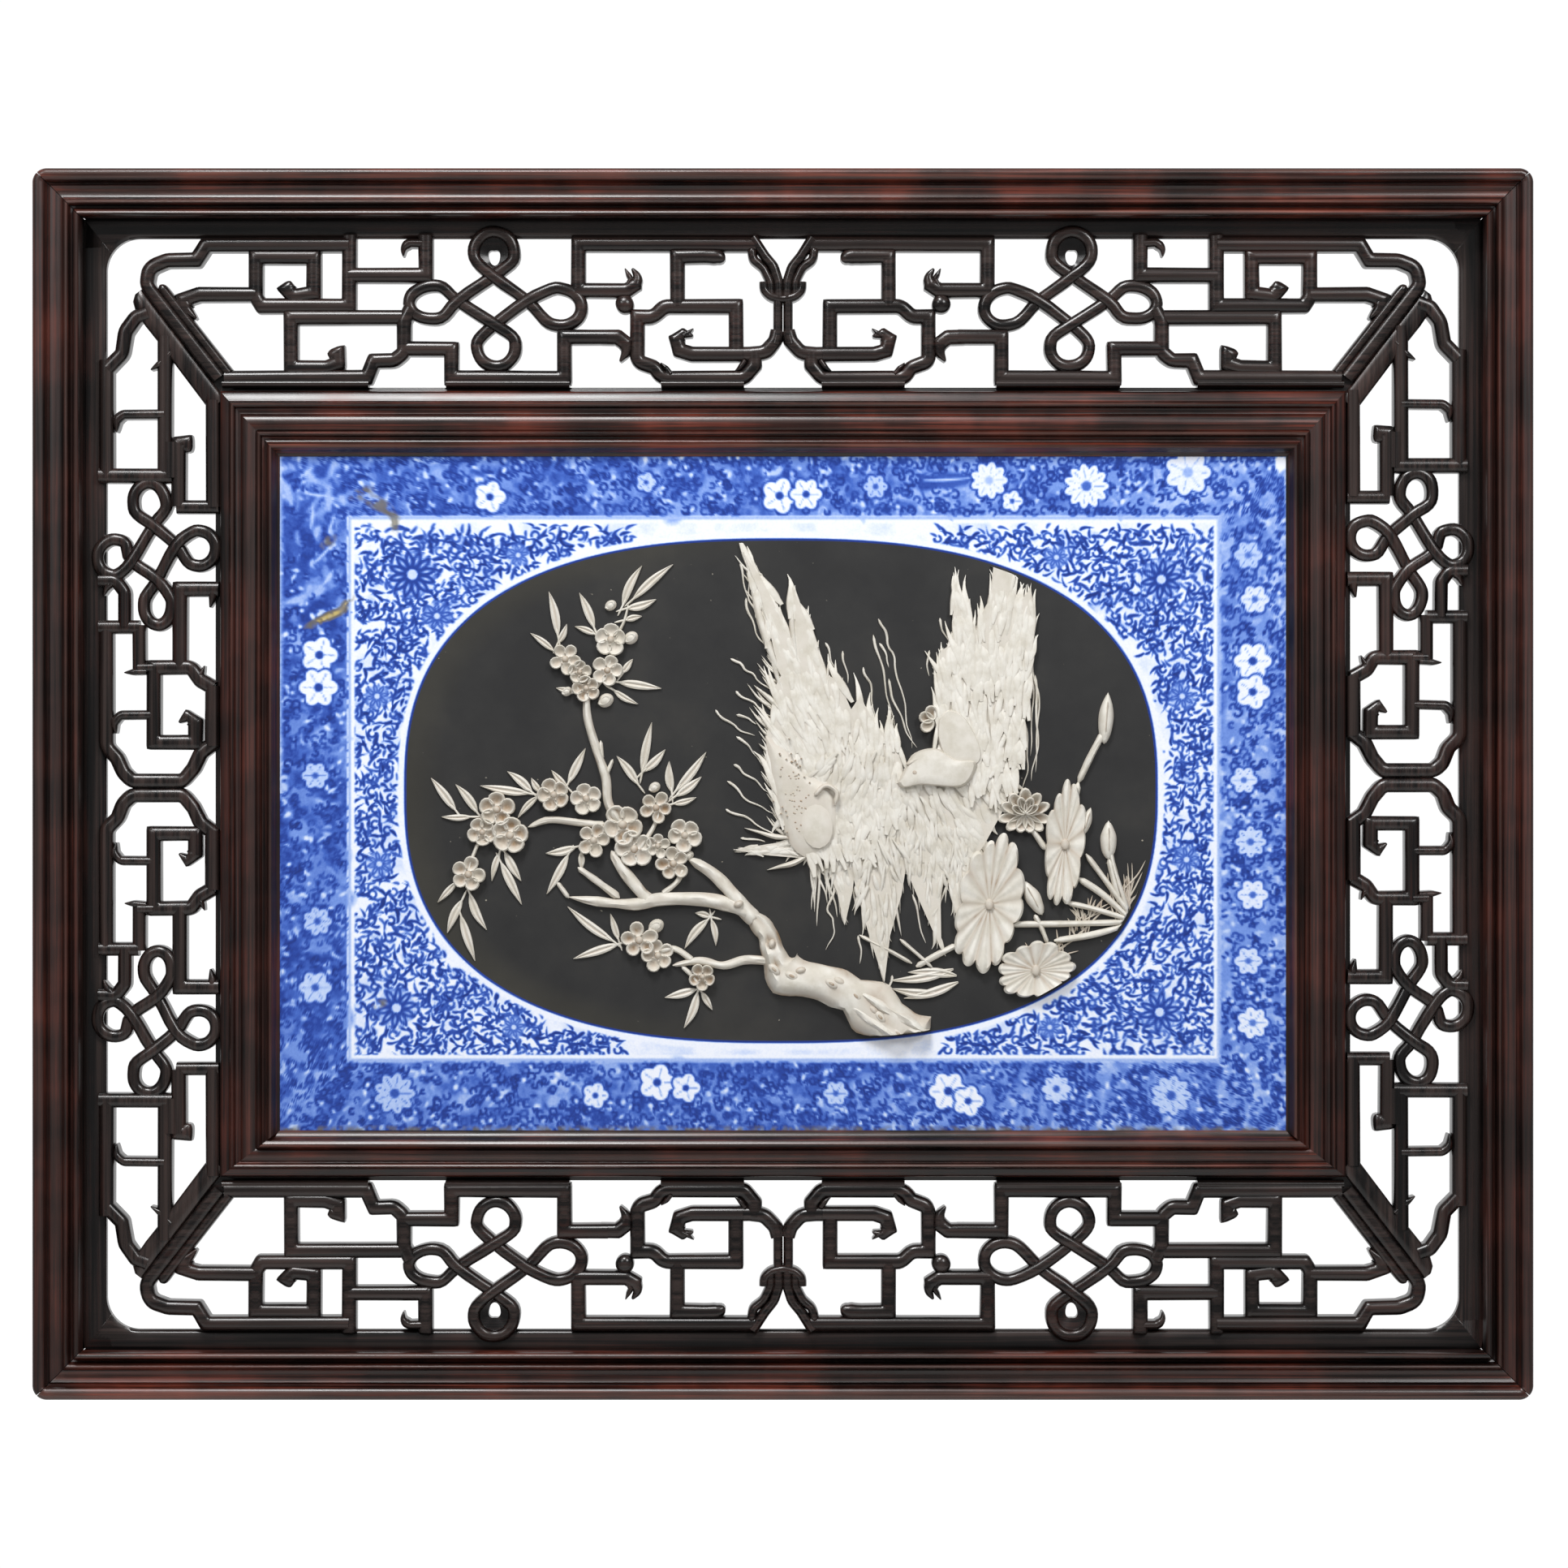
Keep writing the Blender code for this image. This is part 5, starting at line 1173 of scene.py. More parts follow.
# %% Finishes of the plaque
def painted_glaze():
    """Cobalt blue under clear glaze, read from the cobalt and stain numbers of each point."""
    material, shader, spot, add = new_material("cobalt_under_glaze")
    ink = add("Attribute", {}, attribute_name="cobalt")
    speck = add("TexNoise", {"Vector": spot, "Scale": 900.0, "Detail": 2.0, "Roughness": 0.6})
    pooled = add("Math", {0: (speck, "Fac"), 1: 0.14, 2: -0.07}, operation="MULTIPLY_ADD")
    amount = add("Math", {0: (ink, "Fac"), 1: (pooled, "Value")}, operation="ADD")
    blue = set_ramp(add("ValToRGB", {"Fac": (amount, "Value")}),
                    [(0.03, "#e8ecf6"), (0.22, "#b4c8ee"), (0.42, "#7394dc"), (0.62, "#4265be"),
                     (0.8, "#27449c"), (0.97, "#20347c")])
    mark = add("Attribute", {}, attribute_name="stain")
    tone = set_ramp(add("ValToRGB", {"Fac": (mark, "Fac")}),
                    [(0.3, "#747059"), (0.6, "#6b6650"), (0.75, "#8f8048"), (0.92, "#cbb658")])
    share = add("MapRange", {"Value": (mark, "Fac"), "From Min": 0.1, "From Max": 0.5, "To Max": 0.8})
    colour = add("Mix", {0: (share, "Result"), 6: (blue, "Color"), 7: (tone, "Color")}, data_type="RGBA")
    wave = add("TexNoise", {"Vector": spot, "Scale": 55.0, "Detail": 2.0})
    bump = add("Bump", {"Height": (wave, "Fac"), "Strength": 0.25, "Distance": 0.4 * MM})
    set_inputs(material, shader, {"Base Color": (colour, 2), "Normal": (bump, "Normal"), "Roughness": 0.16,
                                  "IOR": 1.5})
    return material


def black_reserve():
    """The oval's ground: a dull black slip, brownish near its rim, with pale specks of grit."""
    material, shader, spot, add = new_material("black_slip")
    cloud = add("TexNoise", {"Vector": spot, "Scale": 22.0, "Detail": 5.0, "Roughness": 0.65})
    ground = set_ramp(add("ValToRGB", {"Fac": (cloud, "Fac")}),
                      [(0.35, "#19191a"), (0.52, "#212121"), (0.7, "#2b2a28")])
    grit = add("TexNoise", {"Vector": spot, "Scale": 420.0, "Detail": 1.0})
    specks = add("MapRange", {"Value": (grit, "Fac"), "From Min": 0.775, "From Max": 0.82, "To Max": 0.6})
    tarnish = add("Attribute", {}, attribute_name="tarnish")
    brown = add("Mix", {0: (tarnish, "Fac"), 6: (ground, "Color"), 7: to_linear("#3b382c")},
                data_type="RGBA")
    colour = add("Mix", {0: (specks, "Result"), 6: (brown, 2), 7: to_linear("#b9b2a2")}, data_type="RGBA")
    bump = add("Bump", {"Height": (cloud, "Fac"), "Strength": 0.4, "Distance": 0.5 * MM})
    set_inputs(material, shader, {"Base Color": (colour, 2), "Normal": (bump, "Normal"), "Roughness": 0.5})
    return material


glaze = painted_glaze()
slip = black_reserve()

# %% [markdown]
# The slab's face is made as three closed rings, each a grid that runs round the plaque, and one disc
# for the oval. The rings are fine where the painting is, and share their edges.

# %% The slab
BAND_ROWS, BAND_COLUMNS = 2150, 43
FIELD_ROWS, FIELD_COLUMNS = 1960, 47


def round_box(left, right, low, high, share):
    """Points round a box, anticlockwise from its left lower corner, at shares of each side: 0 to 4."""
    side, t = np.floor(share).astype(int) % 4, share % 1.0
    xs = np.choose(side, [left + t * (right - left), right, right - t * (right - left), left])
    zs = np.choose(side, [low, low + t * (high - low), high, high - t * (high - low)])
    return np.stack(np.broadcast_arrays(xs, zs), -1)


def side_shares(rows, width, height):
    """Shares round a box, spaced evenly by length, with every corner hit: the long sides take more rows."""
    long_rows = int(rows * width / (2 * (width + height)))
    short_rows = rows // 2 - long_rows
    counts = [long_rows, short_rows, long_rows, short_rows]
    return np.concatenate([k + np.arange(n) / n for k, n in enumerate(counts)])


def ring_slab(name, outer, inner, columns):
    """A flat closed ring between two outlines in canvas millimetres, painted from the canvas."""
    t = np.linspace(0, 1, columns)[None, :, None]
    flat = outer[:, None] * (1 - t) + inner[:, None] * t
    flat = np.concatenate([flat, flat[:, -1:], flat[:, :1]], axis=1)
    out = np.full(flat.shape[:2], GLAZE_FACE)
    out[:, -2:] = PLAQUE_BACK
    x, z = flat[..., 0], flat[..., 1]
    shell = Shell()
    shell.add(place(x * MM, WINDOW_MIDDLE + z * MM, out), read_canvas(cobalt, x, z), close_rows=True)
    mesh = make_piece(name, shell, glaze, "porcelain_plaque", mark="cobalt")
    add_layer(mesh, "stain", read_canvas(stain, x, z).ravel())


edge_left, edge_right = -PLAQUE_X / MM, PLAQUE_X / MM
edge_low, edge_high = (PLAQUE_BOTTOM - WINDOW_MIDDLE) / MM, (PLAQUE_TOP - WINDOW_MIDDLE) / MM
shares = side_shares(BAND_ROWS, edge_right - edge_left, edge_high - edge_low)
line_box = round_box(LINE_LEFT, LINE_RIGHT, LINE_LOW, LINE_HIGH, shares)
ring_slab("plaque_blue_band", round_box(edge_left, edge_right, edge_low, edge_high, shares), line_box,
          BAND_COLUMNS)

shares = side_shares(FIELD_ROWS, LINE_RIGHT - LINE_LEFT, LINE_HIGH - LINE_LOW)
field_edge = round_box(LINE_LEFT, LINE_RIGHT, LINE_LOW, LINE_HIGH, shares)
oval_edge = (OVAL_X, OVAL_Z) + (field_edge - (OVAL_X, OVAL_Z)) / oval_radius(*field_edge.T)[:, None]
half_way = (field_edge + oval_edge) / 2
ring_slab("plaque_field_outer", field_edge, half_way, FIELD_COLUMNS)
ring_slab("plaque_field_inner", half_way, oval_edge, FIELD_COLUMNS)

# %% The black oval
DISC_COLUMNS = 60
disc_edge = oval_edge[::4]
reach = np.concatenate([np.linspace(1.0, 0.02, DISC_COLUMNS), [0.02, 1.0]])
flat = (OVAL_X, OVAL_Z) + (disc_edge - (OVAL_X, OVAL_Z))[:, None] * reach[None, :, None]
out = np.full(flat.shape[:2], GLAZE_FACE)
out[:, -2:] = PLAQUE_BACK
near_rim = clamp((reach - 0.9) / 0.08)[None, :] * clamp(-flat[..., 0] / 90)
shell = Shell()
shell.add(place(flat[..., 0] * MM, WINDOW_MIDDLE + flat[..., 1] * MM, out), near_rim * 0.35, close_rows=True)
around = around_ring(24)
centre = place((OVAL_X + 0.021 * OVAL_A * np.cos(around)) * MM,
               WINDOW_MIDDLE + (OVAL_Z + 0.021 * OVAL_B * np.sin(around)) * MM, GLAZE_FACE)
shell.add(np.stack([centre + (0, 8 * MM, 0), centre]))
make_piece("plaque_black_oval", shell, slip, "porcelain_plaque", mark="tarnish")
# %% [markdown]
# The figures were modelled in white clay and fired on to the black ground without a glaze. Everything
# is a low shape that rises from the slab: limbs (branches, stems, feathers) are rounded strips along a
# smooth path, petals and leaves are small shells with a raised edge or a crease.
# The clay is ivory. Its hollows, creases and the feet of its shapes are painted brown: partly dirt that has
# stayed there, partly painted shade where the relief meets the slab and folds in, so each point carries a
# number that is high in a hollow.

# %% Rounded strips and small shells
FACE = GLAZE_FACE / MM
ROOT = FACE - 0.5
PEAK = RELIEF_TOP / MM - 0.15
RIM_SHARE = 0.991
LIMB_SHARES = np.array([-1.0, -0.9, -0.6, -0.25, 0.1, 0.45, 0.8, 1.0])
clay_hand = np.random.default_rng(77)


def relief_point(x, z, out):
    """Points of the relief from millimetres, kept in the oval: middle + (p - middle) * rim / share."""
    pull = np.minimum(1.0, RIM_SHARE / np.maximum(oval_radius(x, z), 0.1))
    x, z = OVAL_X + (x - OVAL_X) * pull, OVAL_Z + (z - OVAL_Z) * pull
    return place(x * MM, WINDOW_MIDDLE + z * MM, np.clip(out, ROOT, PEAK) * MM)


def press(shell, x, z, out, hollow_shade_and_dirt):
    """Presses one closed form on to the slab; its number, 0 to 1, says where brown is painted: dirt, and
    painted shade in hollows and at the foot.
    """
    shell.add(relief_point(x, z, out), clamp(hollow_shade_and_dirt))


def turned(x, z, u, v, turn):
    """Points u along and v across a heading from (x, z): x + u cos - v sin, z + u sin + v cos."""
    return x + u * cos(turn) - v * sin(turn), z + u * sin(turn) + v * cos(turn)


def limb(shell, points, height, steps=4, bark=0.0, tip=0.15, lift=0.0, dirt_and_shade=0.0):
    """A strip along (x, z, width) points: height * (width / widest) ^ 0.5 * sqrt(1 - s^2), on a lift."""
    path = smooth_path(points, steps)
    run = np.gradient(path[:, :2], axis=0)
    run /= np.maximum(np.linalg.norm(run, axis=1, keepdims=True), 1e-6)
    left = np.stack([-run[:, 1], run[:, 0]], 1)
    at = np.linspace(0, 1, len(path))
    close = clamp(np.minimum(at / 0.04, (1 - at) / 0.1)) ** 0.6
    width = np.maximum(path[:, 2], 0.3) * (tip + (1 - tip) * close)
    s = LIMB_SHARES[None, :]
    coarse = clay_hand.normal(0, 1, (len(path) // 4 + 3, len(LIMB_SHARES)))
    where = np.linspace(0, len(coarse) - 1.01, len(path))
    low, part = where.astype(int), (where % 1)[:, None]
    noise = coarse[low] * (1 - part) + coarse[low + 1] * part
    half = width[:, None] / 2 * (1 + bark * 0.25 * noise[:, :1])
    flat = path[:, None, :2] + left[:, None] * (half * s)[..., None]
    crown = np.sqrt(clamp(1 - np.abs(s) ** 2.2))
    tall = height * (width / path[:, 2].max())[:, None] ** 0.5
    out = FACE + lift + tall * crown * (1 + bark * 0.22 * noise)
    out[:, [0, -1]] = ROOT
    # Painted shade: the strip's sides, low by the slab, get more brown, on top of its dirt share.
    press(shell, flat[..., 0], flat[..., 1], out, dirt_and_shade + (1 - crown) * 0.5 - bark * 0.5 * noise)


def petal_shell(shell, x, z, turn, length, width, low, high, cup=0.5, dirt_and_shade=0.35):
    """One petal or lobe: an oval shell whose rim stands above its middle, from low at its base to high."""
    ring = column(1.0, 1.0, 0.86, 0.55, 0.2)
    rise = column(0.0, 0.82, 1.0, 1.0 - cup, 0.9 - cup)
    around = around_ring(14)[None, :]
    u = length / 2 * (1 + ring * np.cos(around))
    v = width / 2 * ring * np.sin(around) * (0.75 + 0.25 * np.cos(around / 2) ** 2)
    out = FACE + (low + (high - low) * (0.25 + 0.75 * u / length)) * rise
    out[0] = ROOT
    # Painted shade at the petal's foot and in its cupped middle, scaled with its dirt share.
    hollow_shade_and_dirt = column(0.5, 0.2, 0.0, 0.35, 0.6) * dirt_and_shade * 2
    press(shell, *turned(x, z, u, v, turn), out, hollow_shade_and_dirt)


def bump_shell(shell, x, z, rx, rz, turn, height, lift=0.0, dirt_and_shade=0.1, sides=16):
    """A smooth rounded lump: an oval whose height is the square root of what is left of its radius."""
    ring = column(1.0, 0.97, 0.85, 0.62, 0.34, 0.06)
    around = around_ring(sides)[None, :]
    u, v = rx * ring * np.cos(around), rz * ring * np.sin(around)
    out = FACE + lift + height * np.sqrt(1 - ring ** 2)
    out[0] = ROOT
    # Painted shade: the brown grows towards the lump's foot.
    press(shell, *turned(x, z, u, v, turn), out, dirt_and_shade + 0.3 * (ring - 0.6))


def plum_blossom(shell, x, z, radius):
    """Five cupped petals round a small heart with stamens."""
    spin = clay_hand.uniform(0, 1.25)
    tilt = clay_hand.uniform(0.8, 1.15)
    base = clay_hand.uniform(1.2, 2.2)
    # grime scales the brown of each blossom: dirt and painted shade.
    grime = clay_hand.uniform(0.3, 1.1)
    for k in range(5):
        turn = spin + 2 * pi * k / 5 + clay_hand.uniform(-0.12, 0.12)
        petal_shell(shell, x + 0.12 * radius * cos(turn), z + 0.12 * radius * sin(turn), turn,
                    radius * 0.94 * clay_hand.uniform(0.92,
                            1.08), radius * 1.08 * tilt, base, base + 2.4, 0.42, grime)
    bump_shell(shell, x, z, radius * 0.24, radius * 0.24, 0, 1.5, base + 0.4, 0.75, 10)
    for k in range(5):
        turn = spin + 0.6 + 2 * pi * k / 5
        bump_shell(shell, x + 0.36 * radius * cos(turn), z + 0.36 * radius * sin(turn), 0.5, 0.5, 0,
                   0.9, base + 0.9, 0.6, 6)


def slim_leaf(shell, x0, z0, x1, z1, width, height=1.7):
    """A pointed leaf from base to tip: half-width sin(pi t ^ 0.8), a crease along its middle."""
    t = np.linspace(0, 1, 11)[:, None]
    s = np.array([-1.0, -0.92, -0.5, 0.0, 0.5, 0.92, 1.0])
    run = np.array([x1 - x0, z1 - z0])
    length = np.linalg.norm(run)
    run = run / length
    bow = clay_hand.uniform(-0.06, 0.06) * length
    half = width / 2 * np.sin(pi * np.clip(t, 0.02, 0.985) ** 0.8) ** 0.85
    aside = half * s + bow * np.sin(pi * t)
    px = x0 + run[0] * t * length - run[1] * aside
    pz = z0 + run[1] * t * length + run[0] * aside
    lift = height * (0.55 + 0.45 * np.sin(pi * t))
    out = FACE + lift * (np.array([0, 0.75, 1.0, 0.62, 1.0, 0.75, 0]))
    out[:, [0, -1]] = ROOT
    press(shell, px, pz, out, np.array([0.4, 0.2, 0.0, 0.5, 0.0, 0.2, 0.4]))


def bisque(name, fresh, worn, dirt_and_shade):
    """Unglazed white clay: ivory, greyer where it is rubbed, painted brown in its hollows for dirt and
    painted shade, with a fine grain.
    """
    material, shader, spot, add = new_material(name)
    cloud = add("TexNoise", {"Vector": spot, "Scale": 130.0, "Detail": 4.0, "Roughness": 0.6})
    body = set_ramp(add("ValToRGB", {"Fac": (cloud, "Fac")}), [(0.35, worn), (0.6, fresh)])
    hollow_shade_and_dirt = add("Attribute", {}, attribute_name="hollow_shade_and_dirt")
    patchy = add("MapRange", {"Value": (cloud, "Fac"), "From Min": 0.38, "From Max": 0.62, "To Min": 0.3,
                              "To Max": 0.95})
    amount = add("Math", {0: (hollow_shade_and_dirt, "Fac"), 1: (patchy, "Result")}, operation="MULTIPLY")
    colour = add("Mix", {0: (amount, "Value"), 6: (body, "Color"), 7: to_linear(dirt_and_shade)}, data_type="RGBA")
    bump = add("Bump", {"Height": (cloud, "Fac"), "Strength": 0.5, "Distance": 0.3 * MM})
    set_inputs(material, shader, {"Base Color": (colour, 2), "Normal": (bump, "Normal"), "Roughness": 0.55})
    return material


clay = bisque("white_bisque", "#d9d6ce", "#c6c1b5", "#8a6c48")


def hand_over_relief(name, shell):
    """Makes one relief piece of the gathered shells."""
    make_piece(name, shell, clay, "porcelain_plaque", crease=46.0, mark="hollow_shade_and_dirt")


# %% [markdown]
# The prunus: an old trunk rises from the lower right and leans left, thick and knobbly, then throws
# out young twigs with open blossoms, round buds and fans of slim leaves.

# %% The prunus branch
PX = 0.368


def picture(points):
    """Points of the picture (x right, y down) in millimetres from the window's middle."""
    p = np.array(points, float)
    return np.stack([(p[..., 0] - 966) * PX, (975.5 - p[..., 1]) * PX], -1)


LIMBS = [
    ([(68, -118, 17), (59, -112, 23), (48, -103, 24), (31.3, -91.5, 21.5), (18, -86, 18.5), (1, -81.5, 17),
        (-4.5, -72, 14.5), (-7.5, -63, 12.5), (-17, -53, 10.5)], 7.0, 1.5),
    ([(67, -110, 4), (58, -104, 6), (46, -97, 6), (33, -89, 4)], 7.4, 0.5),
    ([(60, -116, 4), (52, -111, 6), (40, -103, 6), (28, -95, 4)], 7.5, 0.5),
    ([(-13, -55, 8), (-26, -50, 7.5), (-38, -48, 7), (-55.5, -48, 6.5), (-67.5, -50.3, 5.5), (-84, -49, 4.2),
        (-97, -47, 2.6)], 5.0, 0.8),
    ([(-12, -58, 8), (-18, -52, 7.4), (-26, -42, 6), (-33, -35.5, 5), (-43.5, -29, 3.6)], 4.4, 0.8),
    ([(-60, -50, 6.6), (-65, -44, 6), (-72.8, -34.3, 5), (-77.8, -26, 3.8)], 4.0, 0.7),
    ([(-5, -76, 5), (-17, -75.5, 4.4), (-27, -78, 4.2), (-38, -76, 3.8), (-50, -78, 2.8)], 3.4, 0.7),
    ([(-40.5, -76, 3.2), (-49, -70.5, 2.8), (-57, -72, 2.4)], 2.6, 0.5),
    ([(-89, 46, 3.4), (-88.5, 34, 3.8), (-84, 18.5, 3.8), (-80.2, 6.8, 4), (-79, -4.6, 4.4), (-73, -15, 4)],
        3.4, 0.7),
    ([(-82, 15, 2.4), (-82.6, 24, 1.8)], 2.0, 0.4),
    ([(-80, 8.5, 2.2), (-77, 15.5, 1.6)], 2.0, 0.4),
    ([(-80, -14.5, 3.6), (-93, -13.2, 3.4), (-106, -12, 3.2), (-115.5, -15.3, 2.4)], 3.0, 0.6),
    ([(-97, -47.5, 2.6), (-102.5, -40, 2.0)], 2.2, 0.4),
    ([(-93, -33.5, 2.6), (-84, -40, 3.4), (-74, -47.5, 4.2)], 3.0, 0.5),
    ([(-55, -46, 3), (-48, -40, 2.6), (-45, -34, 2.2)], 2.6, 0.4),
    ([(-92, 46, 2), (-96, 53, 1.6)], 2.0, 0.3),
    ([(-86, 46, 2), (-79, 57, 1.8), (-78, 68, 1.6)], 2.0, 0.3),
    ([(-77, 68, 1.6), (-72, 78, 1.4), (-70, 86, 1.0)], 1.8, 0.2),
    ([(-66, -27, 2.4), (-58, -14, 2.0), (-55, -4, 1.4)], 2.2, 0.3),
    ([(-116, -16, 2.2), (-128, -18, 2.0), (-138, -22, 1.6)], 2.0, 0.3),
    ([(-138, -22, 1.8), (-142, -33, 1.8), (-143, -42, 1.4)], 2.0, 0.3),
    ([(-46, -78, 2.4), (-40, -84, 2.2), (-37, -90, 1.6)], 2.2, 0.3),
]
BLOOMS = [(698, 810, 19), (754, 786, 19), (750, 824, 18), (724, 846, 16), (614, 995, 21), (630, 1027, 22),
    (596, 1023, 17), (684, 977, 19), (724, 982, 19), (769, 1014, 24), (733, 1033, 20), (783, 1044, 22), (810,
    993, 19), (845, 1027, 20), (812, 1040, 15), (831, 1062, 20), (579, 1075, 21), (789, 1156, 22), (812,
    1175, 19), (867, 1201, 16), (716, 826, 14)]
BUDS = [(779, 784, 11), (754, 744, 9), (748, 861, 12), (808, 968, 9), (810, 1139, 12), (700, 850, 8),
        (850, 1052, 8)]
LEAVES_UPPER = [(655, 380, 620, 210), (655, 410, 690, 335), (640, 440, 548, 370), (795, 350, 738, 215), (800,
    375, 720, 345), (905, 265, 980, 110), (945, 240, 1100, 105), (920, 275, 1035, 240), (915, 320, 980, 305),
    (905, 525, 945, 470), (890, 560, 1055, 585), (870, 590, 965, 645), (720, 600, 648, 582), (260, 1055, 165,
    930), (345, 1065, 260, 955), (320, 1080, 205, 1080), (545, 990, 355, 960), (555, 985, 460, 905), (590,
    985, 552, 930), (580, 1000, 500, 1085), (690, 965, 630, 900), (695, 950, 762, 815), (965, 955, 882, 845),
    (980, 910, 1018, 715), (985, 905, 1070, 820), (1095, 985, 1085, 865), (1110, 980, 1228, 830), (1110,
    1000, 1210, 925), (1100, 1030, 1190, 1005)]
LEAVES_LOWER = [(725, 130, 608, 155), (695, 160, 612, 312), (745, 150, 745, 220), (430, 150, 400, 262), (450,
    150, 513, 262), (435, 190, 515, 352), (265, 265, 190, 345), (285, 335, 228, 462), (315, 310, 380, 450),
    (280, 395, 335, 570), (870, 495, 692, 360), (890, 490, 858, 388), (890, 505, 715, 562), (1245, 400, 1185,
    385), (1235, 410, 1145, 522), (1248, 410, 1265, 512), (1190, 680, 1068, 712), (1195, 690, 1142, 830),
    (1210, 690, 1252, 760)]
SKETCH = 3.136


def from_sketch(x, y, top):
    """A point of the leaf sketch in millimetres: the sketch enlarges the picture from the row top."""
    return picture((480 + x / SKETCH, top + y / SKETCH))


branch = Shell()
for points, height, bark in LIMBS:
    limb(branch, points, height, steps=7, bark=bark * 0.55, dirt_and_shade=0.12 * bark)
KNOTS = ((33, -91.5), (22, -86), (44, -101), (-4, -79.5), (52, -108.5), (4, -82.5))
for x, z in KNOTS:
    lean = clay_hand.uniform(-0.9, -0.3)
    bump_shell(branch, x, z, 3.3, 1.9, lean, 1.5, 5.6, 0.25, 14)
    bump_shell(branch, x, z, 1.5, 0.7, lean, 0.4, 6.9, 1.0, 10)
for x, z, rx, rz, turn in ((25.5, -85, 3.4, 2.0, -0.5), (8, -80, 2.6, 1.6, 0.2), (41, -98, 3.0, 1.8, -0.7),
        (-5, -68, 2.2, 1.6, 1.2), (-20, -50, 2.4, 1.6, 0.4), (52, -108, 3.2, 1.8, -0.6)):
    bump_shell(branch, x, z, rx, rz, turn, 2.2, 4.6, 0.5, 12)
for top, leaves in ((660, LEAVES_UPPER), (1000, LEAVES_LOWER)):
    for x0, y0, x1, y1 in leaves:
        base, tip = from_sketch(x0, y0, top), from_sketch(x1, y1, top)
        slim_leaf(branch, *base, *tip, 4.1 if dist(base, tip) > 14 else 3.1)
        back = unit(base - tip) * 5.0
        limb(branch, [(*(tip * 0.2 + base * 0.8), 1.0), (*base, 1.1), (*(base + back), 1.1)], 1.3, 3,
             tip=0.4)
for x, y, radius in BLOOMS:
    plum_blossom(branch, *picture((x, y)), radius * PX)
for x, y, radius in BUDS:
    (bx, bz), r = picture((x, y)), radius * PX
    bump_shell(branch, bx, bz, r * 0.85, r * 0.7, 0.6, 3.2, 0.0, 0.2)
    petal_shell(branch, bx - r * 0.8, bz - r * 0.4, 0.5, r * 1.5, r * 0.9, 2.0, 3.4, 0.1, 0.3)
hand_over_relief("relief_prunus", branch)

# %% [markdown]
# The bird: a long-tailed bird that lands with its wings thrown up. Its wings and tail are fans of
# ragged plumes, so they are laid plume by plume from root to tip over a low base, and the head is one
# smooth shape tucked against them.

# %% The bird
def inside(outline, points):
    """Which points lie in a closed outline: the count of its sides crossed by a ray to the right is odd."""
    a, b = outline, np.roll(outline, -1, axis=0)
    x, z = points[:, :1], points[:, 1:]
    spans = (a[:, 1] > z) != (b[:, 1] > z)
    rise = np.where(np.abs(b[:, 1] - a[:, 1]) < 1e-9, 1e-9, b[:, 1] - a[:, 1])
    crosses = x < a[:, 0] + (z - a[:, 1]) * (b[:, 0] - a[:, 0]) / rise
    return (spans & crosses).sum(axis=1) % 2 == 1


def tuft(shell, x, z, turn, length, width, lift, crest, bend):
    """One barb of plumage centred on a point: a slim strip, widest at a third, that sinks to its tip."""
    t = np.linspace(0, 1, 9)[:, None]
    s = np.array([-1.0, -0.8, -0.25, 0.3, 0.8, 1.0])
    half = width / 2 * np.sin(pi * np.clip(t, 0.06, 0.97) ** 0.7)
    along = (t - 0.5) * length
    aside = half * s + bend * length * (np.sin(t * 4.4) * 0.12 + (t - 0.5) ** 2)
    ridge = crest * np.sqrt(1 - s ** 2) * np.sin(pi * np.clip(t, 0.1, 0.95))
    out = FACE + lift * (1 - 0.75 * t ** 2) + ridge
    out[:, [0, -1]] = ROOT
    # Painted shade along the barb's sides, fading towards its tip.
    hollow_shade_and_dirt = np.array([0.42, 0.2, 0.0, 0.0, 0.2, 0.42]) * (1 - 0.5 * t)
    press(shell, *turned(x, z, along, aside, turn), out, hollow_shade_and_dirt)


def plumage(shell, outline, away_from, count, length, width, lift, seed):
    """Fills an outline with barbs that all point away from one point of the picture."""
    rng = np.random.default_rng(seed)
    area, source = picture(outline), picture([away_from])[0]
    spots = rng.uniform(area.min(axis=0), area.max(axis=0), (count * 6, 2))
    spots = spots[inside(area, spots)][:count]
    depth = np.linalg.norm(spots - source, axis=1)
    share = (depth - depth.min()) / max(np.ptp(depth), 1e-6)
    for (x, z), part in sorted(zip(spots.tolist(), share.tolist()), key=lambda pair: -pair[1]):
        turn = atan2(z - source[1], x - source[0]) + rng.normal(0, 0.16)
        tuft(shell, x, z, turn, length * rng.uniform(0.6, 1.35), width * rng.uniform(0.55, 1.2),
             (lift * (1 - 0.45 * part)) * rng.uniform(0.95, 1.05), rng.uniform(0.4, 0.85), rng.uniform(-0.6,
                     0.6))


def bed(shell, outline, height):
    """The thin clay under plumage: the outline itself, raised to one height."""
    flat = picture(outline)[None]
    press(shell, flat[..., 0], flat[..., 1], np.array([[ROOT], [FACE + height]]), 0.2)


def plate(shell, outline, height, dirt_and_shade=0.1, edge=0.86):
    """A crowned plate inside an outline: rings drawn in towards its middle as they rise."""
    points = smooth_path(np.concatenate([outline, outline[:1]]), 3)[:-1]
    middle = points.mean(axis=0)
    ring = np.array([1.0, 0.995, edge, 0.6, 0.3, 0.04])[:, None, None]
    flat = middle + (points - middle)[None] * ring
    out = FACE + height * column(0.0, 0.55, 0.9, 1.0, 1.0, 1.0)
    out[0] = ROOT
    # Painted shade round the plate's foot.
    press(shell, flat[..., 0], flat[..., 1], out, column(0.5, 0.4, 0.15, dirt_and_shade, dirt_and_shade, dirt_and_shade))


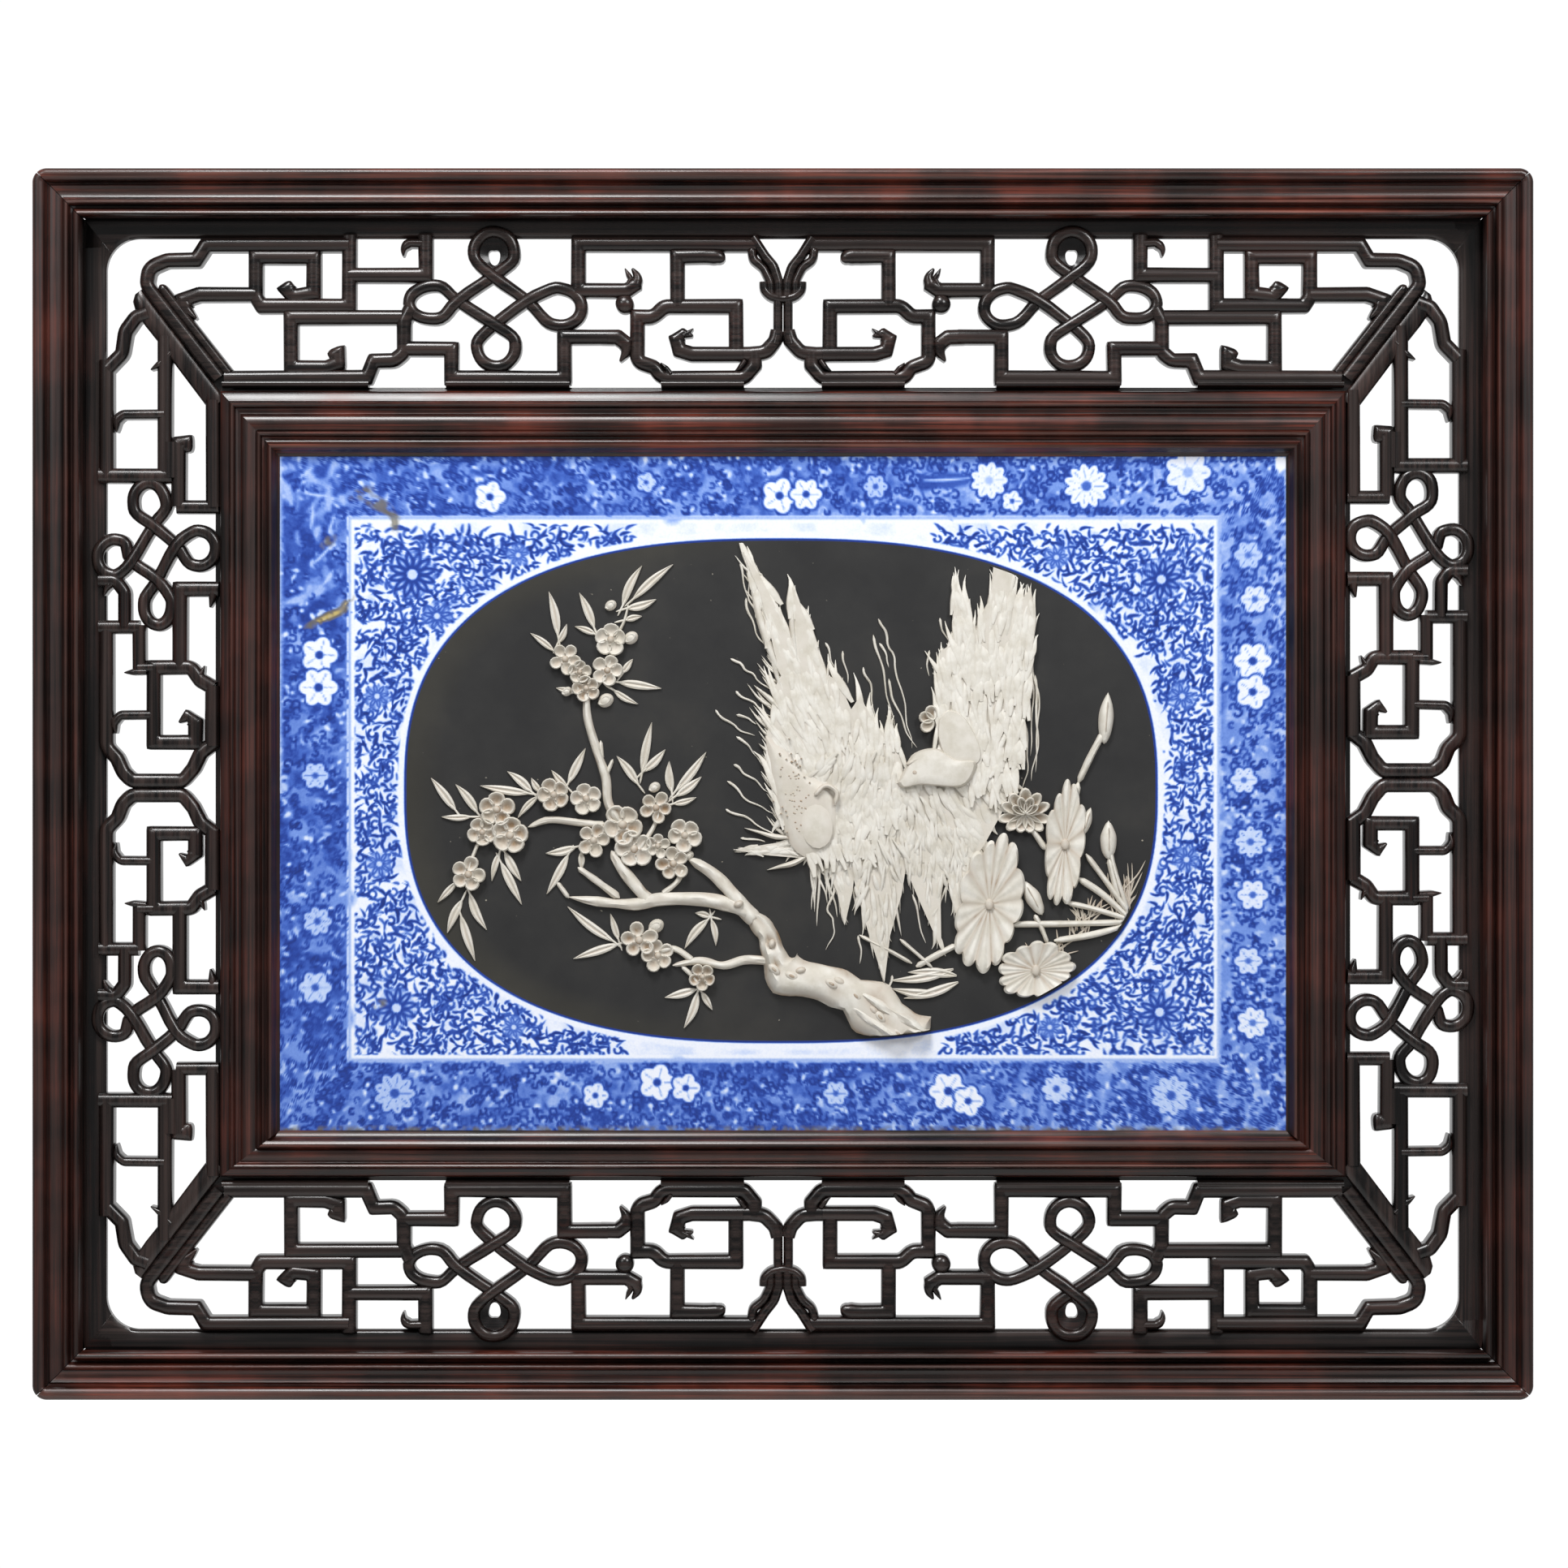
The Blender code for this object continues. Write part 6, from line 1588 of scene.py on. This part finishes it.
bird = Shell()
LEFT_WING = [(917, 678), (927, 705), (938, 730), (947, 762), (955, 800), (964, 830), (953, 850), (960, 872),
    (946, 900), (953, 950), (957, 985), (968, 1018), (985, 1038), (1003, 1048), (1060, 1045), (1112, 990),
    (1113, 932), (1099, 886), (1092, 905), (1076, 884), (1061, 856), (1050, 872), (1034, 836), (1020, 830),
    (1004, 785), (990, 752), (978, 722), (984, 795), (968, 772), (955, 742), (940, 712)]
BODY = [(962, 1000), (975, 1030), (1000, 1052), (1050, 1062), (1100, 1056), (1150, 1062), (1195, 1064),
    (1213, 1040), (1235, 1000), (1252, 960), (1205, 930), (1160, 955), (1112, 966), (1060, 930), (990, 950)]
RIGHT_WING = [(1178, 717), (1190, 742), (1204, 775), (1212, 752), (1222, 735), (1225, 697), (1249, 697),
    (1255, 745), (1271, 722), (1276, 760), (1272, 810), (1265, 870), (1257, 930), (1250, 965), (1200, 968),
    (1188, 940), (1160, 930), (1156, 905), (1155, 850), (1160, 800), (1174, 792), (1176, 750)]
TAILS = [
    [(1045, 1050), (1058, 1100), (1072, 1150), (1091, 1208), (1098, 1150), (1112, 1100), (1120, 1050)],
    [(1100, 1034), (1118, 1070), (1135, 1110), (1161, 1168), (1160, 1105), (1172, 1040)],
    [(1165, 1050), (1172, 1100), (1183, 1138), (1190, 1090), (1205, 1045)],
    [(1010, 1045), (1032, 1095), (1042, 1138), (1052, 1095), (1056, 1050)],
    [(1010, 1030), (960, 1036), (905, 1045), (950, 1052), (1000, 1056)],
]
BED_STEP = 0.15
for number, (outline, source, count, length, width, lift) in enumerate(((LEFT_WING, (1085, 1200), 440, 21.0,
        4.2, 3.9), (RIGHT_WING, (1220, 1300), 320, 20.0, 4.0, 4.4), (BODY, (1090, 820), 300, 16.0, 4.0, 4.6),
        (TAILS[0], (1075, 950), 60, 14.0, 2.6, 4.0), (TAILS[1], (1130, 950), 34, 13.0, 2.2, 3.4), (TAILS[2],
        (1175, 950), 26, 12.0, 2.2, 3.2), (TAILS[3], (1025, 950), 26, 12.0, 2.2, 2.8), (TAILS[4], (1080,
        1030), 30, 11.0, 2.4, 2.6))):
    bed(bird, outline, 2.9 - BED_STEP * number)
    plumage(bird, outline, source, count, length, width, lift, count)
bed(bird, [(1020, 1030), (1210, 1025), (1204, 1068), (1160, 1082), (1100, 1072), (1040, 1060)], 1.5)
plumage(bird, [(1020, 1030), (1210, 1025), (1204, 1075), (1160, 1090), (1100, 1085), (1030, 1070)],
        (1110, 850),
        110, 12.0, 2.6, 3.6, 21)
SPIKES = [(962, 830, 920, 690, 11), (970, 800, 940, 722, 7), (986, 830, 975, 710, 9), (1000, 850, 1003, 772,
    8), (1018, 870, 1022, 812, 7), (1036, 890, 1040, 832, 7), (1062, 905, 1060, 843, 8), (1090, 925, 1099,
    870, 8), (968, 880, 930, 842, 7), (968, 905, 938, 884, 6), (962, 940, 936, 914, 6), (970, 860, 948, 798,
    7), (955, 790, 928, 720, 6), (1185, 800, 1176, 712, 9), (1205, 820, 1200, 758, 8), (1222, 790, 1228, 694,
    12), (1240, 790, 1247, 694, 12), (1262, 800, 1272, 716, 9), (1230, 760, 1238, 703, 9), (985, 1030, 918,
    1018, 6), (1000, 1050, 946, 1070, 7), (1190, 1045, 1186, 1104, 6), (1092, 1050, 1112, 1152, 6)]
for x0, y0, x1, y1, width in SPIKES:
    a, b = picture([(x0, y0), (x1, y1)])
    bow = side_of(unit(b - a)) * clay_hand.uniform(-1.4, 1.4)
    w = width * PX
    limb(bird, [(*a, w * 0.7), (*(a * 0.6 + b * 0.4 + bow), w),
                (*(a * 0.25 + b * 0.75 + bow * 0.4), w * 0.6),
                (*b, 0.3)], 2.6, steps=5, bark=0.3, tip=0.05, lift=0.5, dirt_and_shade=0.05)
FILAMENTS = [[(903, 809), (920, 822), (935, 835), (965, 860)], [(907, 850), (930, 865), (955, 885)], [(882,
    873), (905, 892), (930, 905)], [(910, 878), (935, 890)], [(910, 905), (935, 930)], [(920, 735), (930,
    770), (948, 800)], [(912, 690), (925, 740)], [(895, 995), (925, 1008), (960, 1030)], [(915, 1030), (945,
    1035)], [(1085, 760), (1096, 790), (1105, 820), (1118, 880), (1125, 920)], [(1086, 790), (1098, 820)],
    [(1095, 835), (1110, 880), (1130, 920)], [(1145, 800), (1145, 832)], [(1065, 820), (1075, 850), (1080,
    895)], [(1018, 790), (1030, 820)], [(1158, 760), (1170, 790)], [(1030, 1090), (1022, 1120), (1030, 1140),
    (1020, 1168)], [(1060, 1150), (1062, 1185)], [(1125, 1100), (1142, 1160)], [(1078, 780), (1092, 840),
    (1104, 900)], [(935, 760), (925, 735), (922, 700)], [(1266, 800), (1274, 860), (1270, 930)], [(1272,
    810), (1281, 870), (1276, 950)], [(1262, 880), (1268, 930), (1262, 970)], [(1276, 830), (1280, 905),
    (1272, 960)], [(1040, 800), (1046, 840)], [(905, 940), (925, 955), (950, 975)], [(898, 960), (925, 985),
    (955, 1000)], [(1100, 1200), (1096, 1225), (1100, 1240)]]
for points in FILAMENTS:
    line = smooth_path(picture(points), 4)
    sway = np.sin(np.arange(len(line)) * 1.5 + points[0][0]) * 0.55
    line = line + np.stack([sway, sway * 0.4], 1)
    limb(bird, np.column_stack([line, np.linspace(1.4, 0.5, len(line))]), 1.2, 3, 0.3, 0.2)
HEAD = [(1106, 963), (1116, 945), (1124, 929), (1140, 921), (1158, 921), (1180, 934), (1204, 936), (1202,
    952), (1188, 967), (1160, 967), (1135, 965), (1112, 969)]
plate(bird, picture(HEAD), 7.7, 0.05, 0.9)
LOBE = [(1157, 884), (1168, 872), (1186, 878), (1200, 898), (1210, 922), (1208, 938), (1192, 945), (1174,
    940), (1162, 925), (1156, 904)]
plate(bird, picture(LOBE), 5.6, 0.1, 0.93)
for x, y, rx, ry, turn, height, lift, dirt_and_shade in ((1128, 950, 3.0, 3.0, 0, 0.5, 7.4, 0.7), (1008, 1016, 20, 28,
        0.1, 0.9, 5.3, 0.15)):
    bump_shell(bird, *picture((x, y)), rx * PX, ry * PX, turn, height, lift, dirt_and_shade)
SHOULDER = [(944, 904), (967, 918), (995, 949), (1028, 968), (1036, 1006), (1033, 1038), (1011, 1057), (983,
    1048), (967, 1019), (954, 968)]
plate(bird, picture(SHOULDER), 5.5, 0.3, 0.75)
speckle = np.random.default_rng(15)
for _ in range(60):
    x, y = speckle.normal(978, 10), speckle.normal(972, 28)
    bump_shell(bird, *picture((x, y)), 0.42, 0.36, 0, 0.3, 5.55, 1.0, 6)
for turn in (1.9, 2.8, 3.8):
    petal_shell(bird, *picture((1152, 886)), turn, 7.2, 6.4, 3.6, 5.4, 0.35, 0.9)
for points in ([(1005, 978), (1018, 966), (1032, 974), (1030, 990)],
               [(1118, 940), (1136, 932), (1158, 933), (1182, 944)]):
    line = picture(points)
    limb(bird, np.column_stack([line, np.full(len(line), 2.4)]), 2.2, 5, 0.2, 0.3, lift=5.2, dirt_and_shade=0.3)
fringe = np.random.default_rng(27)
for _ in range(70):
    x0 = fringe.uniform(1000, 1215)
    y0 = 1040 + 14 * sin(x0 / 31) + fringe.uniform(-6, 10)
    drop, sway = fringe.uniform(25, 92), fringe.uniform(-16, 14)
    line = smooth_path(picture([(x0, y0), (x0 + sway * 0.1, y0 + drop * 0.4),
                                (x0 + sway * 0.8, y0 + drop * 0.75),
                                (x0 + sway, y0 + drop)]), 2)
    limb(bird, np.column_stack([line, np.linspace(1.9, 0.4, len(line))]), 1.8, 2, 0.2, 0.2)
for _ in range(60):
    x0, y0, share = fringe.uniform(905, 975), fringe.uniform(700, 1040), fringe.uniform(0.4, 1.0)
    x0 = np.interp(y0, [700, 800, 900, 1040], [932, 962, 952, 975]) + fringe.uniform(-4, 10)
    line = picture([(x0, y0), (x0 - 16 * share, y0 - 12 * share), (x0 - 30 * share, y0 - 30 * share)])
    limb(bird, np.column_stack([line, [1.6, 1.2, 0.4]]), 1.8, 4, 0.2, 0.2)
hand_over_relief("relief_bird", bird)

# %% [markdown]
# The lotus: round leaves with scalloped edges and raised veins, seen from above and from the side, a
# flower with two rows of petals, closed buds on long stems, and water grass at its foot.

# %% The lotus
lotus = Shell()


def lotus_pad(shell, x, y, rx, ry, turn, veins, height, tilt=0.0):
    """A scalloped leaf: rim radius 1 + 0.05 cos(n a), veins raised along its rays, the middle sunk."""
    around = around_ring(144)[None, :]
    ring = column(1.0, 1.0, 0.94, 0.78, 0.55, 0.3, 0.1)
    lobe = np.abs(np.cos(veins * around / 2 + 0.35 * np.sin(3 * around + x))) ** 0.5
    uneven = 0.035 * np.sin(2 * around + y) + 0.045 * np.sin(5 * around + x)
    scallop = 1 - 0.17 * (1 - lobe) * ring ** 4 + uneven * ring ** 2
    u, v = rx * PX * ring * scallop * np.cos(around), ry * PX * ring * scallop * np.sin(around)
    bowl = column(0.0, 0.7, 0.96, 0.84, 0.74, 0.64, 0.6)
    vein = (0.1 * lobe + 0.05 * np.cos(veins * around * 2)) * clamp(ring * 1.3) ** 1.5
    out = FACE + height * (bowl + vein) + tilt * v / (ry * PX)
    out[0] = ROOT
    # Painted shade in the notches between the lobes and in the sunk middle.
    hollow_shade_and_dirt = 0.8 * (1 - lobe) + 0.25 * (ring < 0.5)
    press(shell, *turned(*picture((x, y)), u, v, turn), out, hollow_shade_and_dirt)


STEMS = [([(1393, 1130), (1360, 1100), (1330, 1080)], 2.4), ([(1393, 1131), (1350, 1118), (1315, 1110)],
    2.0), ([(1393, 1134), (1320, 1136), (1240, 1137)], 2.4), ([(1393, 1137), (1345, 1150), (1300, 1157)],
    2.4), ([(1393, 1124), (1365, 1085), (1339, 1050)], 2.0), ([(1270, 1015), (1280, 1030), (1290, 1045)],
    2.2), ([(1361, 900), (1345, 930), (1330, 962)], 2.6), ([(1367, 1055), (1374, 1085), (1381, 1112)], 2.0),
    ([(1180, 1162), (1155, 1175), (1130, 1189)], 2.2), ([(1060, 1150), (1095, 1168), (1125, 1185)], 1.4),
    ([(1110, 1155), (1130, 1172), (1150, 1190)], 1.4), ([(1330, 962), (1322, 1000), (1320, 1040)], 2.6),
    ([(1393, 1128), (1372, 1060), (1370, 1030)], 1.8), ([(1276, 1125), (1284, 1140), (1292, 1160)], 1.8)]
for points, width in STEMS:
    line = picture(points)
    limb(lotus, np.column_stack([line, np.full(len(line), width * 1.3)]), 2.8, 6, 0.25, 0.3)
for x, y, rx, ry, turn, lobes, height in ((1220, 1112, 41, 86, -0.16, 13, 4.6), (1313, 1038, 24, 81, -0.08,
        11, 4.4), (1277, 1193, 49, 34, 0.12, 13, 4.6)):
    lotus_pad(lotus, x, y, rx, ry, turn, lobes, height, 0.3)
    bump_shell(lotus, *picture((x, y)), 2.0, 2.6, 0, 1.0, height - 0.9, 0.5, 12)
for turn, length, width, low, high in ((3.35, 12.6, 5.6, 2.0, 3.6), (-0.25, 12.4, 5.6, 2.0, 3.6), (3.85,
        11.0, 5.8, 2.4, 3.8), (-0.75, 11.0, 5.8, 2.4, 3.8), (4.4, 8.8, 6.0, 2.6, 3.8), (5.05, 9.0, 6.0, 2.6,
        4.0), (2.75, 12.0, 5.8, 2.8, 5.2), (0.38, 12.0, 5.8, 2.8, 5.2), (2.2, 11.6, 6.2, 3.2, 6.2), (0.95,
        11.6, 6.2, 3.2, 6.2), (1.57, 12.0, 6.8, 3.6, 6.8), (1.9, 8.2, 5.0, 4.8, 7.4), (1.2, 8.2, 5.0, 4.8,
        7.4), (2.6, 7.0, 4.2, 5.0, 6.8), (0.6, 7.0, 4.2, 5.0, 6.8)):
    petal_shell(lotus, *picture((1264, 1001)), turn, length, width, low, high, 0.35, 0.85)
for x, y, rx, ry, turn in ((1364, 883, 9, 32, 0.08), (1367, 1033, 10, 24, 0.0), (1274, 1104, 9, 24, -0.5),
        (1340, 1010, 6, 18, 0.3)):
    heading = np.array([sin(turn), cos(turn)]) * ry * PX
    line = picture((x, y)) + heading * column(-1.0, -0.55, 0.1, 0.65, 1.0)
    limb(lotus, np.column_stack([line, rx * PX * np.array([0.5, 1.7, 2.1, 1.2, 0.15])]), 4.2, 5, 0.1, 0.05)
    limb(lotus, np.column_stack([line[1:4], [0.5, 0.6, 0.4]]), 0.6, 5, 0.1, 0.1, lift=3.9, dirt_and_shade=0.6)
for x0, y0, x1, y1 in ((1176, 1192, 1098, 1206), (1182, 1208, 1115, 1228), (1180, 1200, 1120, 1196), (1160,
        1222, 1100, 1216)):
    a, b = picture([(x0, y0), (x1, y1)])
    slim_leaf(lotus, *a, *b, 4.4, 2.0)
grass = np.random.default_rng(9)
for k in range(26):
    x0, y0 = grass.uniform(1372, 1396), grass.uniform(1092, 1142)
    lean, length = grass.uniform(0.9, 1.9), grass.uniform(22, 52)
    tip = (x0 + length * cos(lean), y0 - length * sin(lean))
    line = picture([(x0, y0), ((x0 + tip[0]) / 2 + grass.uniform(-4, 4), (y0 + tip[1]) / 2), tip])
    limb(lotus, np.column_stack([line, [0.9, 0.8, 0.4]]), 0.9, 5, 0.2, 0.3, dirt_and_shade=0.5)
for k in range(80):
    angle = grass.uniform(-0.95, -0.45)
    x0 = 966 + 455 * cos(angle) ** 0.82 * grass.uniform(0.9, 0.96)
    y0 = 976 + 306 * abs(sin(angle)) ** 0.82 * grass.uniform(0.88, 0.95)
    lean, length = grass.uniform(0.3, 2.4), grass.uniform(12, 34)
    line = picture([(x0, y0), (x0 + length * cos(lean) * 0.5, y0 - length * sin(lean) * 0.6),
                    (x0 + length * cos(lean), y0 - length * sin(lean))])
    limb(lotus, np.column_stack([line, [0.9, 0.8, 0.4]]), 0.8, 4, 0.2, 0.3, dirt_and_shade=0.6)
hand_over_relief("relief_lotus", lotus)
# %% [markdown]
# Behind the plaque a thin softwood board closes the frame's rebate. It is planed but bare, and has gone
# yellow-brown, so its finish is dull, with long pale and dark stripes of grain along it.

# %% The back board
board_low, board_high = span("back_board")
EASED = 0.8 * MM


def bare_softwood(name):
    """Dull yellow-brown wood: stripes 6 mm wide and very long, with fine grain over them."""
    material, shader, spot, add = new_material(name)
    stretch = add("Mapping", {"Vector": spot, "Scale": (4.0, 160.0, 160.0)})
    stripes = add("TexNoise", {"Vector": (stretch, "Vector"), "Scale": 1.0, "Detail": 5.0, "Roughness": 0.6,
                               "Distortion": 0.6})
    tone = set_ramp(add("ValToRGB", {"Fac": (stripes, "Fac")}),
                    [(0.34, "#755636"), (0.5, "#86643f"), (0.66, "#98764b")])
    bump = add("Bump", {"Height": (stripes, "Fac"), "Strength": 0.4, "Distance": 0.3 * MM})
    set_inputs(material, shader, {"Base Color": (tone, "Color"), "Normal": (bump, "Normal"),
                                  "Roughness": 0.75})
    return material


board = Shell()
inset = column(EASED, 0.0, 0.0, EASED)
depth = np.array([board_low[1], board_low[1] + EASED, board_high[1] - EASED, board_high[1]])[:, None]
corner_x = np.array([board_low[0], board_high[0], board_high[0], board_low[0]])[None, :]
corner_z = np.array([board_low[2], board_low[2], board_high[2], board_high[2]])[None, :]
sign_x, sign_z = np.array([1, -1, -1, 1]), np.array([1, 1, -1, -1])
board.add(np.stack(np.broadcast_arrays(corner_x + sign_x * inset, depth, corner_z + sign_z * inset),
                   axis=-1))
make_piece("back_board_bare", board, bare_softwood("bare_softwood"), "back_board")

# %% [markdown]
# The plaque hangs in front of nothing, lit as in a catalogue: one broad soft light above, weaker ones
# to the sides, and white behind it that shows through the openwork.

# %% Light, floor and camera
VIEW_WIDTH = 0.7105
LENS = 100.0
SENSOR = 36.0
FOCUS_OUT = 20 * MM


def soft_light(name, place_at, aim, size, power):
    """A square area light, its face turned to the aim point."""
    lamp = bpy.data.lights.new(name, "AREA")
    lamp.shape, lamp.size, lamp.energy = "SQUARE", size, power
    thing = bpy.data.objects.new(name, lamp)
    bpy.context.scene.collection.objects.link(thing)
    thing.location = place_at
    direction = np.array(aim) - np.array(place_at)
    flat = hypot(direction[0], direction[1])
    turn = atan2(direction[1], direction[0]) - pi / 2
    thing.rotation_euler = (atan2(flat, -direction[2]), 0.0, turn)


aim = (0.0, 0.0, CENTRE_Z)
soft_light("light_above", (-0.3, -1.0, CENTRE_Z + 1.4), aim, 0.5, 25.0)
soft_light("light_right", (0.85, -1.45, CENTRE_Z + 1.0), aim, 0.5, 13.0)
soft_light("light_left", (-1.0, -1.5, CENTRE_Z + 0.9), aim, 0.5, 6.0)

scene = bpy.context.scene
world = bpy.data.worlds.new("studio")
scene.world = world
world.use_nodes = True
split = add_node(world, "SeparateXYZ", {"Vector": (add_node(world, "TexCoord", {}), "Generated")})
fade = add_node(world, "MapRange", {"Value": (split, "Y"), "From Min": 0.1, "From Max": 0.85, "To Min": 0.24,
                                    "To Max": 1.05})
set_inputs(world, world.node_tree.nodes["Background"],
           {"Color": to_linear("#ffffff"), "Strength": (fade, "Result")})
scene.view_settings.view_transform = "Standard"

floor_material, floor_shader, *_ = new_material("pale_floor")
set_inputs(floor_material, floor_shader, {"Base Color": to_linear("#e9e8e6"), "Roughness": 0.9})
around = around_ring(96)
floor_ring = np.stack([2.2 * np.cos(around), 2.2 * np.sin(around), np.full(96, CENTRE_Z - 0.95)], -1)
floor_mesh = bpy.data.meshes.new("pale_floor")
floor_mesh.from_pydata([tuple(p) for p in floor_ring], [], [tuple(range(96))])
floor_mesh.materials.append(floor_material)
pale_floor = bpy.data.objects.new("pale_floor", floor_mesh)
scene.collection.objects.link(pale_floor)

camera_data = bpy.data.cameras.new("camera")
camera_data.lens, camera_data.sensor_width = LENS, SENSOR
camera = bpy.data.objects.new("camera", camera_data)
scene.collection.objects.link(camera)
distance = VIEW_WIDTH * LENS / SENSOR
camera.location = (0.0005, -(FOCUS_OUT + distance), CENTRE_Z)
camera.rotation_euler = (pi / 2, 0.0, 0.0)
scene.camera = camera
print("camera stands", round(distance, 3), "m away")
